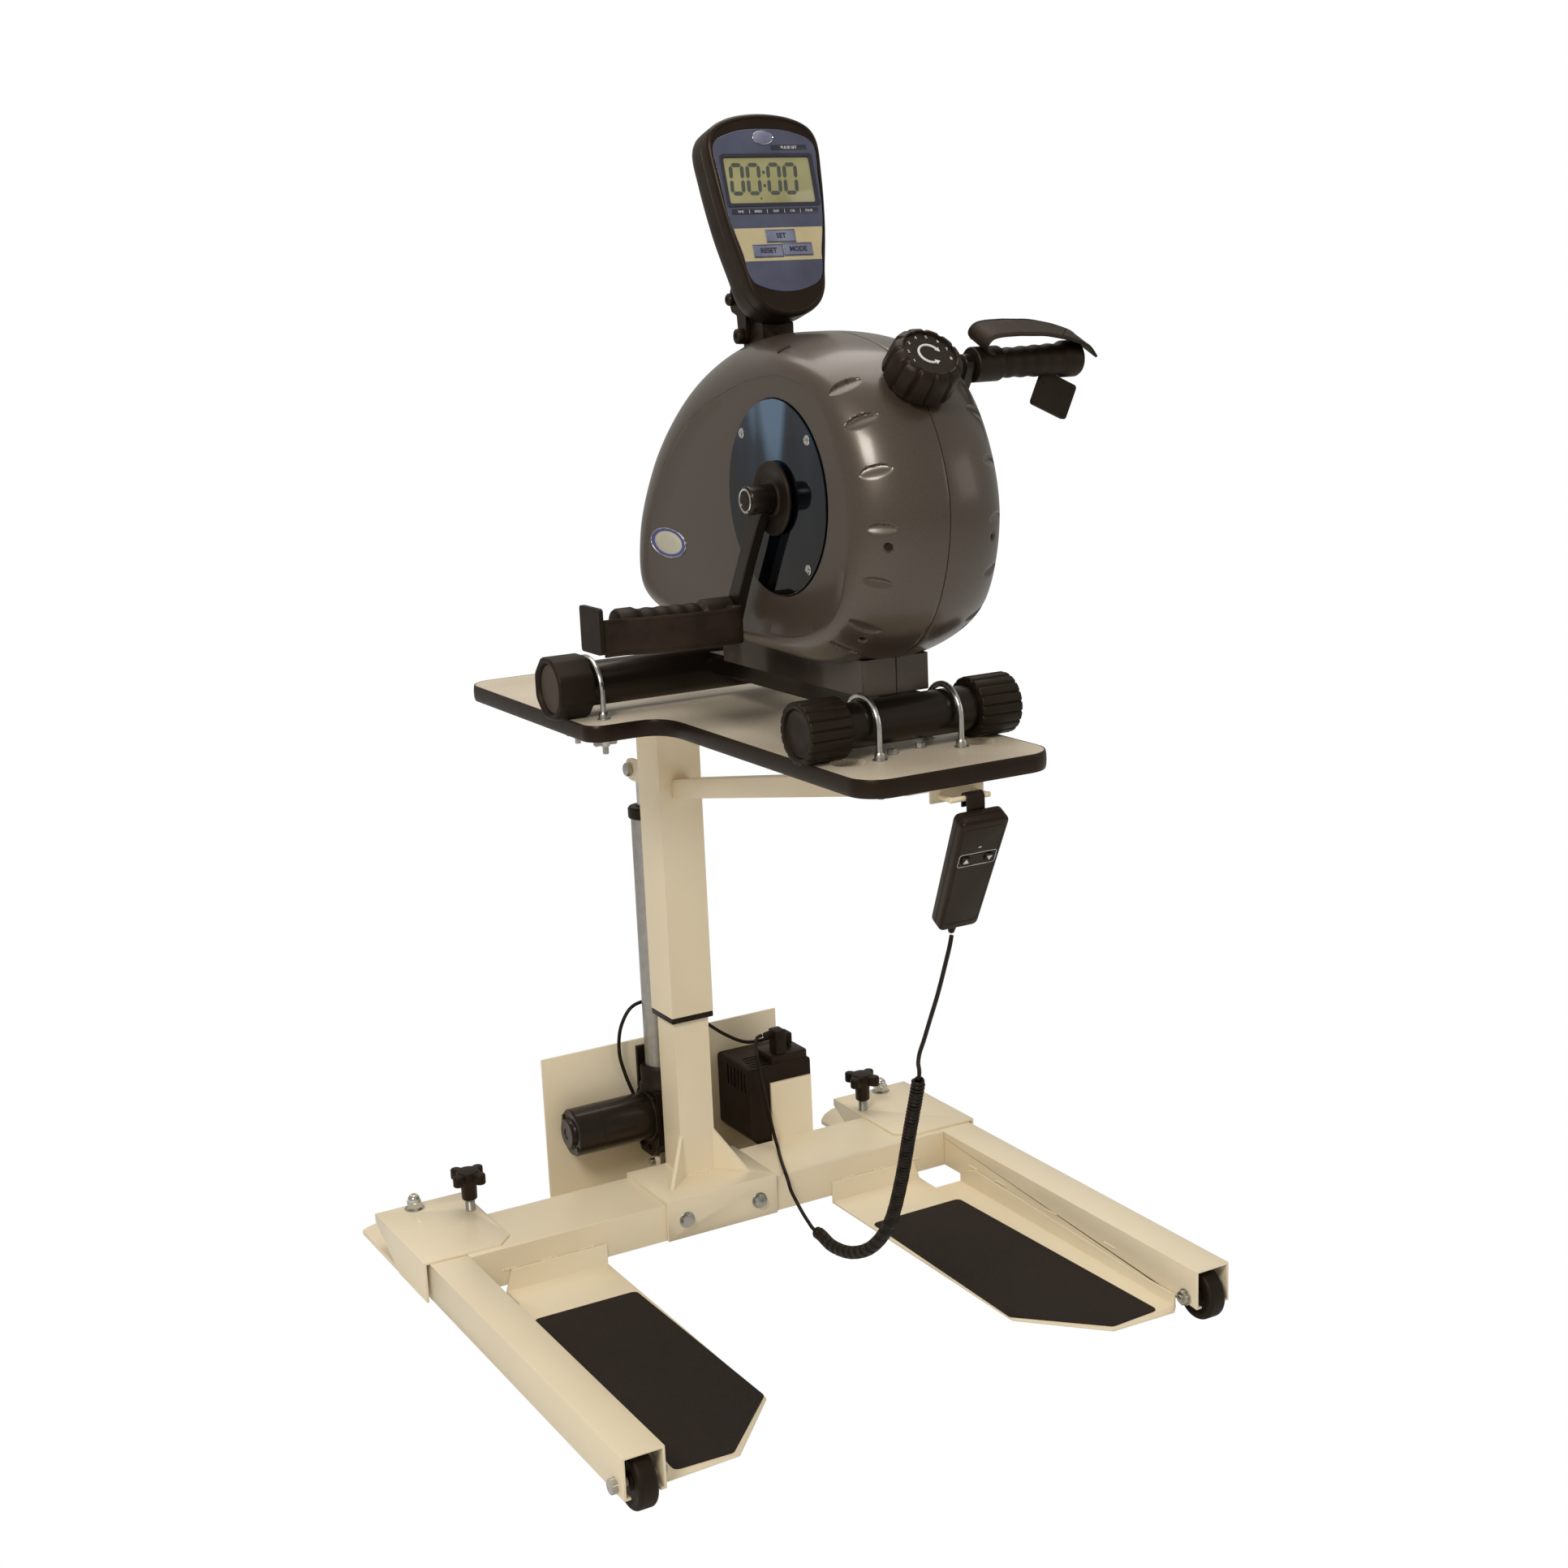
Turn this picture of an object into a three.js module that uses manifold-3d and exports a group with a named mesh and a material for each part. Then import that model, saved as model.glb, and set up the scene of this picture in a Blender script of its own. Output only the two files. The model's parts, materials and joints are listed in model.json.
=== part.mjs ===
import * as THREE from 'three';
import { mergeVertices } from 'three/addons/utils/BufferGeometryUtils.js';
import Module from 'manifold-3d';

// Arm ergometer on an electric height-adjustable table stand.
// Millimetres. +X is the right hand of someone facing the back, +Y is the back, +Z is up, the floor is
// z = 0.
// Everything is placed from the axis of the column, which stands behind the middle of the machine.

const wasm = await Module();
wasm.setup();

// Overall
const column_behind_middle = 264.6;
const seat_gap = 0.3;
const overrun = 5;
const weld = 0.001;
const degree = Math.PI / 180;
const quarter = Math.PI / 2;

// Base frame
const floor_to_frame = 23;
const frame_tube = 50;
const frame_wall = 3;
const leg_gap = 718;
const leg_length = 661;
const leg_lip = 8;
const wheel_slot = 86;
const beam_front = 87;
const beam_back = 26;
const frame_top = floor_to_frame + frame_tube;
const leg_inner = leg_gap / 2;
const leg_outer = leg_inner + frame_tube;
const leg_back = beam_back;
const leg_front = leg_back - leg_length;

// Corner hoods over the ends of the beam, with the rear feet that swing out from under them
const hood_sheet = 3;
const hood_front = 77;
const hood_side = 8;
const hood_width = 124;
const hood_back = 107;
const hood_chamfer = 20;
const hood_drop = 10;
const lug_thickness = 6;
const lug_radius = 91;
const lug_bottom = 24;
const pivot_x = 366.5;
const pivot_y = 93;
const pivot_bolt = 12;
const pivot_head_height = 6;
const clamp_x = 306;
const clamp_y = 44.5;
const arm_thickness = 8;
const arm_width = 36;
const arm_reach = 84;
const arm_tail = 13;
const foot_diameter = 30;
const foot_height = 10;
const foot_top_share = 0.86;
const foot_stem = 12;
const acorn_nut = 19;
const acorn_height = 20;
const acorn_cap_share = 0.86;
const acorn_tip_share = 0.5;

// Star knobs
const star_screw = 12;
const star_rise = 17;
const star_hub = 24;
const star_hub_height = 38;
const star_size = 54;
const star_lobe = 15;
const star_thickness = 14;
const star_core = 30;
const star_core_rise = 1;

// Footplates
const plate_sheet = 3;
const plate_lift = 12;
const plate_width = 187;
const plate_front = 608;
const plate_nose = 514;
const plate_nose_inset = 84;
const plate_tip_inset = 12;
const plate_flange = 28;
const plate_flange_inset = 36;
const plate_notch = 44;

// Wheels
const wheel_diameter = 65;
const wheel_width = 24;
const wheel_tread_round = 5;
const axle_bolt = 10;
const axle_head = 17;
const axle_head_height = 6.5;
const axle_from_front = 21;

// Saddle and inner column
const saddle_width = 166;
const saddle_sheet = 5;
const column_inner = 51;
const column_inner_top = 625;
const column_pad = 24;
const pad_seat = 1;
const fin_foot = 50;
const fin_height = 59;
const fin_thickness = 5;
const fin_in = 2;
const saddle_bolt_spread = 110;
const saddle_bolt_head = 17;
const saddle_bolt_height = 6.5;

// Tray with upturned back plate
const tray_left = 159;
const tray_right = 210;
const tray_sheet = 3;
const tray_back = 126;
const tray_height = 207;
const tray_bend = 6;

// Lift actuator
const actuator_y = 82;
const actuator_tube = 39;
const actuator_tube_top = 568;
const actuator_ring = 46;
const actuator_ring_height = 12;
const rod_diameter = 20;
const rod_length = 300;
const lift_down = 30;
const gearbox_width = 44;
const gearbox_depth = 60;
const gearbox_bottom = 72;
const gearbox_top = 174;
const gearbox_chamfer = 22;
const gearbox_collar = 54;
const gearbox_collar_top = 204;
const gearbox_collar_wall = 6;
const gearbox_plate_top = 226;
const motor_cable_in = 12;
const motor_diameter = 66;
const motor_length = 118;
const motor_height = 133;
const motor_cap = 40;
const motor_cap_height = 6;
const trunnion_height = 62;
const trunnion_pin = 10;
const trunnion_width = 22;
const trunnion_lug = 5;
const trunnion_lug_depth = 19;
const clevis_inner = 13;
const clevis_lug = 5;
const clevis_lug_depth = 30;
const clevis_bolt = 10;
const clevis_head = 17;
const clevis_head_height = 6.5;

// Power box
const box_left = 112;
const box_width = 100;
const box_bottom = 67;
const box_height = 117;
const box_front = 30;
const box_chamfer = 14;
const socket_left = 38;
const socket_width = 58;
const socket_depth = 50;
const socket_height = 12;
const bracket_left = 145;
const bracket_width = 65;
const bracket_height = 158;
const plug_width = 17;
const plug_depth = 22;
const plug_boot = 11;
const plug_boot_length = 13;
const plug_spacing = 20;
const plug_ribs = 3;
const plug_rib_depth = 1.5;
const tall_plug = 35;
const short_plug = 18;

// Outer column, lifted by the actuator
const column_outer = 62;
const column_wall = 3;
const column_bottom = 306;
const glide_height = 8;
const top_plate_width = 180;
const top_plate_depth = 130;
const top_plate_sheet = 5;
const strut_tube = 25;
const strut_low = 606;
const strut_reach = 604;
const strut_clip = 18;
const strut_clearance = 0.9;
const strut_wall = 2;
const hanger_left = 26;
const hanger_right = 41;
const hanger_y = 668;
const hanger_sheet = 3;
const hanger_drop = 21;
const hanger_wire = 6;
const hanger_wire_drop = 15;
const hanger_loop = 22;
const hanger_loop_width = 44;
const hanger_middle = 8;

// Table board
const board_top = 761;
const board_thickness = 20;
const clevis_drop = 114;
const clevis_height = board_top - board_thickness - clevis_drop;
const board_edging = 2;
const board_back = 150;
const board_half = 217;
const board_front = 694;
const board_nose_half = 121;
const board_corner = 35;
const board_shoulder = 240;
const board_shoulder_corner = 22;
const board_waist_x = 158;
const board_waist_y = 290;
const board_waist_bend = 14;
const spare_hole = 7;
const spare_holes = [[-52, -106], [-53, -190], [-147, -106]];

// Stabiliser tubes clamped on the board
const front_tube = 50;
const front_tube_y = 579;
const front_tube_half = 134;
const front_cap = 68;
const front_cap_length = 52;
const front_cap_flutes = 18;
const flute_depth = 2;
const rear_tube = 54;
const rear_tube_y = 164;
const rear_tube_half = 235;
const rear_cap = 74;
const rear_cap_length = 46;
const rear_cap_sides = 8;
const cap_wall = 3;
const cap_recess = 10;
const clamp_rod = 7;
const clamp_clearance = 1.6;
const bend_steps = 6;
const front_clamp_half = 33;
const rear_clamp_half = 40;
const front_clamp_x = 52;
const rear_clamp_x = 182;
const clamp_below = 22;
const wing_span = 30;
const wing_thickness = 4;
const wing_height = 12;

// Main bar and pedestal
const bar_width = 50;
const bar_height = 25;
const pedestal_width = 82;
const pedestal_front = 566;
const pedestal_back = 250;
const pedestal_height = 32;

// Housing shells
const housing_half = 91;
const housing_wall = 3;
const seam_gap = 0.3;
const hub_y = 480;
const hub_z = 1032;
const housing_front = 680;
const housing_low = 848;
const housing_depth = 598;
const housing_height = 355;
const housing_points = 26;
const shell_rings = 4;
const seam_shares = [
  [0, 0.47], [0.042, 0.732], [0.151, 0.918], [0.304, 0.992], [0.435, 1], [0.56, 0.983], [0.694, 0.901],
  [0.811, 0.772], [0.92, 0.597], [0.99, 0.358], [0.978, 0.118], [0.853, 0.023], [0.468, 0], [0.234, 0.006],
  [0.067, 0.161],
];
const side_shares = [
  [0.092, 0.442], [0.122, 0.668], [0.184, 0.823], [0.293, 0.885], [0.401, 0.873], [0.513, 0.828],
  [0.639, 0.752],
  [0.731, 0.654], [0.811, 0.513], [0.878, 0.33], [0.886, 0.189], [0.794, 0.124], [0.468, 0.09],
  [0.251, 0.113],
  [0.139, 0.203],
];
const window_radius = 105;
const window_thickness = 2.5;
const window_step = 3;

// Crank
const crank_radius = 150;
const crank_lean = 30;
const crank_shaft = 20;
const shaft_half = 122;
const crank_hub = 30;
const hub_end = 127;
const arm_clearance = 2.3;
const arm_inner = 101;
const arm_bar_width = 24;
const arm_bar_thickness = 12.5;
const hub_disc = 80;
const hub_disc_thickness = 4;
const grip_pin = 12;
const grip_diameter = 34;
const grip_waist = 30;
const grip_end = 253;
const grip_floor = 8;
const grip_collar = 38;
const grip_collar_length = 34;
const grip_block = 40;
const grip_block_length = 21;
const flap_size = 50;
const flap_thickness = 5;
const flap_neck = 25;
const neck_half = 14;
const flap_lean = 25;
const flap_back = 22;
const flap_drop = 20;
const flap_droop_share = 0.8;
const left_turn = 90;
const right_turn = 25;
const strap_width = 40;
const strap_drop = 8;
const strap_thickness = 3;
const strap_height = 41;
const strap_tip = 13;
const strap_start = 12;
const strap_steps = 18;
const strap_shares = [
  [0.03, 0.58], [0, 0.74], [0.03, 0.92], [0.12, 1], [0.35, 1], [0.6, 0.93], [0.82, 0.76],
];

// Drive inside the housing
const pulley_diameter = 170;
const pulley_width = 14;
const pulley_rim = 6;
const pulley_x = 40;
const belt_width = 10;
const belt_thickness = 3;
const belt_clearance = 1;
const flywheel_diameter = 150;
const flywheel_width = 22;
const flywheel_rim = 14;
const flywheel_x = 22;
const flywheel_y = 300;
const flywheel_z = 980;
const flywheel_boss = 34;
const flywheel_shaft = 14;
const frame_plate = 6;
const small_pulley = 44;
const bearing_half = 18;
const bearing_tube = 34;

// Load knob
const knob_y = 624;
const knob_z = 1155;
const knob_tilt = 45;
const knob_diameter = 79;
const knob_height = 38;
const knob_flutes = 12;
const knob_flute_depth = 2.5;
const knob_level_shares = [[0, 0.97], [0.06, 1], [0.8, 0.97], [1, 0.85]];
const knob_stem = 10;
const knob_stem_length = 40;

// Console and its mast
const console_z = 1368.2;
const console_tilt = 15.5;
const console_thickness = 46;
const face_thickness = 3;
const key_travel = 1;
const key_height = 12;
const key_width = 34;
const key_rise = 1.2;
const keys = [
  ['key_set', [1, -63.5]],
  ['key_reset', [-18, -80]],
  ['key_mode', [20, -79]],
];
const outline_steps = 1;
const console_half = 70;
const console_low = 154;
const console_high = 76;
const case_bevel = 3;
const case_back_bevel = 12;
const case_shares = [
  [0, 0], [0.314, 0.017], [0.543, 0.061], [0.671, 0.122], [0.743, 0.226], [0.886, 0.435], [0.986, 0.691],
  [1, 0.865], [0.886, 0.93], [0.571, 0.978], [0, 1],
];
const face_half = 63;
const face_low = 126;
const face_high = 58;
const face_shares = [
  [0, 0], [0.4, 0.02], [0.7, 0.075], [0.82, 0.25], [0.95, 0.45], [1, 0.69], [1, 0.91], [0.6, 0.98], [0, 1],
];
const hinge_share = 0.6288;
const hinge_y = housing_front - housing_depth * hinge_share;
const console_lead = 32.4;
const console_y = hinge_y + console_lead;
const hinge_z = 1199;
const hinge_pin = 8;
const hinge_head = 17;
const hinge_head_height = 7;
const hinge_lug = 9;
const console_arm = 6.5;
const gusset_height = 58;
const mast_width = 40;
const mast_lead = 37;
const mast_front = hinge_y + mast_lead;
const mast_top = 1219;
const mast_foot = 60;
const mast_chamfer = 14;

// Handset on its hook
const handset_x = 15.6;
const handset_y = 672;
const handset_z = 643.3;
const handset_tilt = 27.8;
const handset_yaw = -3;
const handset_roll = -1.5;
const handset_top_width = 58;
const handset_bottom_width = 48;
const handset_thickness = 21;
const handset_length = 152;
const handset_button = 11;
const handset_button_height = 1.5;
const handset_button_spread = 28;
const handset_button_up = 24;
const handset_pocket = 3;
const handset_corner = 8;
const handset_bevel = 3;
const handset_hook_width = 22;
const handset_hook = 3;
const hook_back = 10;
const hook_front = 22;
const hook_middle = 12;
const handset_boot = 9;
const handset_boot_tip = 7;
const handset_boot_length = 14;

// Cords
const cord_diameter = 5;
const curl_cord = 4.4;
const curl_diameter = 17;
const curl_count = 36;
const curl_sides = 5;
const curl_steps = 8;
const motor_cable_points = [
  [-45, 102, 195], [-50, 104, 225], [-44, 106, 260], [-25, 107, 285], [5, 107, 288], [40, 100, 272],
  [70, 85, 252],
  [100, 72, 228], [130, 66, 212],
];
const box_lead_route = [
  [142.5, 43, 225.5], [135, 41, 225], [128, 33, 220], [124, 24, 206], [124, 17, 179], [128, 14, 149],
  [134, 12, 112],
  [138, 8, 84], [134, -6, 76.4], [124, -28, 76.2], [112, -56, 76.2], [103, -78, 76.5], [98, -91, 75.6],
  [96.5, -100, 68], [97, -106, 56], [100, -115, 42], [102, -128, 29], [103, -142, 20], [102.5, -150, 17],
  [102.2, -158, 16],
];
const curly_route = [
  [102.2, -158.3, 16], [101, -176, 16.5], [88, -227, 24], [69, -312, 52], [55, -387, 94], [42, -450, 153],
  [33, -492, 223], [26.5, -524, 296], [24, -546, 353], [23.3, -553, 374],
];
const handset_lead_route = [
  [23.1, -553.3, 374.9], [21.5, -556, 382], [16, -563, 393], [11, -574, 409], [8.5, -588, 430],
  [7.5, -602, 456],
  [9, -618, 492], [13.5, -627, 526], [18, -631, 550], [19.6, -632, 560],
];

// Finishes
const finish = (color, roughness, metalness = 0) =>
  new THREE.MeshStandardMaterial({ color, roughness, metalness });
const cream_paint = finish(0xe9e0cc, 0.45);
const housing_grey = finish(0x66625f, 0.4);
const black_plastic = finish(0x1e1a18, 0.55);
const black_rubber = finish(0x1a1512, 0.8);
const black_paint = finish(0x1b1716, 0.4);
const zinc = finish(0xb9b9b2, 0.35, 0.9);
const steel = finish(0x8d8f90, 0.35, 0.9);
const beige_laminate = finish(0xb5a894, 0.6);
const smoked_glass = finish(0x1d3446, 0.1);
const blue_face = finish(0x4a5470, 0.5);
const key_blue = finish(0x525f86, 0.5);
const webbing = finish(0x1a1513, 0.85);

const machine = new THREE.Group();
machine.position.y = column_behind_middle;

// Shape helpers: each returns a closed geometry

function solid(geometry) {
  const bare = geometry.clone();
  bare.deleteAttribute('normal');
  bare.deleteAttribute('uv');
  const merged = mergeVertices(bare, weld);
  const corners = [];
  for (let k = 0; k < merged.index.count; k += 3) {
    const [a, b, c] = merged.index.array.slice(k, k + 3);
    if (a !== b && b !== c && c !== a) corners.push(a, b, c);
  }
  return new wasm.Manifold(new wasm.Mesh({
    numProp: 3,
    vertProperties: new Float32Array(merged.attributes.position.array),
    triVerts: new Uint32Array(corners),
  }));
}

// Turns the faces round where a closed shape has come out inside out
function outward(geometry) {
  const shape = geometry.index ? geometry : mergeVertices(geometry);
  const order = shape.index.array;
  const place = shape.attributes.position;
  const corner = (k) => new THREE.Vector3().fromBufferAttribute(place, order[k]);
  let volume = 0;
  for (let k = 0; k < order.length; k += 3) {
    volume += corner(k).dot(corner(k + 1).cross(corner(k + 2)));
  }
  if (volume < 0) {
    for (let k = 0; k < order.length; k += 3) {
      [order[k], order[k + 2]] = [order[k + 2], order[k]];
    }
  }
  return shape;
}

function geometryOf(body) {
  const mesh = body.getMesh();
  const geometry = new THREE.BufferGeometry();
  geometry.setAttribute('position', new THREE.BufferAttribute(new Float32Array(mesh.vertProperties), 3));
  geometry.setIndex(new THREE.BufferAttribute(new Uint32Array(mesh.triVerts), 1));
  geometry.computeVertexNormals();
  return geometry;
}

function join(...pieces) {
  return geometryOf(pieces.map(solid).reduce((whole, piece) => whole.add(piece)));
}

function cut(blank, ...tools) {
  return geometryOf(tools.map(solid).reduce((rest, tool) => rest.subtract(tool), solid(blank)));
}

function common(first, second) {
  return geometryOf(solid(first).intersect(solid(second)));
}

function box(x, y, z) {
  const shape = new THREE.BoxGeometry(x[1] - x[0], y[1] - y[0], z[1] - z[0]);
  return shape.translate((x[0] + x[1]) / 2, (y[0] + y[1]) / 2, (z[0] + z[1]) / 2);
}

// A cylinder along one axis from one end to the other; centre gives the two other coordinates in X, Y,
// Z order
function rod(axis, diameter, ends, centre, sides = 16, topDiameter = diameter) {
  const length = ends[1] - ends[0];
  const middle = (ends[0] + ends[1]) / 2;
  const shape = new THREE.CylinderGeometry(topDiameter / 2, diameter / 2, length, sides);
  if (axis === 'x') return shape.rotateZ(-quarter).translate(middle, centre[0], centre[1]);
  if (axis === 'y') return shape.translate(centre[0], middle, centre[1]);
  return shape.rotateX(quarter).translate(centre[0], centre[1], middle);
}

// A flat outline in X and Y raised along Z
function plate(outline, low, high, curve = 4) {
  const points = outline instanceof THREE.Shape ? null : outline.map((p) => new THREE.Vector2(...p));
  const shape = points ? new THREE.Shape(points) : outline;
  const body = new THREE.ExtrudeGeometry(shape,
    { depth: high - low, bevelEnabled: false, curveSegments: curve });
  return body.translate(0, 0, low);
}

// A flat outline in Y and Z widened along X
function slab(outline, left, right, curve = 4) {
  return plate(outline, left, right, curve).rotateY(quarter).rotateX(quarter);
}

// A flat outline in X and Z deepened along Y
function panel(outline, front, back, curve = 4) {
  return plate(outline, -back, -front, curve).rotateX(quarter);
}

// A turned piece: the profile lists radius and height pairs, closed on the axis, standing along Z
function turned(profile, sides = 24) {
  const outline = profile.map((p) => new THREE.Vector2(...p));
  return outward(new THREE.LatheGeometry(outline, sides).rotateX(quarter));
}

function ring(count, radius, turn = 0) {
  return Array.from({ length: count }, (_, i) => {
    const angle = turn + (i * 2 * Math.PI) / count;
    return [radius * Math.cos(angle), radius * Math.sin(angle)];
  });
}

function vector(point) {
  return new THREE.Vector3(...point);
}

// A round cord along a hand-chosen route
function tube(points, diameter, sides, steps) {
  const curve = new THREE.CatmullRomCurve3(points.map(vector), false, 'centripetal');
  const section = new THREE.Shape(ring(sides, diameter / 2).map((p) => new THREE.Vector2(...p)));
  return new THREE.ExtrudeGeometry(section, { steps, bevelEnabled: false, extrudePath: curve });
}

function mirrored(geometry) {
  const copy = geometry.clone().scale(-1, 1, 1);
  copy.deleteAttribute('normal');
  copy.deleteAttribute('uv');
  return outward(copy);
}

function add(name, geometry, material, parent = machine) {
  const mesh = new THREE.Mesh(geometry, material);
  mesh.name = name;
  parent.add(mesh);
  return mesh;
}

// Adds a right-hand piece and its mirror image
function addPair(name, geometry, material) {
  add(`${name}_right`, geometry, material);
  add(`${name}_left`, mirrored(geometry), material);
}

// Cross beam with its corner hoods, pivot lugs and the bracket that holds the power box
function beamEnd() {
  const inner = leg_outer + hood_side - hood_width;
  const outer = leg_outer + hood_side;
  const sheet = frame_top + seat_gap + hood_sheet;
  const front = -hood_front;
  const outline = [
    [inner + hood_chamfer, front], [outer, front], [outer, hood_back],
    [inner, hood_back], [inner, front + hood_chamfer],
  ];
  const top = plate(outline, frame_top + seat_gap, sheet);
  const slope = [
    [beam_back + seat_gap, lug_bottom], [beam_back + seat_gap, sheet], [hood_back, sheet],
      [hood_back, sheet - hood_drop],
  ];
  const outerWall = join(
    slab(slope, outer - hood_sheet, outer),
    box([outer - hood_sheet, outer], [front, beam_back + 2 * seat_gap], [floor_to_frame, sheet]),
  );
  const screw_hole = rod('z', star_screw + 2 * seat_gap, [0, sheet + overrun], [clamp_x, clamp_y], 20);
  const lug = common(
    rod('z', 2 * lug_radius, [lug_bottom, lug_bottom + lug_thickness], [pivot_x, pivot_y], 28),
    box([inner, outer], [beam_back, pivot_y + lug_radius], [0, frame_top]),
  );
  const head_top = lug_bottom - arm_thickness - 2 * seat_gap;
  const bolt = join(
    rod('z', pivot_bolt, [head_top - overrun / 5, sheet + overrun], [pivot_x, pivot_y], 10),
    rod('z', acorn_nut, [head_top - pivot_head_height, head_top], [pivot_x, pivot_y], 6),
    rod('z', acorn_nut, [sheet - overrun / 5, sheet + acorn_height / 2], [pivot_x, pivot_y], 6),
    rod('z', acorn_nut * acorn_cap_share, [sheet + acorn_height / 2 - overrun / 10, sheet + acorn_height],
      [pivot_x, pivot_y], 8, acorn_nut * acorn_tip_share),
  );
  const weldPad = box([inner + hood_chamfer, leg_inner - seat_gap], [front, beam_back],
    [frame_top - overrun / 5, sheet]);
  return join(cut(join(top, outerWall, slab(slope, inner, inner + hood_sheet), lug, weldPad), screw_hole),
    bolt);
}

function crossBeam() {
  const half = leg_inner - seat_gap;
  const tubeBody = cut(
    box([-half, half], [-beam_front, beam_back], [floor_to_frame, frame_top]),
    box([-half - overrun, half + overrun], [frame_wall - beam_front, beam_back - frame_wall],
      [floor_to_frame + frame_wall, frame_top - frame_wall]),
  );
  const bracket = box([bracket_left, bracket_left + bracket_width],
    [beam_back - seat_gap, box_front - seat_gap],
    [floor_to_frame, bracket_height]);
  const end = beamEnd();
  return join(tubeBody, end, mirrored(end), bracket);
}

add('cross_beam', crossBeam(), cream_paint);

// Legs: square tube, open in front, with a slot below for the wheel, and the wheel's axle bolt
const axle_y = leg_front + axle_from_front;
const axle_z = wheel_diameter / 2;
const leg_middle = leg_inner + frame_tube / 2;

function leg() {
  const blank = box([leg_inner, leg_outer], [leg_front, leg_back - seat_gap], [floor_to_frame, frame_top]);
  const bore = box([leg_inner + frame_wall, leg_outer - frame_wall],
    [leg_front - overrun, leg_back - frame_wall],
    [floor_to_frame + frame_wall, frame_top - frame_wall]);
  const slot = box([leg_inner + leg_lip, leg_outer - leg_lip],
    [leg_front - overrun, leg_front + wheel_slot],
    [floor_to_frame - overrun, floor_to_frame + 2 * overrun]);
  const bolt = join(
    rod('x', axle_bolt, [leg_inner - axle_head_height, leg_outer + axle_head_height], [axle_y, axle_z], 12),
    rod('x', axle_head, [leg_outer - frame_wall / 2, leg_outer + axle_head_height], [axle_y, axle_z], 6),
    rod('x', axle_head, [leg_inner - axle_head_height, leg_inner + frame_wall / 2], [axle_y, axle_z], 6),
  );
  return join(cut(blank, bore, slot), bolt);
}

addPair('leg', leg(), cream_paint);

function wheel() {
  const half = wheel_width / 2;
  const radius = wheel_diameter / 2;
  const bore = axle_bolt / 2 + seat_gap;
  const profile = [
    [bore, -half], [radius - wheel_tread_round, -half], [radius, wheel_tread_round - half],
    [radius, half - wheel_tread_round], [radius - wheel_tread_round, half], [bore, half], [bore, -half],
  ];
  return turned(profile, 20).rotateY(quarter).translate(leg_middle, axle_y, axle_z);
}

addPair('wheel', wheel(), black_rubber);

// Footplates: flat sheet with a flange up the leg and another up the beam
function footplate() {
  const top = plate_lift + plate_sheet;
  const outer = leg_inner - seat_gap;
  const inner = outer - plate_width;
  const back = -beam_front - seat_gap;
  const outline = [
    [inner, back], [outer - plate_notch, back], [outer - plate_notch, back - plate_notch],
    [outer, back - plate_notch], [outer, -plate_front + plate_tip_inset],
      [outer - plate_tip_inset, -plate_front],
    [inner + plate_nose_inset, -plate_front + plate_tip_inset / 4], [inner, -plate_nose],
  ];
  const legFlange = [
    [back - plate_notch, plate_lift], [-plate_front + plate_tip_inset, plate_lift],
    [-plate_front + plate_tip_inset, top + plate_flange / 2], [-plate_nose, top + plate_flange / 2],
    [back - plate_notch - plate_flange_inset, top + plate_flange],
      [back - plate_notch, top + plate_flange / 2],
  ];
  const beamFlange = [
    [inner, plate_lift], [outer - plate_notch, plate_lift], [outer - plate_notch, top],
    [outer - plate_notch - plate_flange_inset / 4, top + plate_flange], [inner, top + plate_flange],
  ];
  return join(
    plate(outline, plate_lift, top),
    slab(legFlange, outer - plate_sheet, outer),
    panel(beamFlange, back - plate_sheet, back),
  );
}

addPair('footplate', footplate(), cream_paint);

// Rear feet that swing out about the pivot bolts
function rearArm() {
  const low = lug_bottom - seat_gap - arm_thickness;
  const bar = new THREE.Shape();
  bar.absarc(0, 0, arm_width / 2, Math.PI, 2 * Math.PI, false);
  bar.absarc(0, arm_reach, arm_width / 2, 0, Math.PI, false);
  const reach = [clamp_x - pivot_x, clamp_y - pivot_y];
  const length = Math.hypot(...reach);
  const across = [(-reach[1] / length) * (arm_tail / 2), (reach[0] / length) * (arm_tail / 2)];
  const tail = [
    [-across[0], -across[1]], [across[0], across[1]],
    [reach[0] + across[0], reach[1] + across[1]], [reach[0] - across[0], reach[1] - across[1]],
  ];
  const body = join(
    plate(bar, low, low + arm_thickness, 5).translate(pivot_x, pivot_y, 0),
    plate(tail, low, low + arm_thickness).translate(pivot_x, pivot_y, 0),
    rod('z', arm_tail, [low, low + arm_thickness], [clamp_x, clamp_y], 10),
    rod('z', foot_stem, [foot_height - overrun / 5, low + arm_thickness / 2],
      [pivot_x, pivot_y + arm_reach], 8),
    rod('z', foot_diameter, [0, foot_height], [pivot_x, pivot_y + arm_reach], 12,
      foot_diameter * foot_top_share),
  );
  return cut(body, rod('z', pivot_bolt + 2 * seat_gap, [0, frame_top], [pivot_x, pivot_y], 12));
}

addPair('rear_foot', rearArm(), cream_paint);

function starKnob() {
  const sheet = frame_top + seat_gap + hood_sheet;
  const tip = lug_bottom;
  const hub = sheet + star_rise;
  const top = hub + star_hub_height;
  const lobes = [0, 1].map((turn) => {
    const bar = box([-star_size / 2, star_size / 2], [-star_lobe / 2, star_lobe / 2],
      [top - star_thickness, top]);
    return bar.rotateZ(turn * quarter + quarter / 3);
  });
  return join(
    rod('z', star_screw, [tip, hub + overrun], [0, 0], 10),
    rod('z', star_hub, [hub, top - overrun / 5], [0, 0], 12),
    rod('z', star_core, [top - star_thickness / 2, top + star_core_rise], [0, 0], 12),
    ...lobes,
  ).translate(clamp_x, clamp_y, 0);
}

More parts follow.
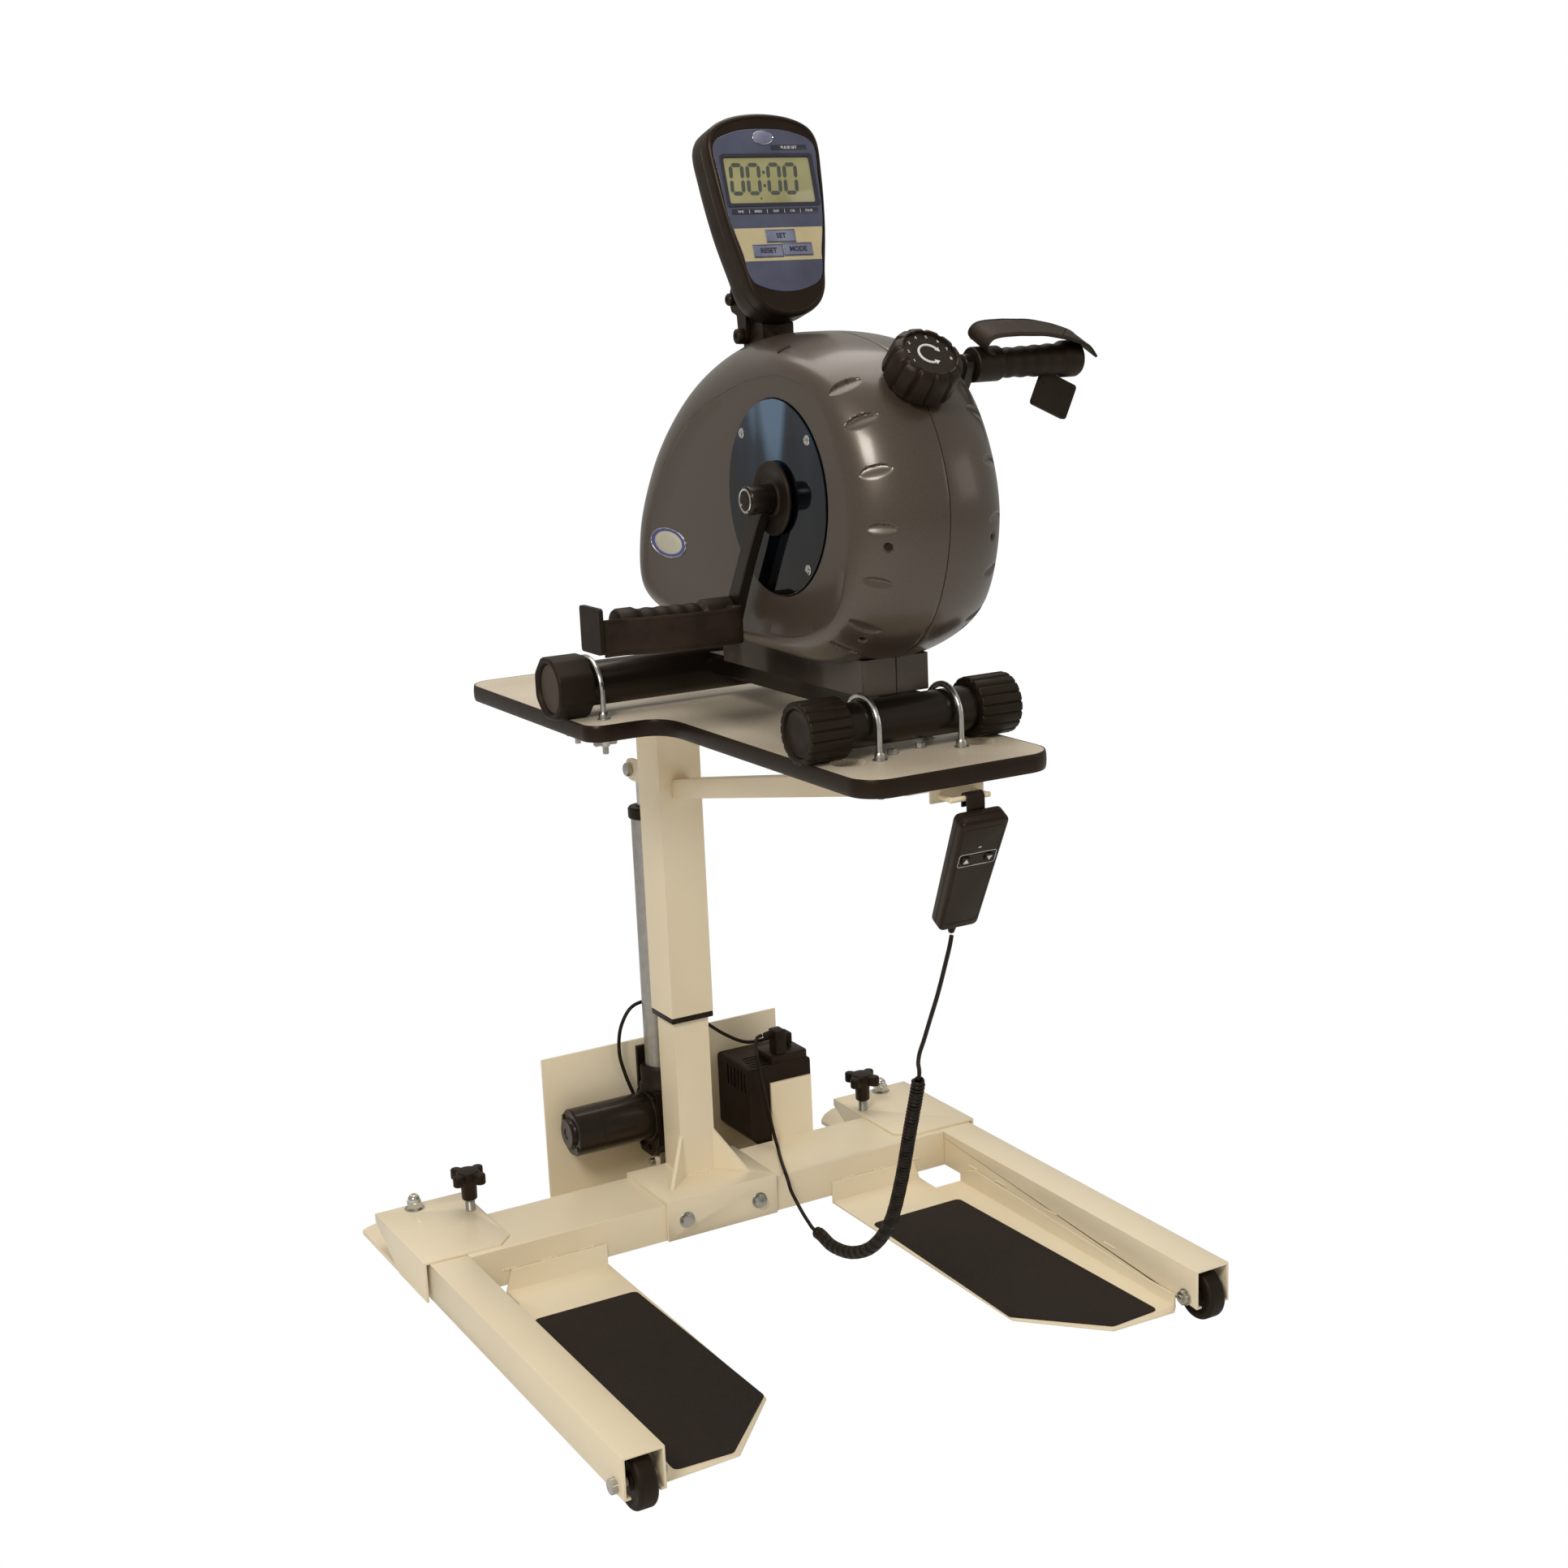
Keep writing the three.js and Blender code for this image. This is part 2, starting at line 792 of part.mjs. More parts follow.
addPair('star_knob', starKnob(), black_plastic);

// Saddle bolted over the beam, with the inner column standing on it
function saddleColumn() {
  const half = saddle_width / 2;
  const top = frame_top + seat_gap + saddle_sheet;
  const front = -beam_front - seat_gap - saddle_sheet;
  const back = beam_back + seat_gap + saddle_sheet;
  const saddle = cut(
    box([-half, half], [front, back], [floor_to_frame, top]),
    box([-half - overrun, half + overrun], [front + saddle_sheet, back - saddle_sheet],
      [floor_to_frame - overrun, top - saddle_sheet]),
  );
  const side = column_inner / 2;
  const post = cut(
    box([-side, side], [-side, side], [top - overrun / 5, column_inner_top]),
    box([column_wall - side, side - column_wall], [column_wall - side, side - column_wall],
      [top + overrun, column_inner_top + overrun]),
  );
  const pad = column_outer / 2 - column_wall - seat_gap;
  const pads = cut(
    box([-pad, pad], [-pad, pad], [column_inner_top - column_pad, column_inner_top]),
    box([pad_seat - side, side - pad_seat], [pad_seat - side, side - pad_seat],
      [0, column_inner_top + overrun]),
  );
  const fin = slab([[0, -overrun / 5], [fin_foot, -overrun / 5], [0, fin_height]], -fin_thickness / 2,
    fin_thickness / 2);
  const fins = [-1, 1].map((hand) => fin.clone().translate(0, -fin_in, 0)
    .rotateZ(Math.PI + hand * quarter / 2).translate(hand * side, -side, top));
  const bolts = [-1, 1].map((hand) => rod('y', saddle_bolt_head,
    [front - saddle_bolt_height, front + saddle_sheet / 2],
      [hand * saddle_bolt_spread / 2, floor_to_frame + frame_tube / 2], 6));
  return join(saddle, post, pads, ...fins, ...bolts);
}

add('saddle_column', saddleColumn(), cream_paint);

// A lug with a half-round top around a pin along X
function lugOutline(centre, width, low) {
  const half = width / 2;
  const shape = new THREE.Shape();
  shape.moveTo(centre[0] - half, low);
  shape.lineTo(centre[0] + half, low);
  shape.lineTo(centre[0] + half, centre[1]);
  shape.absarc(centre[0], centre[1], half, 0, Math.PI, false);
  shape.lineTo(centre[0] - half, low);
  return shape;
}

// Tray behind the beam, bent up into the back plate, with the two lugs that carry the actuator
function backTray() {
  const front = beam_back + saddle_sheet + 2 * seat_gap;
  const low = floor_to_frame;
  const inside = tray_bend - tray_sheet;
  const outline = [
    [front, low], [tray_back - tray_bend, low], [tray_back, low + tray_bend],
      [tray_back, low + tray_height],
    [tray_back - tray_sheet, low + tray_height], [tray_back - tray_sheet, low + tray_sheet + inside],
    [tray_back - tray_sheet - inside, low + tray_sheet], [front, low + tray_sheet],
  ];
  const inner = trunnion_width / 2 + seat_gap;
  const hole = rod('x', trunnion_pin + 2 * seat_gap, [-tray_left, tray_right],
    [actuator_y, trunnion_height], 16);
  const lug = slab(lugOutline([actuator_y, trunnion_height], trunnion_lug_depth, low + tray_sheet / 2),
    inner, inner + trunnion_lug);
  const lugs = [lug, mirrored(lug)].map((piece) => cut(piece, hole));
  return join(slab(outline, -tray_left, tray_right), ...lugs);
}

add('back_tray', backTray(), cream_paint);

// Power box hung on the back plate
const box_right = box_left + box_width;
const box_back = tray_back - tray_sheet - seat_gap;
const box_top = box_bottom + box_height;
const socket_top = box_top + socket_height;
const socket_back = box_front + socket_depth;

function powerBox() {
  const outline = [
    [box_left + box_chamfer, box_bottom], [box_right, box_bottom], [box_right, box_top],
    [box_left, box_top], [box_left, box_bottom + box_chamfer],
  ];
  const raised = box([box_left + socket_left, box_left + socket_left + socket_width],
    [box_front, socket_back], [box_top - overrun, socket_top]);
  return join(panel(outline, box_front, box_back), raised);
}

add('power_box', powerBox(), black_plastic);

// A right-angle plug: body on the socket, ribbed boot out to the left
function plug(place) {
  const [x, y, top] = place;
  const half = plug_width / 2;
  const low = socket_top + seat_gap;
  const boot_z = top - plug_boot / 2;
  const ribs = Array.from({ length: plug_ribs }, (_, i) => {
    const step = plug_boot_length / plug_ribs;
    const right = x - half - i * step;
    return rod('x', plug_boot, [right - step / 2, right + step / 4], [y, boot_z], 8);
  });
  const core = rod('x', plug_boot - 2 * plug_rib_depth, [x - half - plug_boot_length, x], [y, boot_z], 8);
  return join(box([x - half, x + half], [y - plug_depth / 2, y + plug_depth / 2], [low, top]), core,
    ...ribs);
}

const front_plug = [box_left + socket_left + plug_width, box_front + plug_depth / 2,
  socket_top + tall_plug];
const rear_plug = [box_right - plug_spacing, socket_back - plug_depth / 2, socket_top + short_plug];
add('cord_plug', plug(front_plug), black_rubber);

// Gearbox with its motor, the motor's cable and the cable's plug
function gearMotor() {
  const half = gearbox_width / 2;
  const front = actuator_y - gearbox_depth / 2;
  const back = actuator_y + gearbox_depth / 2;
  const caseOutline = [
    [front + gearbox_chamfer, gearbox_bottom], [back, gearbox_bottom], [back, gearbox_top],
      [front, gearbox_top],
    [front, gearbox_bottom + gearbox_chamfer],
  ];
  const axis = [actuator_y, motor_height];
  const motor_end = -half - motor_length;
  const pin_half = trunnion_width / 2 + trunnion_lug + 2 * seat_gap + gearbox_collar_wall;
  const lug = box([-trunnion_width / 2, trunnion_width / 2],
    [actuator_y - trunnion_pin, actuator_y + trunnion_pin],
      [trunnion_height - trunnion_pin, gearbox_bottom + overrun]);
  const cable = tube([
    [-half - motor_cable_in, actuator_y + motor_cable_in, motor_height + motor_diameter / 3],
    ...motor_cable_points,
    [rear_plug[0] - plug_width / 2 - plug_boot_length / 2, rear_plug[1], rear_plug[2] - plug_boot / 2],
  ], cord_diameter, 7, 22);
  return join(
    slab(caseOutline, -half, half),
    rod('z', gearbox_collar, [gearbox_top - overrun, gearbox_collar_top], [0, actuator_y], 20),
    box([-half, half], [back - gearbox_collar_wall, back], [gearbox_top - overrun, gearbox_plate_top]),
    rod('x', motor_diameter, [motor_end, -half + overrun], axis, 20),
    rod('x', motor_cap, [motor_end - motor_cap_height, motor_end + overrun], axis, 16),
    lug,
    rod('x', trunnion_pin, [-pin_half, pin_half], [actuator_y, trunnion_height], 12),
    cable,
    plug(rear_plug),
  );
}

add('gear_motor', gearMotor(), black_paint);

// Actuator tube with its end ring; the rod slides inside it
const tube_low = gearbox_collar_top + seat_gap;
const rod_low = clevis_height - rod_length;

function actuatorTube() {
  const ring_top = actuator_tube_top + actuator_ring_height / 2;
  const body = join(
    rod('z', actuator_tube, [tube_low, ring_top], [0, actuator_y], 20),
    rod('z', actuator_ring, [ring_top - actuator_ring_height, ring_top], [0, actuator_y], 20),
  );
  return cut(body, rod('z', rod_diameter + 2 * seat_gap,
    [rod_low - lift_down - overrun, ring_top + overrun],
    [0, actuator_y], 16));
}

add('actuator_tube', actuatorTube(), zinc);

function actuatorRod() {
  const nut_at = clevis_inner + clevis_lug + seat_gap;
  const axis = [actuator_y, clevis_height];
  return join(
    rod('z', rod_diameter, [rod_low, clevis_height + rod_diameter / 2], [0, actuator_y], 16),
    rod('x', clevis_bolt, [-nut_at - clevis_bolt, nut_at + clevis_bolt], axis, 8),
    rod('x', clevis_head, [-nut_at - clevis_head_height, -nut_at], axis, 6),
    rod('x', clevis_head, [nut_at, nut_at + clevis_head_height], axis, 6),
  );
}

add('actuator_rod', actuatorRod(), zinc);

// Outer column with the plate under the board and the lugs for the actuator's upper pin
const board_bottom = board_top - board_thickness;
const column_top = board_bottom - seat_gap;
const outer_half = column_outer / 2;
const strut_rise = board_bottom - seat_gap - strut_clearance - strut_low - strut_tube;
const strut_slope = strut_rise / (strut_reach - outer_half - seat_gap);

function upperColumn() {
  const inner_half = outer_half - column_wall;
  const shaft = cut(
    box([-outer_half, outer_half], [-outer_half, outer_half], [column_bottom, column_top]),
    box([-inner_half, inner_half], [-inner_half, inner_half],
      [column_bottom - overrun, column_top - top_plate_sheet]),
  );
  const top = box([-top_plate_width / 2, top_plate_width / 2], [-top_plate_depth / 2, top_plate_depth / 2],
    [column_top - top_plate_sheet, column_top]);
  const half = clevis_lug_depth / 2;
  const outline = new THREE.Shape();
  outline.moveTo(outer_half - column_wall / 2, clevis_height - half);
  outline.lineTo(actuator_y, clevis_height - half);
  outline.absarc(actuator_y, clevis_height, half, -quarter, quarter, false);
  outline.lineTo(outer_half - column_wall / 2, clevis_height + half);
  const hole = rod('x', clevis_bolt + 2 * seat_gap, [-column_outer, column_outer],
    [actuator_y, clevis_height], 16);
  const lug = cut(slab(outline, clevis_inner, clevis_inner + clevis_lug), hole);
  return join(shaft, top, lug, mirrored(lug));
}

add('upper_column', upperColumn(), cream_paint);

// Sliding lip at the foot of the outer column
function columnGlide() {
  const inner = column_inner / 2 + seat_gap;
  return cut(
    box([-outer_half, outer_half], [-outer_half, outer_half],
      [column_bottom - glide_height, column_bottom - seat_gap]),
    box([-inner, inner], [-inner, inner], [column_bottom - 2 * glide_height, column_bottom + overrun]),
  );
}

add('column_glide', columnGlide(), black_plastic);

// Table board: wide at the back, narrow at the front, with rounded corners
function boardOutline(grow) {
  const half = board_half + grow;
  const back = board_back + grow;
  const corner = board_corner + grow;
  const nose = board_nose_half + grow;
  const front = -board_front - grow;
  const shoulder = -board_shoulder - grow;
  const small = board_shoulder_corner;
  const shape = new THREE.Shape();
  shape.moveTo(-half + corner, back);
  shape.absarc(-half + corner, back - corner, corner, quarter, Math.PI, false);
  shape.lineTo(-half, shoulder + small);
  shape.absarc(-half + small, shoulder + small, small, Math.PI, 3 * quarter, false);
  shape.lineTo(-board_waist_x, shoulder);
  shape.bezierCurveTo(-nose - board_waist_bend, shoulder, -nose, shoulder - board_waist_bend, -nose,
    -board_waist_y);
  shape.lineTo(-nose, front + corner);
  shape.absarc(-nose + corner, front + corner, corner, Math.PI, 3 * quarter, false);
  shape.lineTo(nose - corner, front);
  shape.absarc(nose - corner, front + corner, corner, 3 * quarter, 4 * quarter, false);
  shape.lineTo(nose, -board_waist_y);
  shape.bezierCurveTo(nose, shoulder - board_waist_bend, nose + board_waist_bend, shoulder, board_waist_x,
    shoulder);
  shape.lineTo(half - small, shoulder);
  shape.absarc(half - small, shoulder + small, small, 3 * quarter, 4 * quarter, false);
  shape.lineTo(half, back - corner);
  shape.absarc(half - corner, back - corner, corner, 0, quarter, false);
  return shape;
}

const clamp_places = [
  ['front_left', -front_clamp_x, -front_tube_y, front_clamp_half, front_tube, front_tube_z()],
  ['front_right', front_clamp_x, -front_tube_y, front_clamp_half, front_tube, front_tube_z()],
  ['rear_left', -rear_clamp_x, -rear_tube_y, rear_clamp_half, rear_tube, rear_tube_z()],
  ['rear_right', rear_clamp_x, -rear_tube_y, rear_clamp_half, rear_tube, rear_tube_z()],
];

function front_tube_z() {
  return board_top + front_cap / 2 + seat_gap;
}

function rear_tube_z() {
  return board_top + rear_cap / 2 + seat_gap;
}

function board() {
  const legs = clamp_places.flatMap(([, x, y, half]) => [-half, half].map((side) =>
    rod('z', clamp_rod + 4 * seat_gap, [board_bottom - overrun, board_top + overrun], [x, y + side], 8)));
  const spare = spare_holes.map((place) =>
    rod('z', spare_hole, [board_bottom - overrun, board_top + overrun], place, 8));
  return cut(plate(boardOutline(-board_edging - seat_gap), board_bottom, board_top, 3), ...legs, ...spare);
}

function boardEdge() {
  return cut(
    plate(boardOutline(0), board_bottom, board_top, 3),
    plate(boardOutline(-board_edging), board_bottom - overrun, board_top + overrun, 3),
  );
}

add('board', board(), beige_laminate);
add('board_edge', boardEdge(), black_plastic);

// Strut from the column to the underside of the board, ending in the hanger for the handset
function strut() {
  const start = -outer_half - seat_gap;
  const rise = (strut_reach + start) * strut_slope;
  const half = strut_tube / 2;
  const high = strut_low + strut_tube;
  const body = slab([
    [start, strut_low], [start, high], [-strut_reach, high + rise], [-strut_reach, board_bottom - seat_gap],
    [-strut_reach - strut_clip, board_bottom - seat_gap],
      [-strut_reach - strut_clip, board_bottom - strut_clip],
    [-strut_reach, strut_low + rise],
  ], -half, half);
  const bore_half = half - strut_wall;
  const bore_end = strut_reach - strut_tube;
  const bore_rise = (bore_end + start) * strut_slope;
  const overshoot = overrun * strut_slope;
  const bore = slab([
    [start + overrun, strut_low + strut_wall - overshoot], [start + overrun, high - strut_wall - overshoot],
    [-bore_end, high - strut_wall + bore_rise], [-bore_end, strut_low + strut_wall + bore_rise],
  ], -bore_half, bore_half);
  const top = board_bottom - seat_gap;
  const plateBack = -hanger_y + hanger_sheet;
  const flange = box([-hanger_left, hanger_right], [plateBack - hanger_sheet, -strut_reach],
    [top - hanger_sheet, top]);
  const drop = box([-hanger_left, hanger_right], [-hanger_y, plateBack], [top - hanger_drop, top]);
  const wire_z = board_top - board_thickness - hanger_wire_drop;
  const wire_left = hanger_middle - hanger_loop_width / 2;
  const wire_right = hanger_middle + hanger_loop_width / 2;
  const wire_front = -hanger_y - hanger_loop;
  const loop = [
    rod('y', hanger_wire, [wire_front, -hanger_y + hanger_sheet / 2], [wire_left, wire_z], 12),
    rod('y', hanger_wire, [wire_front, -hanger_y + hanger_sheet / 2], [wire_right, wire_z], 12),
    rod('x', hanger_wire, [wire_left - hanger_wire / 2, wire_right + hanger_wire / 2],
      [wire_front, wire_z], 12),
  ];
  return join(cut(body, bore), flange, drop, ...loop);
}

add('strut', strut(), cream_paint);

// Clamps over the stabiliser tubes: bent rod with threaded legs and wing nuts under the board
function clampAt(place) {
  const [, x, y, half, tubeSize, axis] = place;
  const top_bend = axis + tubeSize / 2 + clamp_clearance + clamp_rod / 2 - half;
  const low = board_bottom - clamp_below;
  const bend = Array.from({ length: bend_steps + 1 }, (_, i) => {
    const angle = (i * Math.PI) / bend_steps;
    return [x, y - half * Math.cos(angle), top_bend + half * Math.sin(angle)];
  });
  const halfway = (low + top_bend) / 2;
  const rodShape = tube([[x, y - half, low], [x, y - half, halfway], ...bend, [x, y + half, halfway],
    [x, y + half, low]], clamp_rod, 6, 13);
  const nuts = [-half, half].flatMap((side) => {
    const top = board_bottom - seat_gap;
    return [
      rod('z', 2 * clamp_rod, [top - wing_height, top], [x, y + side], 8),
      box([x - wing_span / 2, x + wing_span / 2],
        [y + side - wing_thickness / 2, y + side + wing_thickness / 2],
        [top - wing_height, top - wing_thickness]),
    ];
  });
  return join(rodShape, ...nuts);
}

clamp_places.forEach((place) => add(`clamp_${place[0]}`, clampAt(place), zinc));

// Stabiliser tubes with their end caps, which rest on the board
function stabiliser(diameter, half, y, z, wall) {
  const axis = [-y, z];
  return cut(
    rod('x', diameter, [-half, half], axis, 24),
    rod('x', diameter - 2 * wall, [-half - overrun, half + overrun], axis, 24),
  );
}

function capOutline(count, size, depth) {
  if (!depth) return ring(count, size / 2 / Math.cos(Math.PI / count), Math.PI / count - quarter);
  return ring(2 * count, size / 2).map(([a, b], i) => {
    const share = 1 - ((i % 2) * depth) / (size / 2);
    return [a * share, b * share];
  });
}

function endCap(outline, end, length, tubeSize, y, z, wall) {
  const shell = slab(outline, end - length, end).translate(0, -y, z);
  const bore = rod('x', tubeSize + 2 * seat_gap, [end - length - overrun, end - wall - cap_recess],
    [-y, z], 24);
  const dish = rod('x', tubeSize - wall, [end - cap_recess, end + overrun], [-y, z], 16);
  return cut(shell, bore, dish);
}

const cap_floor = cap_wall + cap_recess + seat_gap;
add('front_stabilizer', stabiliser(front_tube, front_tube_half - cap_floor, front_tube_y, front_tube_z(),
  cap_wall),
  black_paint);
add('rear_stabilizer', stabiliser(rear_tube, rear_tube_half - cap_floor, rear_tube_y, rear_tube_z(),
  cap_wall),
  black_paint);
addPair('front_cap', endCap(capOutline(front_cap_flutes, front_cap, flute_depth), front_tube_half,
  front_cap_length,
  front_tube, front_tube_y, front_tube_z(), cap_wall), black_rubber);
addPair('rear_cap', endCap(capOutline(rear_cap_sides, rear_cap, 0), rear_tube_half, rear_cap_length,
  rear_tube, rear_tube_y, rear_tube_z(), cap_wall), black_rubber);

// Main bar between the two tubes, with the pedestal and the plate that carries the bearings
const bar_top = front_tube_z() + front_tube / 2;
const pedestal_low = bar_top + seat_gap;
const pedestal_top = pedestal_low + pedestal_height;

function mainBar() {
  const half = bar_width / 2;
  const bar = cut(
    box([-half, half], [-front_tube_y, -rear_tube_y], [bar_top - bar_height, bar_top]),
    rod('x', front_tube + 2 * seat_gap, [-bar_width, bar_width], [-front_tube_y, front_tube_z()], 24),
    rod('x', rear_tube + 2 * seat_gap, [-bar_width, bar_width], [-rear_tube_y, rear_tube_z()], 24),
  );
  const foot = box([-pedestal_width / 2, pedestal_width / 2], [-pedestal_front, -pedestal_back],
    [bar_top - seat_gap, pedestal_top]);
  const web = slab([
    [-hub_y - bearing_tube, pedestal_top - overrun], [-flywheel_y + bearing_tube, pedestal_top - overrun],
    [-flywheel_y + bearing_tube, flywheel_z + bearing_tube / 2],
      [-hub_y + bearing_tube, hub_z + bearing_tube],
    [-hub_y - bearing_tube, hub_z + bearing_tube],
  ], -frame_plate / 2, frame_plate / 2);
  const tubes = [[-hub_y, hub_z], [-flywheel_y, flywheel_z]].map((centre) =>
    rod('x', bearing_tube, [-bearing_half, bearing_half], centre, 12));
  return cut(
    join(bar, foot, web, ...tubes),
    rod('x', crank_shaft + 2 * seat_gap, [-bar_width, bar_width], [-hub_y, hub_z], 24),
    rod('x', flywheel_shaft + 2 * seat_gap, [-bar_width, bar_width], [-flywheel_y, flywheel_z], 12),
  );
}

add('main_bar', mainBar(), black_paint);

// A closed skin over rings of equal point counts, with flat ends
function loft(rings) {
  const count = rings[0].length;
  const points = rings.flat();
  const faces = [];
  for (let row = 0; row < rings.length - 1; row += 1) {
    for (let i = 0; i < count; i += 1) {
      const next = (i + 1) % count;
      const a = row * count + i;
      const b = row * count + next;
      faces.push(a, b, b + count, a, b + count, a + count);
    }
  }
  const flat = (ringPoints) => {
    const still = [0, 1, 2].reduce((best, k) => {
      const along = (axis) => ringPoints.map((p) => p[axis]);
      const spread = (axis) => Math.max(...along(axis)) - Math.min(...along(axis));
      return spread(k) < spread(best) ? k : best;
    }, 0);
    const kept = [0, 1, 2].filter((k) => k !== still);
    const outline = ringPoints.map((p) => new THREE.Vector2(p[kept[0]], p[kept[1]]));
    return THREE.ShapeUtils.triangulateShape(outline, []);
  };
  const base = (rings.length - 1) * count;
  const cap = flat(rings[0]);
  const end = flat(rings[rings.length - 1]);
  const edgeForward = cap.some(([a, b, c]) => [[a, b], [b, c], [c, a]].some(([p, q]) =>
    (p + 1) % count === q));
  cap.forEach(([a, b, c]) => faces.push(...(edgeForward ? [c, b, a] : [a, b, c])));
  end.forEach(([a, b, c]) => faces.push(...(edgeForward ? [a, b, c] : [c, b, a]).map((v) => v + base)));
  const geometry = new THREE.BufferGeometry();
  geometry.setAttribute('position', new THREE.BufferAttribute(new Float32Array(points.flat()), 3));
  geometry.setIndex(faces);
  return outward(geometry);
}

// Moves a closed outline inwards by a distance, square to its run
function inset(outline, distance) {
  const count = outline.length;
  const area = outline.reduce((sum, [x, y], i) => {
    const [nextX, nextY] = outline[(i + 1) % count];
    return sum + x * nextY - nextX * y;
  }, 0);
  const hand = Math.sign(area);
  return outline.map(([x, y], i) => {
    const before = outline[(i + count - 1) % count];
    const after = outline[(i + 1) % count];
    const run = [after[0] - before[0], after[1] - before[1]];
    const length = Math.hypot(...run);
    return [x - (hand * distance * run[1]) / length, y + (hand * distance * run[0]) / length];
  });
}

// Housing: each half runs from the seam in the middle plane, over a rounded shoulder, to a flat side
function smoothOutline(shares, count) {
  const points = shares.map(([y, z]) => new THREE.Vector3(-housing_front + y * housing_depth,
    housing_low + z * housing_height, 0));
  const curve = new THREE.CatmullRomCurve3(points, true, 'centripetal');
  return curve.getPoints(count).slice(0, count).map((p) => [p.x, p.y]);
}

function housingBody(shrink, start) {
  const seam = inset(smoothOutline(seam_shares, housing_points), shrink);
  const side = inset(smoothOutline(side_shares, housing_points), shrink);
  const half = housing_half - shrink;
  const rows = [];
  if (start < 0) rows.push(seam.map(([y, z]) => [start, y, z]));
  for (let i = 0; i <= shell_rings; i += 1) {
    const angle = (i / shell_rings) * quarter;
    const x = start < 0 || i > 0 ? half * Math.sin(angle) : start;
    const share = Math.cos(angle);
    rows.push(side.map(([y, z], k) => [x, y + (seam[k][0] - y) * share, z + (seam[k][1] - z) * share]));
  }
  return loft(rows);
}

function housingShell() {
  const hub = [-hub_y, hub_z];
  const shell = cut(housingBody(0, seam_gap / 2), housingBody(housing_wall, -overrun));
  const foot = box([-overrun, pedestal_width / 2 + seat_gap],
    [-pedestal_front - seat_gap, -pedestal_back + seat_gap],
    [housing_low - pedestal_height, housing_low + pedestal_height / 2]);
  const opening = rod('x', 2 * (window_radius + seat_gap), [0, housing_half + overrun], hub, 28);
  const stem = rod('z', knob_stem + 2 * seat_gap, [-knob_stem_length - overrun, overrun], [0, 0], 16)
    .rotateX(knob_tilt * degree).translate(0, -knob_y, knob_z);
  return cut(shell, foot, opening, stem);
}

addPair('housing', housingShell(), housing_grey);

function windowPane() {
  const centre = [-hub_y, hub_z];
  return cut(
    rod('x', 2 * window_radius, [housing_half - window_step, housing_half - window_step + window_thickness],
      centre, 28),
    rod('x', crank_hub + 2 * seat_gap, [0, 2 * housing_half], centre, 16),
  );
}

addPair('window', windowPane(), smoked_glass);

// Crank: one shaft with its pulley, and an arm on each end
const crank = new THREE.Group();
crank.position.set(0, -hub_y, hub_z);
machine.add(crank);

function crankAxle() {
  const left = pulley_x - pulley_width / 2;
  const right = pulley_x + pulley_width / 2;
  const radius = pulley_diameter / 2;
  const hub = crank_shaft;
  const profile = [
    [0, left], [radius, left], [radius, right], [radius - pulley_rim, right],
    [radius - pulley_rim, pulley_x],
    [hub, pulley_x], [hub, right], [0, right],
  ];
  return join(turned(profile, 20).rotateY(quarter),
    rod('x', crank_shaft, [-shaft_half, shaft_half], [0, 0], 12));
}

add('crank_axle', crankAxle(), steel, crank);

function crankArm() {
  const face = housing_half + arm_clearance;
  const pin_x = arm_inner;
  const bar_right = arm_inner + arm_bar_thickness;
  const half = arm_bar_width / 2;
  const bar = new THREE.Shape();
  bar.moveTo(-half, 0);
  bar.lineTo(-half, -crank_radius);
  bar.absarc(0, -crank_radius, half, Math.PI, 2 * Math.PI, false);
  bar.lineTo(half, 0);
  const body = join(
    slab(bar, pin_x, bar_right),
    rod('x', crank_hub, [face, hub_end], [0, 0], 16),
    rod('x', hub_disc, [face, face + hub_disc_thickness], [0, 0], 20),
    rod('x', grip_pin, [bar_right - overrun, grip_end - grip_floor], [0, -crank_radius], 12),
  );
  return cut(body, rod('x', crank_shaft + 2 * seat_gap, [0, shaft_half + seat_gap], [0, 0], 12));
}

// The left arm hangs down and back, the right one stands up and forward
const arm_sides = [
  ['left', mirrored(crankArm()), crank_lean * degree],
  ['right', crankArm(), crank_lean * degree + Math.PI],
];
arm_sides.forEach(([side, geometry, lean]) => {
  add(`crank_arm_${side}`, geometry, black_paint, crank).rotation.x = lean;
});

// Flywheel with its small pulley and shaft
function flywheel() {
  const left = -flywheel_x - flywheel_width;
  const radius = flywheel_diameter / 2;
  const web = flywheel_width / 4;
  const middle = left + flywheel_width / 2;
  const boss = flywheel_boss / 2;
  const rim = radius - flywheel_rim;
  const profile = [
    [0, left], [boss, left], [boss, middle - web], [rim, middle - web], [rim, left], [radius, left],
    [radius, -flywheel_x], [boss, -flywheel_x], [0, -flywheel_x],
  ];
  return join(
    turned(profile, 18).rotateY(quarter),
    rod('x', flywheel_shaft, [left - overrun, pulley_x + pulley_width / 2], [0, 0], 12),
    rod('x', small_pulley, [pulley_x - pulley_width / 2, pulley_x + pulley_width / 2], [0, 0], 16),
  ).translate(0, -flywheel_y, flywheel_z);
}

add('flywheel', flywheel(), steel);

// The loop that a belt lies in round two pulleys, given their radii
function beltOutline(large, small) {
  const run = [flywheel_y - hub_y, hub_z - flywheel_z];
  const distance = Math.hypot(...run);
  const heading = Math.atan2(-run[1], -run[0]);
  const spread = Math.acos((large - small) / distance);
  const shape = new THREE.Shape();
  shape.absarc(-hub_y, hub_z, large, heading + spread, heading - spread + 2 * Math.PI, false);
  shape.absarc(-flywheel_y, flywheel_z, small, heading - spread, heading + spread, false);
  return shape;
}

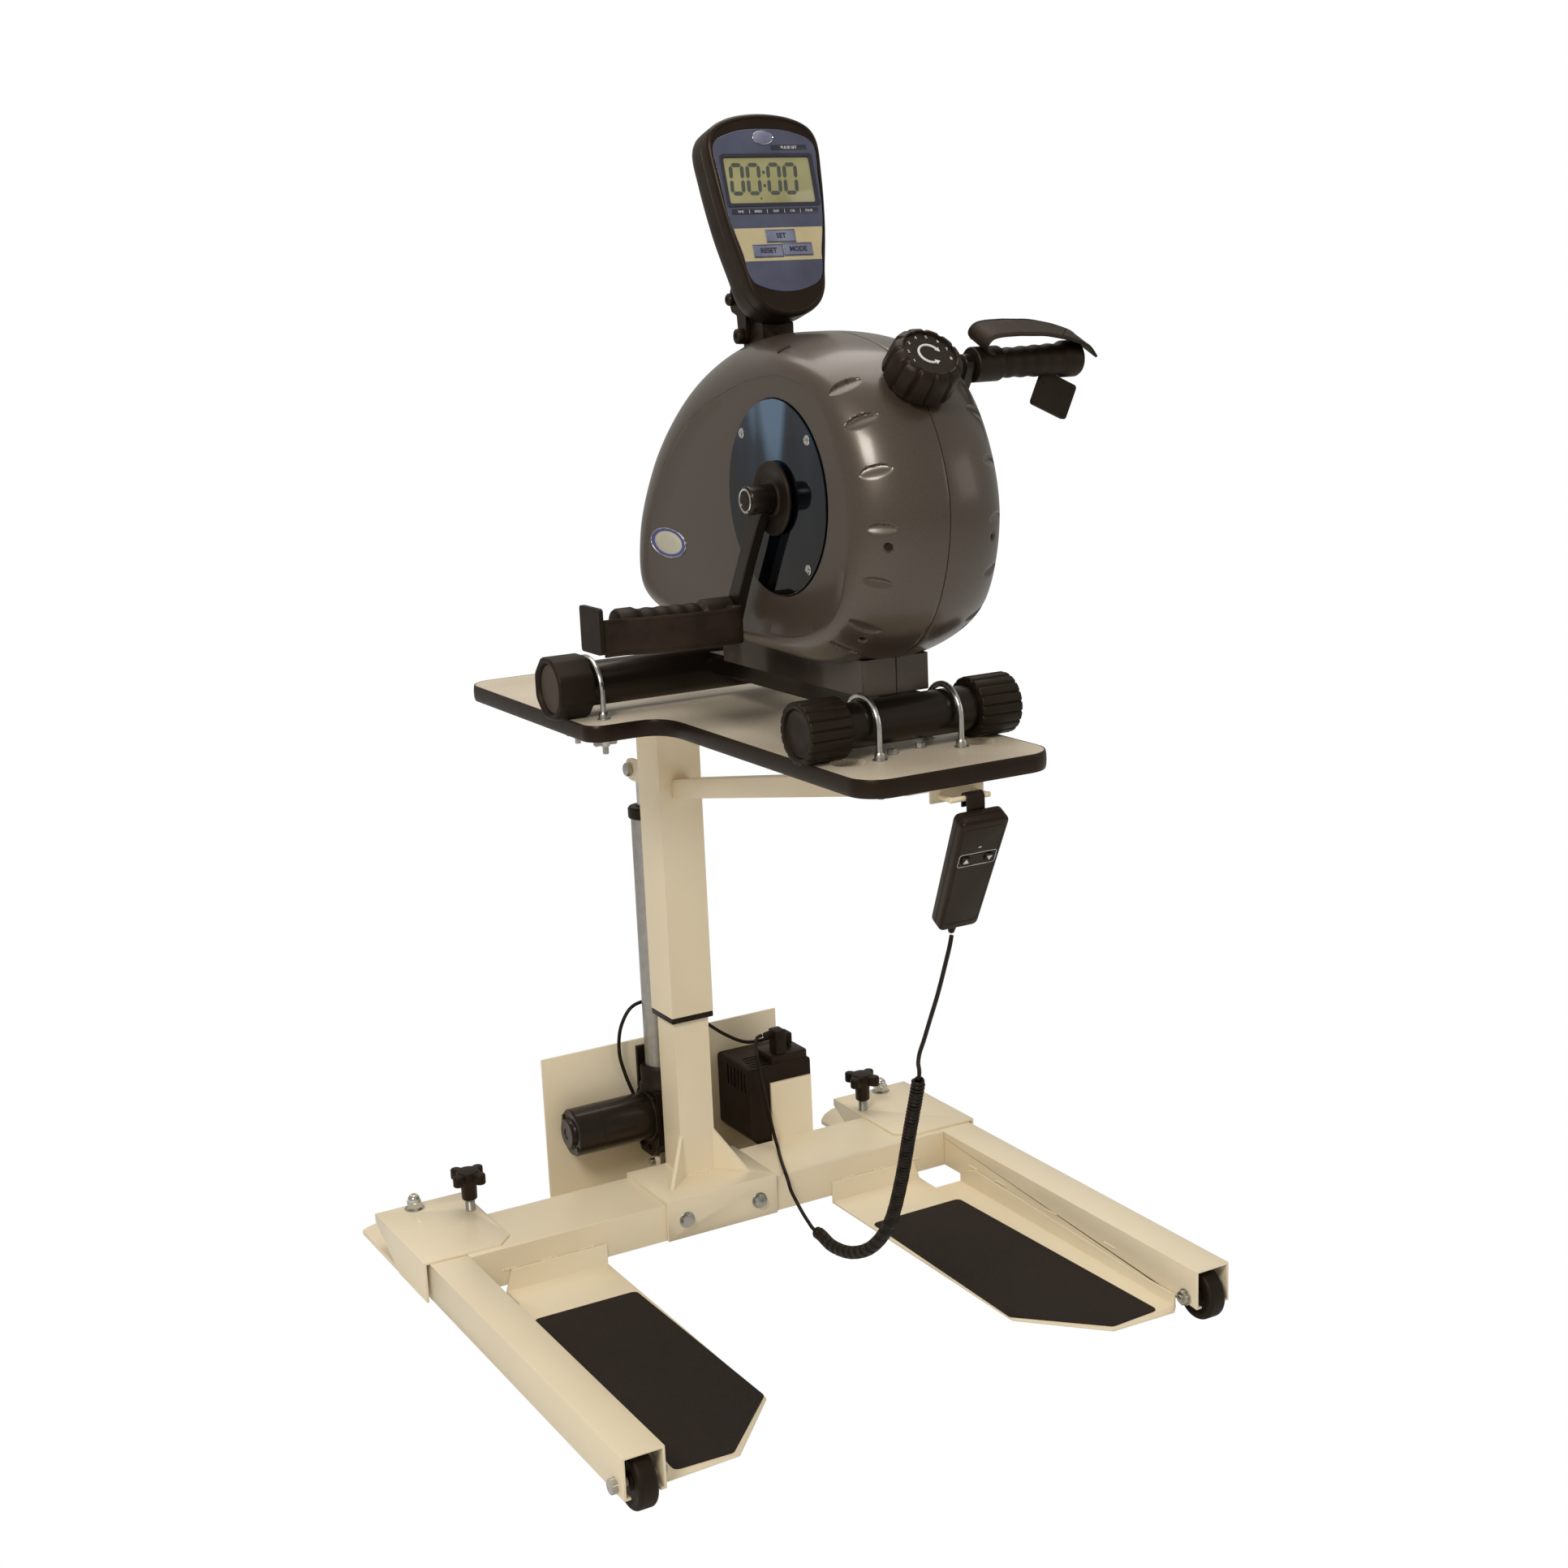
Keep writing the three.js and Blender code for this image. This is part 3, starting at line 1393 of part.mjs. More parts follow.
function belt() {
  const large = pulley_diameter / 2 + belt_clearance;
  const small = small_pulley / 2 + belt_clearance;
  const half = belt_width / 2;
  return cut(
    slab(beltOutline(large + belt_thickness, small + belt_thickness), pulley_x - half, pulley_x + half, 12),
    slab(beltOutline(large, small), pulley_x - half - overrun, pulley_x + half + overrun, 12),
  );
}

add('belt', belt(), black_rubber);

// Load knob on the front shoulder
function loadKnob() {
  const outline = ring(2 * knob_flutes, knob_diameter / 2).map(([x, y], i) => {
    const share = 1 - ((i % 2) * knob_flute_depth) / (knob_diameter / 2);
    return [x * share, y * share];
  });
  const levels = knob_level_shares.map(([height, size]) =>
    outline.map(([x, y]) => [x * size, y * size, height * knob_height]));
  const stem = rod('z', knob_stem, [-knob_stem_length, overrun], [0, 0], 16);
  return join(loft(levels), stem);
}

const knob = add('load_knob', loadKnob(), black_plastic);
knob.rotation.x = knob_tilt * degree;
knob.position.set(0, -knob_y, knob_z);

// Mast on the housing, with the cross pin that the console tilts on
function mast() {
  const half = mast_width / 2;
  const outline = [
    [-mast_front, hinge_z - mast_foot], [-mast_front, mast_top - mast_chamfer / 2],
    [mast_chamfer - mast_front, mast_top], [-hinge_y - hinge_lug, mast_top],
    [-hinge_y + hinge_lug, hinge_z + hinge_lug / 2], [-hinge_y + hinge_lug, hinge_z - mast_foot],
  ];
  const skin = housingBody(-seat_gap, -overrun);
  const pin_end = half + seat_gap + console_arm + hinge_head_height;
  const axis = [-hinge_y, hinge_z];
  return join(
    cut(slab(outline, -half, half), skin, mirrored(skin)),
    rod('x', hinge_pin, [-pin_end, pin_end], axis, 12),
    rod('x', hinge_head, [-pin_end, -pin_end + hinge_head_height - seat_gap], axis, 16),
    rod('x', hinge_head, [pin_end - hinge_head_height + seat_gap, pin_end], axis, 16),
  );
}

add('mast', mast(), black_plastic);

// Console: case, face and three keys, drawn upright with the face at y = 0, then tilted into place
function place(geometry) {
  return geometry.rotateX(-console_tilt * degree).translate(0, -console_y, console_z);
}

function consoleOutline(shares, half, low, height, grow) {
  const right = shares.map(([x, z]) => new THREE.Vector3(x * half, low + z * height, 0));
  const mirrored = shares.slice(1, -1).reverse();
  const left = mirrored.map(([x, z]) => new THREE.Vector3(-x * half, low + z * height, 0));
  const curve = new THREE.CatmullRomCurve3([...right, ...left], true, 'centripetal');
  const count = outline_steps * (right.length + left.length);
  return inset(curve.getPoints(count).slice(0, count).map((p) => [p.x, p.y]), -grow);
}

function layers(outline, steps) {
  return loft(steps.map(([y, shrink]) => inset(outline, shrink).map(([x, z]) => [x, y, z])));
}

const case_outline = consoleOutline(case_shares, console_half, -console_low, console_low + console_high, 0);
const face_outline = consoleOutline(face_shares, face_half, -face_low, face_low + face_high, 0);

function keyBlock(centre, grow, front, back) {
  const x = [centre[0] - key_width / 2 - grow, centre[0] + key_width / 2 + grow];
  const z = [centre[1] - key_height / 2 - grow, centre[1] + key_height / 2 + grow];
  return box(x, [front, back], z);
}

const recess = face_thickness + seat_gap;
const key_back = recess + seat_gap;

function consoleCase() {
  const body = layers(case_outline, [
    [0, case_bevel], [case_bevel, 0], [console_thickness - 2 * case_back_bevel, 0],
    [console_thickness - case_back_bevel, case_back_bevel / 3], [console_thickness, case_back_bevel],
  ]);
  const seat = layers(face_outline, [[-overrun, -seat_gap], [recess, -seat_gap]]);
  const pockets = keys.map(([, centre]) => keyBlock(centre, seat_gap, 0, key_back + key_travel + seat_gap));
  const shell = place(cut(body, seat, ...pockets));
  const inner = mast_width / 2 + seat_gap;
  const gusset = [
    [-hinge_y - hinge_lug, hinge_z], [-console_y, hinge_z + gusset_height - hinge_lug],
    [-console_y + hinge_lug, hinge_z + gusset_height + hinge_lug / 2],
      [-hinge_y + 2 * hinge_lug, hinge_z + gusset_height / 2],
    [-hinge_y + hinge_lug, hinge_z],
  ];
  const hole = rod('x', hinge_pin + 2 * seat_gap, [0, inner + 2 * console_arm], [-hinge_y, hinge_z], 16);
  const arm = cut(join(
    slab(gusset, inner, inner + console_arm),
    rod('x', 2 * hinge_lug, [inner, inner + console_arm], [-hinge_y, hinge_z], 20),
  ), hole);
  return join(shell, arm, mirrored(arm));
}

add('console_case', consoleCase(), black_plastic);

function consoleFace() {
  const sheet = layers(face_outline, [[0, 0], [face_thickness, 0]]);
  const holes = keys.map(([, centre]) => keyBlock(centre, seat_gap, -overrun, 2 * face_thickness));
  return place(cut(sheet, ...holes));
}

add('console_face', consoleFace(), blue_face);
keys.forEach(([name, centre]) => add(name, place(keyBlock(centre, 0, -key_rise, key_back)), key_blue));

// Hand grips that turn on the crank pins, each with a flap at its outer end and a strap over the hand
function gripBody(flap) {
  const bore = grip_pin / 2 + seat_gap;
  const inner = arm_inner + arm_bar_thickness + seat_gap;
  const outer = grip_end;
  const waist = grip_waist / 2;
  const profile = [
    [0, outer - grip_floor + seat_gap], [bore, outer - grip_floor + seat_gap], [bore, inner],
    [grip_collar / 2, inner], [grip_collar / 2, inner + grip_collar_length],
    [waist, inner + grip_collar_length + overrun], [grip_diameter / 2, outer - 2 * grip_block_length],
    [grip_diameter / 2, outer - grip_block_length - overrun], [grip_block / 2, outer - grip_block_length],
    [grip_block / 2, outer - grip_floor / 4], [grip_block / 2 - grip_floor / 4, outer], [0, outer],
  ];
  return join(turned(profile, 16).rotateY(quarter), ...flap);
}

function straightFlap() {
  const end = grip_end + flap_neck;
  return [
    box([grip_end - grip_floor / 4, end + flap_thickness / 2], [-neck_half / 2, neck_half / 2],
      [-neck_half, neck_half]),
    box([end, end + flap_thickness], [-flap_size / 2, flap_size / 2], [-flap_size / 2, flap_size / 2]),
  ];
}

function droopingFlap() {
  const half = flap_size / 2;
  const flap = box([-half, half], [-flap_thickness / 2, flap_thickness / 2],
    [-flap_size * flap_droop_share, 0])
    .rotateY(flap_lean * degree)
    .translate(grip_end - flap_back, 0, -flap_drop)
    .rotateX(-right_turn * degree);
  return [flap];
}

// A band of even thickness along a line in X and Z
function ribbon(points, thickness, width) {
  const curve = new THREE.CatmullRomCurve3(points.map(([x, z]) => new THREE.Vector3(x, z, 0)), false,
    'centripetal');
  const line = curve.getPoints(strap_steps).map((p) => [p.x, p.y]);
  const sides = [-thickness / 2, thickness / 2].map((offset) => line.map((p, i) => {
    const before = line[Math.max(i - 1, 0)];
    const after = line[Math.min(i + 1, line.length - 1)];
    const run = [after[0] - before[0], after[1] - before[1]];
    const length = Math.hypot(...run);
    return [p[0] - (offset * run[1]) / length, p[1] + (offset * run[0]) / length];
  }));
  return panel([...sides[0], ...sides[1].reverse()], -width / 2, width / 2);
}

function strap(end) {
  const inner = arm_inner + arm_bar_thickness + 2 * seat_gap + strap_thickness / 2;
  const length = grip_end - inner;
  const rise = strap_thickness / 2 + seat_gap;
  const line = strap_shares.map(([x, z]) => [inner + x * length, z * strap_height]);
  const start = [inner + strap_start, grip_collar / 2 + rise];
  const seat = [grip_end, grip_block / 2 + rise];
  return ribbon([start, ...line, seat, end], strap_thickness, strap_width);
}

const hub = new THREE.Vector3(0, -hub_y, hub_z);
const left_pin = new THREE.Vector3(0, 0, -crank_radius).applyAxisAngle(new THREE.Vector3(1, 0, 0),
  crank_lean * degree);
const left_strap_end = [grip_end + flap_neck - 4 * seat_gap, (grip_block + strap_thickness) / 2 + seat_gap];
const right_strap_end = [grip_end + strap_tip, grip_block / 4];
const grip_sides = [
  ['left', mirrored, straightFlap(), left_strap_end, hub.clone().add(left_pin), left_turn],
  ['right', (geometry) => geometry, droopingFlap(), right_strap_end, hub.clone().sub(left_pin), right_turn],
];
grip_sides.forEach(([side, hand, flap, strapEnd, centre, turn]) => {
  const pedal = new THREE.Group();
  pedal.position.copy(centre);
  pedal.rotation.x = turn * degree;
  machine.add(pedal);
  add(`grip_${side}`, hand(gripBody(flap)), black_rubber, pedal);
  const sag = side === 'left' ? -strap_drop : 0;
  add(`strap_${side}`, hand(strap(strapEnd)).translate(0, sag, 0), webbing, pedal);
});

// Handset, tapered, hanging by its hook from the wire loop
const handset = new THREE.Group();
handset.position.set(handset_x, -handset_y, handset_z);
handset.rotation.set(handset_tilt * degree, handset_roll * degree, handset_yaw * degree, 'ZXY');
machine.add(handset);
handset.updateMatrixWorld(true);

const button_places = [
  ['button_up', -handset_button_spread / 2],
  ['button_down', handset_button_spread / 2],
];

function handsetBody() {
  const half = handset_length / 2;
  const corner = handset_corner;
  const top = handset_top_width / 2;
  const low = handset_bottom_width / 2;
  const outline = [
    [corner - low, -half], [low - corner, -half], [low - corner / 4, corner / 4 - half],
      [low, corner - half],
    [top, half - corner], [top - corner / 4, half - corner / 4], [top - corner, half],
    [corner - top, half], [corner / 4 - top, half - corner / 4], [-top, half - corner],
    [-low, corner - half], [corner / 4 - low, corner / 4 - half],
  ];
  const depth = handset_thickness / 2;
  const bevel = handset_bevel;
  const body = layers(outline, [[-depth, bevel], [bevel - depth, 0], [depth - bevel, 0], [depth, bevel]]);
  const boot = rod('z', handset_boot_tip, [-half - handset_boot_length, -half + overrun], [0, 0], 12,
    handset_boot);
  const pockets = button_places.map(([, x]) =>
    rod('y', handset_button + 2 * seat_gap, [-depth - overrun, -depth + handset_pocket],
      [x, handset_button_up], 12));
  return cut(join(body, boot), ...pockets);
}

// The hook is upright, so it is drawn in the machine's frame and brought into the handset's
function handsetHook() {
  const wire_y = -hanger_y - hanger_loop;
  const wire_z = board_bottom - hanger_wire_drop;
  const inner = hanger_wire / 2 + seat_gap;
  const outer = inner + handset_hook;
  const outline = new THREE.Shape();
  outline.moveTo(wire_y + inner, wire_z - hook_back);
  outline.lineTo(wire_y + outer, wire_z - hook_back);
  outline.absarc(wire_y, wire_z, outer, 0, Math.PI, false);
  outline.lineTo(wire_y - outer, wire_z - hook_front);
  outline.lineTo(wire_y - inner, wire_z - hook_front);
  outline.absarc(wire_y, wire_z, inner, Math.PI, 0, true);
  const hook = slab(outline, hook_middle - handset_hook_width / 2, hook_middle + handset_hook_width / 2);
  const home = new THREE.Matrix4().compose(handset.position, handset.quaternion, handset.scale).invert();
  return hook.applyMatrix4(home);
}

add('handset', join(handsetBody(), handsetHook()), black_plastic, handset);
button_places.forEach(([name, x]) => {
  const front = -handset_thickness / 2;
  const button = rod('y', handset_button, [front - handset_button_height,
    front + handset_pocket - key_travel - seat_gap],
    [x, handset_button_up], 12);
  add(name, button, zinc, handset);
});

// Cords
add('box_lead', tube(box_lead_route, cord_diameter, 7, 30), black_rubber);
add('handset_lead', tube(handset_lead_route, cord_diameter, 8, 14), black_rubber);

// A curly cord: a helix round a hand-chosen line, with a straight stretch at each end
function curlyCord() {
  const line = new THREE.CatmullRomCurve3(curly_route.map(vector), false, 'centripetal');
  const length = line.getLength();
  const radius = (curl_diameter - curl_cord) / 2;
  const total = curl_count * curl_steps;
  const lead = curl_cord / length;
  const middles = [line.getPointAt(0)];
  const across = [];
  let normal = new THREE.Vector3(1, 0, 0);
  for (let i = 0; i <= total; i += 1) {
    const share = lead + (1 - 2 * lead) * (i / total);
    const heading = line.getTangentAt(share);
    normal = normal.clone().addScaledVector(heading, -normal.dot(heading)).normalize();
    const other = heading.clone().cross(normal);
    const angle = (i / curl_steps) * 2 * Math.PI;
    const spoke = normal.clone().multiplyScalar(Math.cos(angle)).addScaledVector(other, Math.sin(angle));
    const near = Math.min(i, total - i) / curl_steps;
    const ramp = Math.min(near, 1);
    const swell = ramp * ramp * (3 - 2 * ramp);
    middles.push(line.getPointAt(share).addScaledVector(spoke, radius * swell));
    across.push(spoke);
  }
  middles.push(line.getPointAt(1));
  across.unshift(across[0]);
  across.push(across[across.length - 1]);
  const places = [];
  middles.forEach((middle, i) => {
    const before = middles[Math.max(i - 1, 0)];
    const after = middles[Math.min(i + 1, middles.length - 1)];
    const heading = after.clone().sub(before).normalize();
    const first = across[i].clone().addScaledVector(heading, -across[i].dot(heading)).normalize();
    const second = heading.clone().cross(first);
    ring(curl_sides, curl_cord / 2).forEach(([a, b]) => {
      const point = middle.clone().addScaledVector(first, a).addScaledVector(second, b);
      places.push(point.x, point.y, point.z);
    });
  });
  const faces = [];
  for (let i = 0; i < middles.length - 1; i += 1) {
    for (let k = 0; k < curl_sides; k += 1) {
      const a = i * curl_sides + k;
      const b = i * curl_sides + ((k + 1) % curl_sides);
      faces.push(a, b, b + curl_sides, a, b + curl_sides, a + curl_sides);
    }
  }
  const last = (middles.length - 1) * curl_sides;
  for (let k = 1; k < curl_sides - 1; k += 1) {
    faces.push(0, k + 1, k, last, last + k, last + k + 1);
  }
  const apart = Math.ceil(curl_steps / 2);
  let least = Infinity;
  middles.forEach((from, i) => {
    for (let j = i + apart; j < Math.min(i + 3 * curl_steps, middles.length); j += 1) {
      least = Math.min(least, from.distanceTo(middles[j]) - curl_cord);
    }
  });
  console.log(`curly cord: least gap between its curls ${least.toFixed(2)} mm`);
  const geometry = new THREE.BufferGeometry();
  geometry.setAttribute('position', new THREE.BufferAttribute(new Float32Array(places), 3));
  geometry.setIndex(faces);
  return outward(geometry);
}

add('curly_cord', curlyCord(), black_rubber);

export default machine;
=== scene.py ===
"""Arm ergometer on an electric height-adjustable table stand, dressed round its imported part."""
import json
import math

import bmesh
import bpy
from mathutils import Matrix, Vector, noise

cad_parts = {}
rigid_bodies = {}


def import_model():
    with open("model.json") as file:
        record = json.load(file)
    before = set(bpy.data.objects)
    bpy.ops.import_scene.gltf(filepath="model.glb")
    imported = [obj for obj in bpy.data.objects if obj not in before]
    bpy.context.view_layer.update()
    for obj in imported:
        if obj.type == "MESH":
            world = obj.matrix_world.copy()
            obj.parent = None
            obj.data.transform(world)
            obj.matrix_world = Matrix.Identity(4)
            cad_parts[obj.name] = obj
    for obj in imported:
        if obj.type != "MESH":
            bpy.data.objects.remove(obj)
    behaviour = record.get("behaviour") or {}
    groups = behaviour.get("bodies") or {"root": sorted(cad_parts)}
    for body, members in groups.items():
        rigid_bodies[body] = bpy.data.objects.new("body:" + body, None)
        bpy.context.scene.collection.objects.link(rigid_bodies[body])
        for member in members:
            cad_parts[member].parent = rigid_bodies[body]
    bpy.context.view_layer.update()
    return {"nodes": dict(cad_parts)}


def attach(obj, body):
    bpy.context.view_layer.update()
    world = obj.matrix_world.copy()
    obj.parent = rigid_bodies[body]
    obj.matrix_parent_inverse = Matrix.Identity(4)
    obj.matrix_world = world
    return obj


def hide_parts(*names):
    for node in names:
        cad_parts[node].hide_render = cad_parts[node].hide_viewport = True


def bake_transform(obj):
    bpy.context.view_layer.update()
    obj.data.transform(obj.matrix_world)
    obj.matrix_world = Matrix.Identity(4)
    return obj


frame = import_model()
noise.seed_set(1)  # the same weld beads on every run

# Measures: shapes are drawn in the column's millimetres and brought into the frame's metres
MM = 0.001
COLUMN_BEHIND_MIDDLE = 264.6
HUB_Y, HUB_Z = -480, 1032
TO_FRAME = Matrix.Scale(MM, 4) @ Matrix.Translation((0, COLUMN_BEHIND_MIDDLE, 0))
FULL_TURN = 2 * math.pi
QUARTER = math.pi / 2
MERGE_TURNED, MERGE_DRAWN, MERGE_SOLID = 0.0005, 0.000002, 0.00002
HANDS = ((1, "right"), (-1, "left"))


def turn(degrees, axis):
    return Matrix.Rotation(math.radians(degrees), 4, axis)


def shift(x, y, z):
    return Matrix.Translation((x, y, z))


def outward(hand, x, y, z):
    """Places what is drawn along Z so that it looks out to one hand."""
    return shift(x, y, z) @ turn(90 * hand, "Y")


def forward(x, y, z):
    """Places what is drawn along Z so that it looks to the front."""
    return shift(x, y, z) @ turn(90, "X")


def polar(radius, degrees, across=0, high=0):
    angle = math.radians(degrees)
    return across + radius * math.cos(angle), high + radius * math.sin(angle)


def smooth_step(t):
    t = max(0.0, min(1.0, t))
    return t * t * (3 - 2 * t)


def linked(name, data):
    made = bpy.data.objects.new(name, data)
    bpy.context.collection.objects.link(made)
    return made


# Camera, at the photograph's viewing angle
AZIMUTH, ELEVATION, ROLL = (math.radians(a) for a in (-29.14614, 12.89631, -2.46130))
CAMERA_PLACE = (-1.2336, -2.2567, 1.2535)
back = Vector((math.sin(AZIMUTH) * math.cos(ELEVATION), -math.cos(AZIMUTH) * math.cos(ELEVATION),
               math.sin(ELEVATION)))
level = Vector((math.cos(AZIMUTH), math.sin(AZIMUTH), 0))
upright = back.cross(level)
right = level * math.cos(ROLL) + upright * math.sin(ROLL)
up = upright * math.cos(ROLL) - level * math.sin(ROLL)
lens = bpy.data.cameras.new("camera")
lens.sensor_width = 36
lens.lens = 49.971
lens.clip_end = 60
camera = linked("camera", lens)
camera.matrix_world = Matrix.Translation(CAMERA_PLACE) @ Matrix((right, up, back)).transposed().to_4x4()
bpy.context.scene.camera = camera


# Finishes
def linear(colour):
    """A colour of 0 to 255, as linear light with full cover."""
    return tuple((c / 255 / 12.92) if c < 10.3 else ((c / 255 + 0.055) / 1.055) ** 2.4 for c in colour) + (1,)


def step(made, kind, inputs=None, **settings):
    """Adds one shader node to a material or a world; an input is a value or another node's output."""
    tree = made.node_tree
    added = tree.nodes.new("ShaderNode" + kind)
    for key, value in settings.items():
        setattr(added, key, value)
    for key, value in (inputs or {}).items():
        if isinstance(value, bpy.types.NodeSocket):
            tree.links.new(value, added.inputs[key])
        else:
            added.inputs[key].default_value = value
    return added


def shader_of(made):
    return made.node_tree.nodes["Principled BSDF"]


def fed(made, output, socket):
    made.node_tree.links.new(output, shader_of(made).inputs[socket])


def finish(name, colour, roughness, **sockets):
    made = bpy.data.materials.new(name)
    made.use_nodes = True
    shader = shader_of(made)
    shader.inputs["Base Color"].default_value = linear(colour)
    shader.inputs["Roughness"].default_value = roughness
    for key, value in sockets.items():
        shader.inputs[key.replace("_", " ")].default_value = value
    made.diffuse_color = linear(colour)
    return made


def place_of(made):
    return step(made, "TexCoord").outputs["Object"]


def speck(made, scale, detail=2.0, vector=None):
    """Noise over the object, in features of about 1/scale metres."""
    inputs = {"Vector": vector or place_of(made), "Scale": scale, "Detail": detail, "Roughness": 0.5}
    return step(made, "TexNoise", inputs).outputs["Fac"]


def ramp(made, factor, stops):
    added = step(made, "ValToRGB", {"Fac": factor})
    band = added.color_ramp
    while len(band.elements) < len(stops):
        band.elements.new(0.5)
    for element, (where, colour) in zip(band.elements, stops):
        element.position = where
        element.color = linear(colour)
    return added.outputs["Color"]


def tint(made, factor, *stops):
    fed(made, ramp(made, factor, stops), "Base Color")


def spread(made, factor, low, high, start=0.0, end=1.0):
    values = {"Value": factor, "From Min": start, "From Max": end, "To Min": low, "To Max": high}
    return step(made, "MapRange", values).outputs["Result"]


def gloss(made, factor, low, high):
    fed(made, spread(made, factor, low, high), "Roughness")


def relief(made, *heights):
    """Bumps, each a (height output, strength, depth in millimetres), one over the other."""
    normal = None
    for height, strength, depth in heights:
        inputs = {"Height": height, "Strength": strength, "Distance": depth * MM}
        if normal:
            inputs["Normal"] = normal
        normal = step(made, "Bump", inputs).outputs["Normal"]
    fed(made, normal, "Normal")


def surface(name, colour, roughness, patches, stops, wear, shine, bumps, **sockets):
    """A finish that varies over the object, with noises for its colour, its gloss and its bumps."""
    made = finish(name, colour, roughness, **sockets)
    tint(made, speck(made, *patches), *stops)
    if wear:
        gloss(made, speck(made, *wear), *shine)
    relief(made, *((speck(made, *grain), strength, depth) for grain, strength, depth in bumps))
    return made


WARM = (1, 0.82, 0.66, 1)


def black_plastic(name, colour=(22, 14, 9), roughness=0.42, grain=0.35):
    lighter = tuple(c + 8 for c in colour)
    return surface(name, colour, roughness, (30, 4), [(0.3, colour), (0.75, lighter)], (55, 3),
                   (roughness - 0.07, roughness + 0.09), [((1500, 2), grain, 0.25)],
                   Specular_IOR_Level=0.27, Specular_Tint=WARM)


def bright_metal(name, colour, roughness, brushed=0.0):
    made = finish(name, colour, roughness, Metallic=1.0)
    stretch = step(made, "Mapping", {"Vector": place_of(made), "Scale": (1, 1, 0.03 if brushed else 1)})
    lines = speck(made, 900, 3, stretch.outputs["Vector"])
    darker = tuple(int(c * 0.93) for c in colour)
    tint(made, speck(made, 90, 4), (0.3, darker), (0.7, colour))
    gloss(made, lines, max(roughness - 0.08, 0.05), roughness + 0.12)
    relief(made, (lines, 0.08 + brushed, 0.1))
    return made


def speckled_laminate():
    made = finish("speckled beige laminate", (214, 201, 180), 0.48, Specular_IOR_Level=0.4)
    dark = ramp(made, speck(made, 950, 2), [(0.38, (178, 166, 146)), (0.5, (216, 206, 188)),
                                            (0.66, (228, 220, 205))])
    broad = ramp(made, speck(made, 7, 4), [(0.3, (236, 232, 226)), (0.7, (255, 253, 250))])
    mixed = step(made, "Mix", {0: 1.0, 6: dark, 7: broad}, data_type="RGBA", blend_type="MULTIPLY")
    fed(made, mixed.outputs[2], "Base Color")
    gloss(made, speck(made, 40, 3), 0.42, 0.56)
    relief(made, (speck(made, 700, 2), 0.12, 0.15))
    return made


def smoked_blue_glass():
    """Dark mirrored blue, with painted reflections in its colour: lighter towards the top, in an upright
    wedge near the hub and in soft blotches.
    """
    made = finish("smoked blue window", (30, 50, 66), 0.06, Metallic=0.85, Coat_Weight=0.5,
                  Coat_Roughness=0.02)
    place = place_of(made)
    parts = step(made, "SeparateXYZ", {0: place})
    # Painted reflection: the pane's colour gets lighter towards its top, in an upright wedge near the hub
    # line and in soft stretched blotches.
    rise = spread(made, parts.outputs["Z"], 0, 1, 0.92, 1.13)
    away = step(made, "Math", {0: parts.outputs["Y"], 1: (HUB_Y + COLUMN_BEHIND_MIDDLE) * MM},
                operation="SUBTRACT")
    away = step(made, "Math", {0: away.outputs[0]}, operation="ABSOLUTE")
    reflection_wedge = spread(made, away.outputs[0], 0.4, 0.0, 0.008, 0.034)
    stretch = step(made, "Mapping", {"Vector": place, "Scale": (1, 1, 0.3)})
    reflection_blotches = speck(made, 22, 1, stretch.outputs["Vector"])
    blotches_and_wedge = step(made, "Math", {0: reflection_blotches, 1: 0.7, 2: reflection_wedge}, operation="MULTIPLY_ADD")
    painted_reflection = step(made, "Math", {0: rise, 1: blotches_and_wedge.outputs[0]}, operation="MULTIPLY")
    tint(made, painted_reflection.outputs[0], (0.06, (9, 12, 16)), (0.24, (20, 32, 46)), (0.38, (36, 58, 80)),
         (0.62, (112, 142, 174)))
    gloss(made, speck(made, 40, 2), 0.04, 0.1)
    relief(made, (speck(made, 30, 1), 0.02, 0.3))
    return made


def printed_panel(name, low, high, roughness=0.34):
    return surface(name, high, roughness, (26, 3), [(0.25, low), (0.75, high)], None, None,
                   [((1300, 1), 0.06, 0.1)], Coat_Weight=0.2, Coat_Roughness=0.2)


def grit_mat():
    made = finish("black grit mat", (34, 25, 20), 0.85, Specular_IOR_Level=0.35)
    grains = step(made, "TexVoronoi", {"Vector": place_of(made), "Scale": 900.0}).outputs["Distance"]
    tint(made, speck(made, 1400, 2), (0.42, (24, 17, 13)), (0.6, (42, 31, 25)), (0.8, (72, 58, 48)))
    gloss(made, speck(made, 8, 4), 0.75, 0.95)
    relief(made, (grains, 0.6, 0.5), (speck(made, 2200, 2), 0.4, 0.3))
    return made


CREAM = (surface("cream powder coat", (238, 224, 194), 0.36, (4, 4),
                 [(0.3, (233, 218, 187)), (0.7, (242, 229, 201))], (14, 3), (0.3, 0.44),
                 [((420, 1), 0.12, 0.4), ((60, 2), 0.06, 0.5)], Coat_Weight=0.25, Coat_Roughness=0.2),
         "cream_paint")
GREY = (surface("metallic grey housing plastic", (82, 73, 65), 0.34, (2600, 1), [(0.35, (66, 57, 49)),
                (0.65, (87, 76, 66))], (18, 3), (0.3, 0.4), [((900, 1), 0.05, 0.15), ((16, 1), 0.05, 0.6)],
                Metallic=0.35, Coat_Weight=0.45, Coat_Roughness=0.16), "housing_grey")
PLASTIC = (black_plastic("grained black plastic"), "black_plastic")
SATIN = (black_plastic("satin black plastic", (26, 17, 11), 0.34, 0.12), "black_plastic")
RUBBER = (black_plastic("black rubber", (22, 15, 10), 0.5, 0.3), "black_rubber")
CORD = (black_plastic("cord sheath", (17, 13, 11), 0.38, 0.1), "black_rubber")
CAP_END = (black_plastic("worn cap end", (66, 57, 49), 0.42, 0.2), "black_rubber")
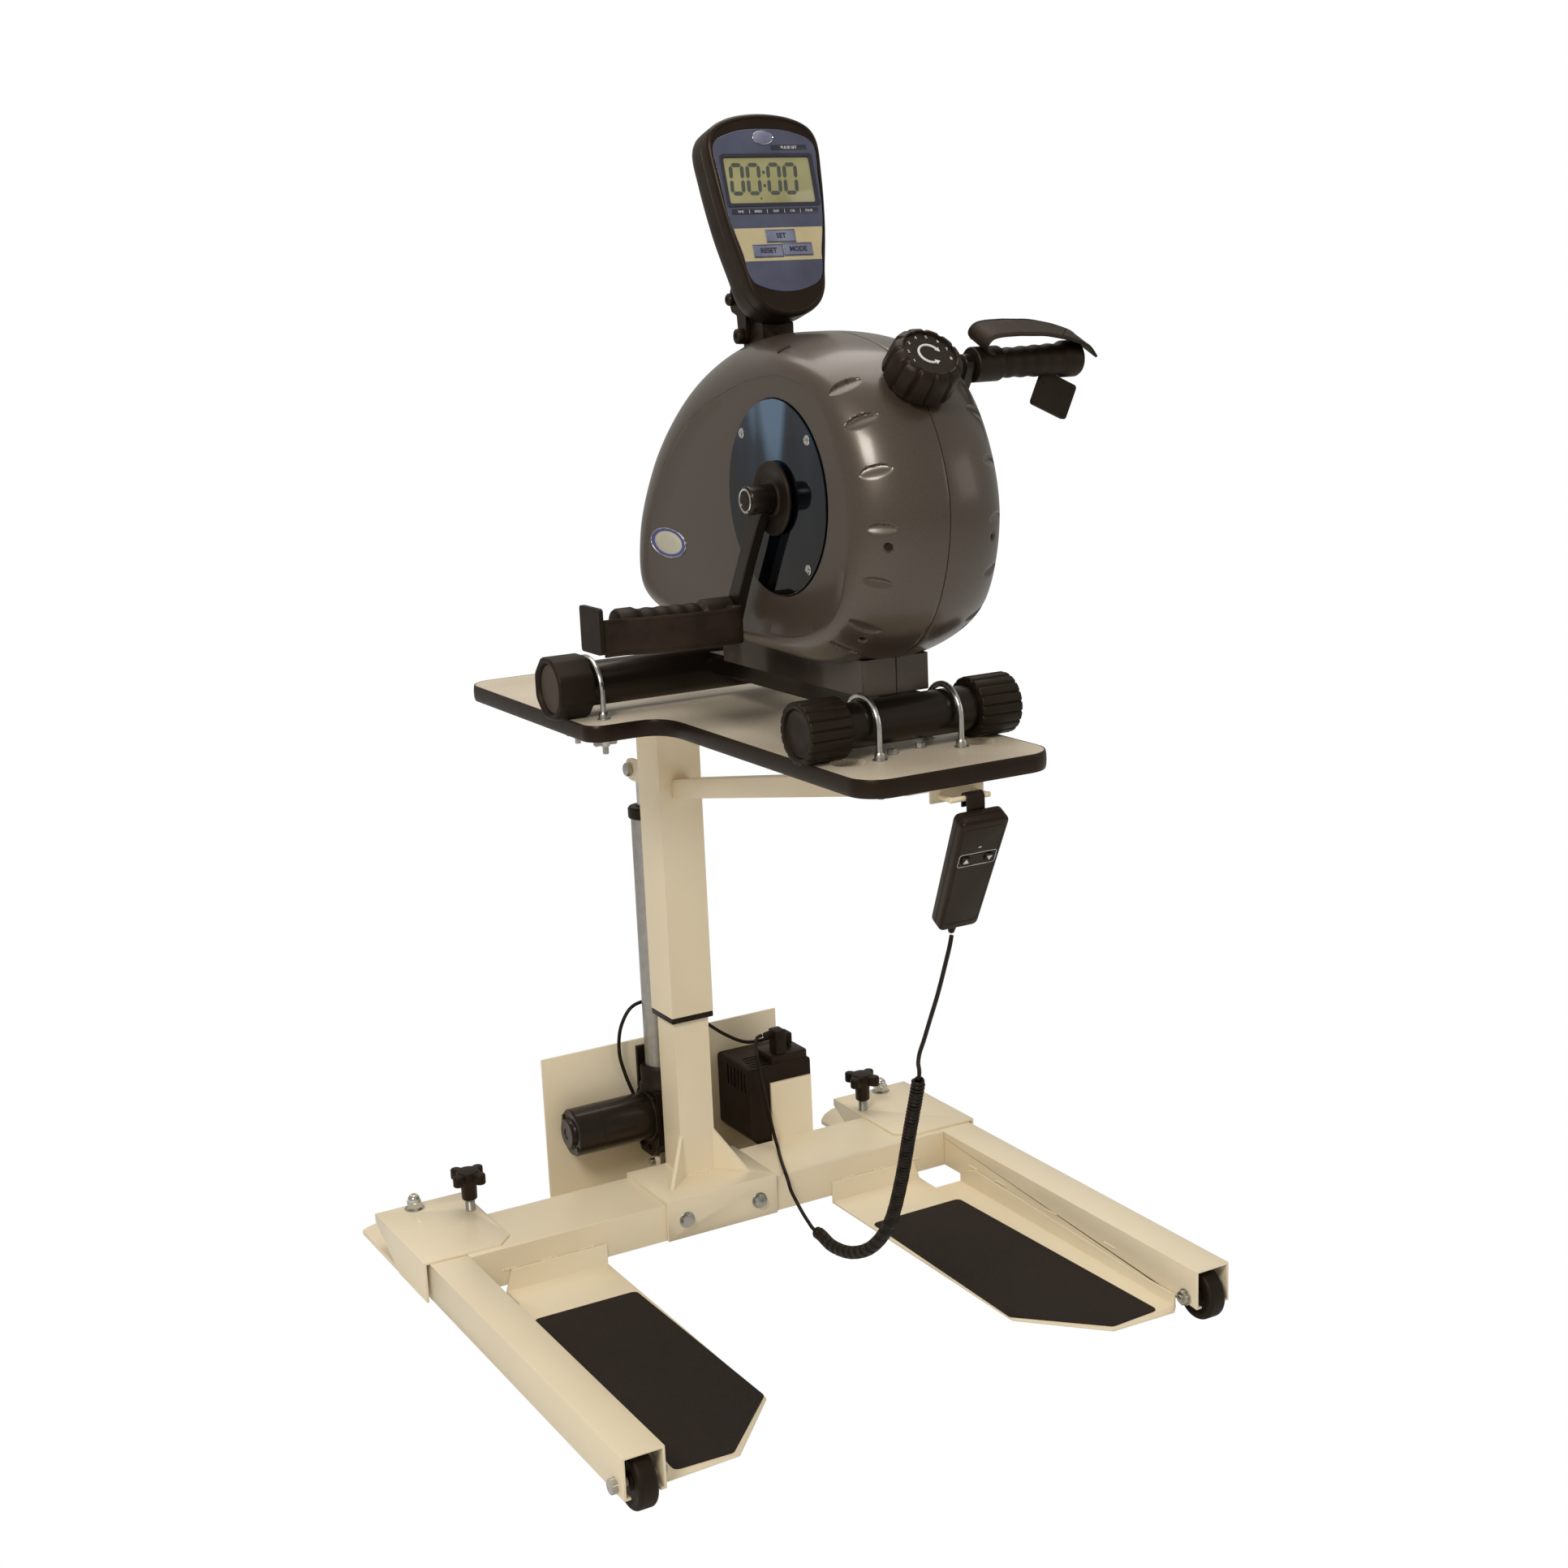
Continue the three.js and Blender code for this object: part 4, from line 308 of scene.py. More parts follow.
ENAMEL = (surface("black enamel", (17, 13, 11), 0.3, (12, 4), [(0.3, (13, 10, 8)), (0.75, (24, 19, 16))],
                  (20, 3), (0.26, 0.4), [((350, 1), 0.1, 0.3)], Coat_Weight=0.22, Coat_Roughness=0.15,
                  Coat_Tint=WARM, Specular_IOR_Level=0.3, Specular_Tint=WARM), "black_paint")
CHROME = (bright_metal("chrome", (214, 214, 210), 0.14), "zinc")
ZINC = (bright_metal("zinc plate", (190, 190, 184), 0.3), "zinc")
TUBE = (bright_metal("anodised tube", (176, 174, 170), 0.36, 0.1), "zinc")
STEEL = (bright_metal("drive steel", (150, 150, 148), 0.34), "steel")
LAMINATE = (speckled_laminate(), "board_laminate")
GLASS = (smoked_blue_glass(), "window_smoke")
BLUE = (printed_panel("blue face", (62, 65, 86), (80, 83, 106)), "blue_face")
BAND = (printed_panel("beige band", (182, 169, 130), (197, 186, 149)), "blue_face")
NAVY = (printed_panel("dark strip", (34, 35, 52), (42, 43, 60)), "blue_face")
INK = (printed_panel("pale lettering", (206, 206, 204), (224, 224, 220)), "blue_face")
KEY = (printed_panel("blue key", (84, 88, 120), (134, 138, 162), 0.3), "key_blue")
BADGE_FACE = (printed_panel("blank badge face", (176, 171, 150), (194, 190, 172), 0.24), "blue_face")
RING_BLUE = (printed_panel("blue badge ring", (48, 52, 124), (66, 70, 146), 0.2), "blue_face")
SEGMENT = (printed_panel("display segments", (66, 72, 66), (80, 86, 78)), "blue_face")
DISPLAY = (surface("grey green display", (150, 148, 104), 0.16, (12, 2), [(0.3, (140, 138, 92)),
                   (0.7, (164, 160, 118))], None, None, [((25, 1), 0.03, 0.2)],
                   Coat_Weight=0.5, Coat_Roughness=0.05), "blue_face")
MAT = (grit_mat(), "black_rubber")
WEBBING = (surface("black strap", (30, 21, 15), 0.58, (45, 4), [(0.3, (23, 16, 11)), (0.75, (42, 31, 23))],
                   (25, 3), (0.5, 0.74), [((800, 2), 0.35, 0.25), ((60, 3), 0.2, 0.8)],
                   Specular_IOR_Level=0.34, Specular_Tint=WARM), "webbing")


# Shapes: each helper adds to a shape and gives it back
def blank():
    return bmesh.new()


def mesh_of(name, bm):
    mesh = bpy.data.meshes.new(name)
    bm.to_mesh(mesh)
    bm.free()
    return mesh


def absorbed(bm, mesh):
    bm.from_mesh(mesh)
    bpy.data.meshes.remove(mesh)
    return bm


def joined(bm, added, matrix=Matrix()):
    """Places a shape made by itself and adds it to another."""
    added.transform(matrix)
    return absorbed(bm, mesh_of("joined", added))


def settled(holder):
    """An object's mesh, as its curve or its modifiers make it; the object goes."""
    mesh = bpy.data.meshes.new_from_object(holder.evaluated_get(bpy.context.evaluated_depsgraph_get()))
    bpy.data.batch_remove((holder, holder.data))
    return mesh


def eased(bm, edges, offset, segments=2):
    bmesh.ops.bevel(bm, geom=edges, offset=offset, segments=segments, profile=0.5, affect="EDGES",
                    material=-1)


TO_AXIS = {"x": turn(90, "Y"), "y": turn(-90, "X"), "z": Matrix()}


def box(bm, x, y, z, chamfer=0.0, segments=2):
    size = (x[1] - x[0], y[1] - y[0], z[1] - z[0])
    made = blank()
    bmesh.ops.create_cube(made, size=1)
    bmesh.ops.scale(made, vec=size, verts=made.verts)
    if chamfer:
        eased(made, made.edges[:], chamfer, segments)
    return joined(bm, made, shift((x[0] + x[1]) / 2, (y[0] + y[1]) / 2, (z[0] + z[1]) / 2))


def rod(bm, axis, diameter, ends, centre, sides=32, chamfer=0.0):
    """A round bar along an axis; centre gives the two other coordinates in X, Y, Z order."""
    made = blank()
    bmesh.ops.create_cone(made, cap_ends=True, segments=sides, radius1=diameter / 2, radius2=diameter / 2,
                          depth=ends[1] - ends[0])
    if chamfer:
        eased(made, list({e for f in made.faces if len(f.verts) == sides for e in f.edges}), chamfer)
    middle = (ends[0] + ends[1]) / 2
    home = {"x": (middle, *centre), "y": (centre[0], middle, centre[-1]), "z": (*centre, middle)}[axis]
    return joined(bm, made, shift(*home) @ TO_AXIS[axis])


def turned(bm, profile, matrix=Matrix(), steps=48):
    """A profile of radius and height pairs spun round Z, then placed."""
    made = blank()
    corners = [made.verts.new((radius, 0, height)) for radius, height in profile]
    edges = [made.edges.new(pair) for pair in zip(corners, corners[1:])]
    bmesh.ops.spin(made, geom=corners + edges, cent=(0, 0, 0), axis=(0, 0, 1), angle=FULL_TURN, steps=steps,
                   use_merge=True)
    bmesh.ops.remove_doubles(made, verts=made.verts, dist=MERGE_TURNED)
    return joined(bm, made, matrix)


def extruded(bm, outline, low, high, matrix=Matrix()):
    """A flat outline in X and Y raised along Z."""
    made = blank()
    rings = [[made.verts.new((x, y, z)) for x, y in outline] for z in (low, high)]
    made.faces.new(rings[0][::-1])
    made.faces.new(rings[1])
    for k, (a, b) in enumerate(zip(*rings)):
        made.faces.new((rings[0][k - 1], a, b, rings[1][k - 1]))
    return joined(bm, made, matrix)


SIDEWAYS = Matrix(((0, 0, 1, 0), (1, 0, 0, 0), (0, 1, 0, 0), (0, 0, 0, 1)))
UPRIGHT = Matrix(((1, 0, 0, 0), (0, 0, 1, 0), (0, 1, 0, 0), (0, 0, 0, 1)))


def slab(bm, outline, ends, matrix=Matrix()):
    """A flat outline in Y and Z widened along X."""
    return extruded(bm, outline, *ends, matrix @ SIDEWAYS)


def panel(bm, outline, front, rear, matrix=Matrix()):
    """A flat outline in X and Z deepened along Y."""
    return extruded(bm, outline, front, rear, matrix @ UPRIGHT)


def bridged(rings, ends=True):
    """A skin over rings of equal point counts, point for point."""
    bm = blank()
    loops = [[bm.verts.new(point) for point in ring] for ring in rings]
    for near, far in zip(loops, loops[1:]):
        for k in range(len(near)):
            bm.faces.new((near[k - 1], near[k], far[k], far[k - 1]))
    if ends:
        bm.faces.new(loops[0][::-1])
        bm.faces.new(loops[-1])
    return bm


def arc(centre, radius, start, end, steps):
    return [polar(radius, start + (end - start) * i / steps, *centre) for i in range(steps + 1)]


def rectangle(x, z):
    return [(x[0], z[0]), (x[1], z[0]), (x[1], z[1]), (x[0], z[1])]


def softened(outline, radius, steps=5):
    """An outline with its corners rounded."""
    made = []
    for k, corner in enumerate(outline):
        here = Vector(corner)
        before, after = Vector(outline[k - 1]), Vector(outline[(k + 1) % len(outline)])
        one, two = (before - here).normalized(), (after - here).normalized()
        half = one.angle(two) / 2
        reach = min(radius / math.tan(half), (before - here).length / 2, (after - here).length / 2)
        for i in range(steps + 1):
            t = i / steps
            a, b = here + one * reach, here + two * reach
            made.append(tuple(a * (1 - t) ** 2 + here * 2 * t * (1 - t) + b * t ** 2))
    return made


def spline(points, count, closed=False):
    """Evenly parted points of a centripetal Catmull-Rom curve through the given ones."""
    knots = [Vector(p) for p in points]
    spans = len(knots) if closed else len(knots) - 1
    if closed:
        knots = knots[-1:] + knots + knots[:2]
    else:
        knots = [knots[0] * 2 - knots[1]] + knots + [knots[-1] * 2 - knots[-2]]
    made = []
    for i in range(count if closed else count + 1):
        where = spans * i / count
        k = min(int(where), spans - 1)
        t = where - k
        a, b, c, d = knots[k:k + 4]
        before, span, after = (max((q - p).length, 1e-6) ** 0.5 for p, q in ((a, b), (b, c), (c, d)))
        out = ((b - a) / before - (c - a) / (before + span) + (c - b) / span) * span
        into = ((c - b) / span - (d - b) / (span + after) + (d - c) / after) * span
        cubic = (2 * b - 2 * c + out + into) * t ** 3
        made.append(cubic + (3 * c - 3 * b - 2 * out - into) * t * t + out * t + b)
    return made


def evenly(points, count):
    """The same line cut into equal lengths."""
    runs = [0.0]
    for a, b in zip(points, points[1:]):
        runs.append(runs[-1] + (b - a).length)
    made, k = [], 0
    for i in range(count + 1):
        want = runs[-1] * i / count
        while k < len(points) - 2 and runs[k + 1] < want:
            k += 1
        share = (want - runs[k]) / max(runs[k + 1] - runs[k], 1e-9)
        made.append(points[k].lerp(points[k + 1], share))
    return made


def heading_at(line, k):
    return (line[min(k + 1, len(line) - 1)] - line[max(k - 1, 0)]).normalized()


def bent_bar(name, points, diameter, fineness, closed=False):
    """A curve with a round section through points."""
    curve = bpy.data.curves.new(name, "CURVE")
    curve.dimensions = "3D"
    curve.bevel_depth = diameter / 2
    curve.bevel_resolution = fineness
    curve.use_fill_caps = True
    line = curve.splines.new("POLY")
    line.points.add(len(points) - 1)
    line.use_cyclic_u = closed
    line.use_smooth = True
    for spot, point in zip(line.points, points):
        spot.co = (*point, 1)
    return linked(name, curve)


def wire(points, diameter, sides=12, closed=False):
    return settled(bent_bar("wire", points, diameter, max(sides // 4 - 1, 1), closed))


def with_wire(bm, points, diameter, sides=12, closed=False):
    return absorbed(bm, wire(points, diameter, sides, closed))


def carved(bm, *cutters, operation="DIFFERENCE"):
    """The first shape with the others cut out of it, or what it shares with them."""
    holders = []
    for shape in (bm, *cutters):
        bmesh.ops.recalc_face_normals(shape, faces=shape.faces)
        holders.append(linked("held", mesh_of("held", shape)))
    for tool in holders[1:]:
        cut = holders[0].modifiers.new("cut", "BOOLEAN")
        cut.operation, cut.solver, cut.object = operation, "EXACT", tool
    made = absorbed(blank(), settled(holders[0]))
    for tool in holders[1:]:
        bpy.data.batch_remove((tool, tool.data))
    return made


def mirrored(bm):
    bmesh.ops.scale(bm, vec=(-1, 1, 1), verts=bm.verts)
    return bm


def lettering(bm, text, size, matrix, depth, weight=0.0):
    """Raised letters in X and Z, facing -Y, centred on the origin before they are placed."""
    curve = bpy.data.curves.new("letters", "FONT")
    curve.body, curve.size, curve.extrude, curve.offset = text, size, depth, weight
    curve.align_x = curve.align_y = "CENTER"
    return joined(bm, absorbed(blank(), settled(linked("letters", curve))), matrix @ turn(90, "X"))


# Pieces
def dressed(name, mesh, dress, body, node="", angle=38, bevel=0.0, segments=2, limit=32):
    made = linked(name, mesh)
    material, slot = dress
    mesh.materials.clear()
    mesh.materials.append(material)
    mesh.shade_smooth()
    if bevel:
        rounding = made.modifiers.new("rounded edges", "BEVEL")
        rounding.width = bevel * MM
        rounding.segments = segments
        rounding.limit_method = "ANGLE"
        rounding.angle_limit = math.radians(limit)
        rounding.harden_normals = True
    else:
        mesh.set_sharp_from_angle(angle=math.radians(angle))
    if node:
        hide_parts(node)
    if body:
        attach(made, body)
    return made


def piece(name, bm, dress, body, node="", matrix=Matrix(), **edges):
    """Makes a drawn shape a piece that rides on a body and may replace a CAD node."""
    bm.transform(TO_FRAME @ matrix)
    bmesh.ops.remove_doubles(bm, verts=bm.verts, dist=MERGE_DRAWN)
    bmesh.ops.recalc_face_normals(bm, faces=bm.faces)
    dressed(name, mesh_of(name, bm), dress, body, node, **edges)


def pair(name, make, dress, body, node="", **edges):
    """A piece on each hand; braces in a name stand for right or left."""
    for hand, side in HANDS:
        piece(name.format(side), make(hand), dress, body.format(side), node.format(side), **edges)


def rounded_copy(node, form, dress, body, bevel, limit=32, segments=2):
    """A CAD node's own shape, merged, with its edges rounded."""
    bm = blank()
    bm.from_mesh(frame["nodes"][node].data)
    bmesh.ops.remove_doubles(bm, verts=bm.verts, dist=MERGE_SOLID)
    bmesh.ops.dissolve_limit(bm, angle_limit=math.radians(0.6), verts=bm.verts, edges=bm.edges)
    name = f"{node}_{form}"
    dressed(name, mesh_of(name, bm), dress, body, node, bevel=bevel, segments=segments, limit=limit)


for part, form, dress, body, *edges in (
        ("cross_beam", "tube", CREAM, "base", 1.2), ("saddle_column", "body", CREAM, "base", 1.0),
        ("leg_right", "tube", CREAM, "base", 2.2, 50), ("leg_left", "tube", CREAM, "base", 2.2, 50),
        ("footplate_right", "sheet", CREAM, "base", 0.7), ("footplate_left", "sheet", CREAM, "base", 0.7),
        ("rear_foot_right", "arm", CREAM, "rear_foot_right", 0.8, 50),
        ("rear_foot_left", "arm", CREAM, "rear_foot_left", 0.8, 50),
        ("back_tray", "sheet", CREAM, "base", 0.6), ("upper_column", "tube", CREAM, "lift", 2.4, 50, 3),
        ("column_glide", "lip", PLASTIC, "lift", 1.2, 50),
        ("strut", "tube", CREAM, "lift", 1.2, 40), ("main_bar", "frame", ENAMEL, "lift", 1.6, 50),
        ("mast", "post", SATIN, "lift", 1.4, 50)):
    rounded_copy(part, form, dress, body, *edges)

for part, dress in (("crank_axle", STEEL), ("flywheel", STEEL), ("belt", RUBBER)):
    shown = frame["nodes"][part].data.materials
    shown.clear()
    shown.append(dress[0])

# Cords, which follow the part's routes
CORD_DIAMETER = 5
ROUTE_FINENESS, ROUTE_POINTS = 240, 90
MOTOR_CABLE = [
    (-34, 94, 155), (-45, 102, 195), (-50, 104, 225), (-44, 106, 260), (-25, 107, 285), (5, 107, 288),
    (40, 100, 272), (70, 85, 252), (100, 72, 228), (130, 66, 212), (177, 69, 208.5),
]
BOX_LEAD = [
    (142.5, 43, 225.5), (135, 41, 225), (128, 33, 220), (124, 24, 206), (124, 17, 179), (128, 14, 149),
    (134, 12, 112), (138, 8, 84), (134, -6, 76.4), (124, -28, 76.2), (112, -56, 76.2), (103, -78, 76.5),
    (98, -91, 75.6), (96.5, -100, 68), (97, -106, 56), (100, -115, 42), (102, -128, 29), (103, -142, 20),
    (102.5, -150, 17), (102.2, -158, 16),
]
HANDSET_LEAD = [
    (19.6, -632, 560), (18, -631, 550), (13.5, -627, 526), (9, -618, 492), (7.5, -602, 456), (8.5, -588, 430),
    (11, -574, 409), (16, -563, 393), (21.5, -556, 382), (23.1, -553.3, 374.9),
]
CURLY = [
    (102.2, -158.3, 16), (101, -176, 16.5), (88, -227, 24), (69, -312, 52), (55, -387, 94), (42, -450, 153),
    (33, -492, 223), (26.5, -524, 296), (24, -546, 353), (23.3, -553, 374),
]
CURLS, STEPS_A_CURL, CURL_DIAMETER, CURL_CORD = 116, 14, 17, 4.4
CURLY_FINENESS, STRAIGHT_STEPS, DRAWN_IN_CURLS = 600, 4, 1.5


def cord_line(name, route, body, node):
    points = [TO_FRAME @ p for p in evenly(spline(route, ROUTE_FINENESS), ROUTE_POINTS)]
    made = bent_bar(name, points, CORD_DIAMETER * MM, 3)
    made.data.materials.append(CORD[0])
    if node:
        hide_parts(node)
    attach(made, body)


def curly_path():
    """A helix round the cord's line, drawn in to the line at both ends."""
    total = CURLS * STEPS_A_CURL
    line = evenly(spline(CURLY, CURLY_FINENESS), total + 2 * STRAIGHT_STEPS)
    radius = (CURL_DIAMETER - CURL_CORD) / 2
    side = Vector((1, 0, 0))
    path = [line[0]]
    for i in range(total + 1):
        here = i + STRAIGHT_STEPS
        heading = heading_at(line, here)
        side = (side - heading * side.dot(heading)).normalized()
        angle = FULL_TURN * i / STEPS_A_CURL
        spoke = side * math.cos(angle) + heading.cross(side) * math.sin(angle)
        near = smooth_step(min(i, total - i) / (DRAWN_IN_CURLS * STEPS_A_CURL))
        path.append(line[here] + spoke * radius * near)
    return path + [line[-1]]


def curly_cord():
    path = curly_path()
    mesh = wire(path, CURL_CORD, 8)
    mesh.transform(TO_FRAME)
    made = dressed("curly_cord_coil", mesh, CORD, None, "curly_cord", angle=60)
    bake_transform(made)


cord_line("motor_cable", MOTOR_CABLE, "base", "")
cord_line("box_lead_cord", BOX_LEAD, "base", "box_lead")
curly_cord()
cord_line("handset_lead_cord", HANDSET_LEAD, "lift", "handset_lead")


# Small hardware
def hex_head(bm, matrix, across, height, shank=None):
    """A bolt's head or a nut, standing along Z, with its corners turned down; across is over its corners."""
    six = [polar(across / 2, 15 + 60 * k) for k in range(6)]
    dome = turned(blank(), [(0, -1), (across * 0.6, -1), (across * 0.6, height - across * 0.09),
                            (across * 0.43, height), (0, height)], steps=36)
    made = carved(extruded(blank(), six, 0, height), dome, operation="INTERSECT")
    if shank:
        rod(made, "z", shank[0], (height - 1, height + shank[1]), (0, 0), 20, chamfer=0.8)
    return joined(bm, made, matrix)


def washer(bm, matrix, outer, thickness):
    rim = outer / 2
    return turned(bm, [(0, 0), (rim - 0.3, 0), (rim, 0.3), (rim, thickness - 0.3), (rim - 0.3, thickness),
                       (0, thickness)], matrix, 36)


def threads(bm, spot, root, crest, start, pitch, count, steps):
    """Rings that stand for a screw's thread."""
    for k in range(count):
        turned(bm, [(0, 0), (root, 0), (crest, 0.5), (root, 1), (0, 1)], shift(*spot, start + pitch * k),
               steps)


BEAD_RIPPLE, BEAD_STRAY, BEAD_LEAST, BEAD_SPREAD = 2.6, 0.35, 0.92, 0.16


def bead(bm, start, end, width):
    """A weld bead: small overlapping scales along a line."""
    a, b = Vector(start), Vector(end)
    count = max(int((b - a).length / BEAD_RIPPLE), 1)
    for i in range(count + 1):
        spot = a.lerp(b, i / count)
        spot = spot + noise.noise_vector(spot * 0.7) * BEAD_STRAY
        size = width * (BEAD_LEAST + BEAD_SPREAD * noise.noise(spot * 0.9))
        bmesh.ops.create_icosphere(bm, subdivisions=1, radius=size / 2, matrix=Matrix.Translation(spot))


# Base
LEG_IN, LEG_OUT = 359, 409
WHEEL_X, AXLE_Y, AXLE_Z = 384, -614, 32.5
HOOD_NUT = (366.5, 93, 76.3)
STAR_X, STAR_Y, STAR_FOOT, STAR_TOP = 306, 44.5, 92.9, 131.3
SCREW_FOOT, SCREW_TOP, SCREW_DIAMETER = 16, 100, 12.2
MAT_LOW, MAT_TOP, MAT_CORNER = 15.05, 16.3, 9
MAT_LEFT = [(-318, -183), (-177, -184), (-171.5, -509), (-260, -599.5), (-331, -596)]
PLATE_SEAM_X, PLATE_SEAM_Z, BEAM_SEAM_Y, BEAM_SEAM_Z = 359.2, 43.4, -86.8, 43.6


def acorn_nut(hand):
    bm = hex_head(blank(), Matrix(), 21.4, 10.6)
    dome = [(8.4 * a, 12.4 + 8.2 * b) for a, b in (polar(1, angle) for angle in range(0, 90, 10))]
    turned(bm, [(0, 9), (9, 10), *dome, (0, 20.7)], steps=32)
    washer(bm, shift(0, 0, -0.1), 27, 1.2)
    x, y, z = HOOD_NUT
    bm.transform(shift(hand * x, y, z))
    return bm


def axle_bolt(hand):
    inward = turn(-90 * hand, "Y")
    bm = hex_head(blank(), outward(hand, hand * LEG_OUT, AXLE_Y, AXLE_Z), 18.4, 7)
    washer(bm, shift(hand * LEG_IN, AXLE_Y, AXLE_Z) @ inward, 21, 1.6)
    return hex_head(bm, shift(hand * (LEG_IN - 1), AXLE_Y, AXLE_Z) @ inward, 18.4, 6.4, (9.5, 3))


def caster(hand):
    """A soft wheel: rounded tread, dished sides, hub boss."""
    half, shoulder, soft, bore = 12, 27.5, 5, 5.4
    profile = [(bore, 0), (bore, half), (9.5, half), (10.5, half - 0.8), (11, half - 2.2), (21, half - 2.2),
               (22.4, half - 1.6), (23.4, half - 0.3), (shoulder, half)]
    profile += [(shoulder + b, a)
                for a, b in (polar(soft, angle, half - soft) for angle in range(15, 91, 15))]
    return turned(blank(), profile + [(r, -h) for r, h in reversed(profile[1:])] + [(bore, 0)],
                  shift(hand * WHEEL_X, AXLE_Y, AXLE_Z) @ TO_AXIS["x"], 72)


def star_knob(hand):
    """A four-armed moulded knob over a round stem."""
    reach, core, tip, waist = 27.4, 11.0, 7.2, 6.4
    outline = []
    for k in range(4):
        heading = Vector(polar(1, 30 + 90 * k))
        across = Vector((-heading.y, heading.x))
        end = heading * (reach - tip)
        outline += [heading * core - across * waist, end - across * tip]
        outline += [end + heading * a + across * b
                    for a, b in (polar(tip, angle) for angle in range(-60, 61, 20))]
        outline += [end + across * tip, heading * core + across * waist]
    arms = extruded(blank(), outline, STAR_TOP - 14.4, STAR_TOP + 0.2)
    eased(arms, [e for e in arms.edges if abs(e.verts[0].co.z - e.verts[1].co.z) < 0.1], 2.4, 3)
    turned(arms, [(0, STAR_FOOT), (9.4, STAR_FOOT), (10.2, 94), (10.6, 112), (14, 117.5), (15.4, 122),
                  (15.4, STAR_TOP - 1), (14.2, STAR_TOP + 1.2), (11.5, STAR_TOP + 1.6),
                  (0, STAR_TOP + 1.9)], steps=40)
    arms.transform(shift(hand * STAR_X, STAR_Y, 0))
    return arms


def star_screw(hand):
    spot = (hand * STAR_X, STAR_Y)
    bm = rod(blank(), "z", SCREW_DIAMETER, (SCREW_FOOT, SCREW_TOP), spot, chamfer=1)
    threads(bm, spot, 6.1, 6.5, 78, 1.3, 11, 24)
    return bm


def mat(hand):
    return extruded(blank(), softened([(x * -hand, y) for x, y in MAT_LEFT], MAT_CORNER), MAT_LOW, MAT_TOP)


def plate_welds(hand):
    bm = blank()
    for start, end in ((-150, -168), (-215, -236), (-330, -352), (-455, -476)):
        bead(bm, *((hand * PLATE_SEAM_X, y, PLATE_SEAM_Z) for y in (start, end)), 4)
    for x in (190, 243, 296):
        bead(bm, *((hand * end, BEAM_SEAM_Y, BEAM_SEAM_Z) for end in (x, x + 20)), 4)
    return bm


pair("acorn_nut_{}", acorn_nut, CHROME, "base", angle=30)
pair("axle_bolt_{}", axle_bolt, ZINC, "base", angle=30)
pair("wheel_{}_tyre", caster, RUBBER, "wheel_{}", "wheel_{}", angle=50)
pair("star_knob_{}_arms", star_knob, PLASTIC, "star_knob_{}", "star_knob_{}", angle=40)
pair("star_screw_{}", star_screw, ZINC, "star_knob_{}", angle=40)
pair("foot_mat_{}", mat, MAT, "base", bevel=0.4)
pair("footplate_{}_welds", plate_welds, CREAM, "base", angle=60)


# Bolts and welds of the saddle
def saddle_bolts():
    bm = blank()
    front, high = -92, 48
    for x in (-55, 55):
        hex_head(bm, forward(x, front, high), 18.6, 7.6)
        washer(bm, forward(x, front - 0.2, high), 22, 1.4)
    return bm


def column_welds():
    bm = blank()
    edge, foot_z = 25.5, 78.6
    for x in (-edge, edge):
        bead(bm, (x, -edge, foot_z), (x, edge, foot_z), 4.4)
    bead(bm, (-edge, -edge, foot_z), (edge, -edge, foot_z), 4.4)
    for hand in (-1, 1):
        for offset in (-1, 1):
            foot = Vector((hand * edge, -edge, foot_z)) + Vector((hand, 1, 0)).normalized() * offset * 2.4
            bead(bm, foot, foot + Vector((hand, -1, 0)).normalized() * 46, 3.4)
    return bm


# Actuator: gearbox, motor, tube, rod
ACTUATOR_Y, MOTOR_Z, CLEVIS_Z = 82, 133, 627
ACTUATOR = shift(0, ACTUATOR_Y, 0)
TUBE_BORE, TUBE_OUTSIDE, TUBE_FOOT, TUBE_END = 10.3, 19.5, 204.6, 560


def gearbox():
    bm = slab(blank(), softened([(76, 72), (112, 72), (112, 174), (52, 174), (52, 96)], 5, 4), (-22, 22))
    turned(bm, [(0, 170), (28.6, 170), (28.6, 178), (27, 180), (27, 201), (25.6, 204.2), (0, 204.2)],
           ACTUATOR, 56)
    box(bm, (-22, 22), (106, 112), (168, 226))
    for y, z in ((82, 84), (104, 84), (62, 162), (104, 162)):
        turned(bm, [(0, 0), (4.2, 0), (4.2, 2.4), (3.6, 3), (2, 3), (2, 1.4), (0, 1.4)],
               outward(-1, -22, y, z), 20)
    return rod(bm, "x", 74, (-27, -20), (ACTUATOR_Y, MOTOR_Z), 56, chamfer=1.2)


def motor():
    profile = [(0, 22), (32, 22), (33, 23), (33, 100), (32.4, 100.6), (32.4, 102.4), (33, 103), (33, 137.5),
               (31, 140), (23, 140.4), (22.4, 139.4), (21.4, 139.4), (20.6, 140.4), (20, 145), (18.6, 146.2),
               (8, 146.2), (7.4, 145.2), (0, 145.2)]
    bm = turned(blank(), profile, outward(-1, 0, ACTUATOR_Y, MOTOR_Z), 72)
    for angle in (50, 230):
        spot = outward(-1, -140, ACTUATOR_Y, MOTOR_Z) @ turn(angle, "Z") @ shift(27, 0, 0)
        turned(bm, [(0, -1), (3.6, -1), (3.6, 1.4), (2.6, 2.2), (0, 2.2)], spot, 18)
    return bm


def actuator_tube():
    foot, end = (TUBE_BORE, TUBE_FOOT), (TUBE_BORE, TUBE_END)
    return turned(blank(), [foot, (TUBE_OUTSIDE, TUBE_FOOT), (TUBE_OUTSIDE, TUBE_END), end, foot],
                  ACTUATOR, 64)


def actuator_ring():
    foot = TUBE_END - 2
    return turned(blank(), [(TUBE_BORE, foot), (21.5, foot), (23, TUBE_END), (23, 571.5), (21, 574),
                            (12, 574), (TUBE_BORE, 572.6), (TUBE_BORE, foot)], ACTUATOR, 64)


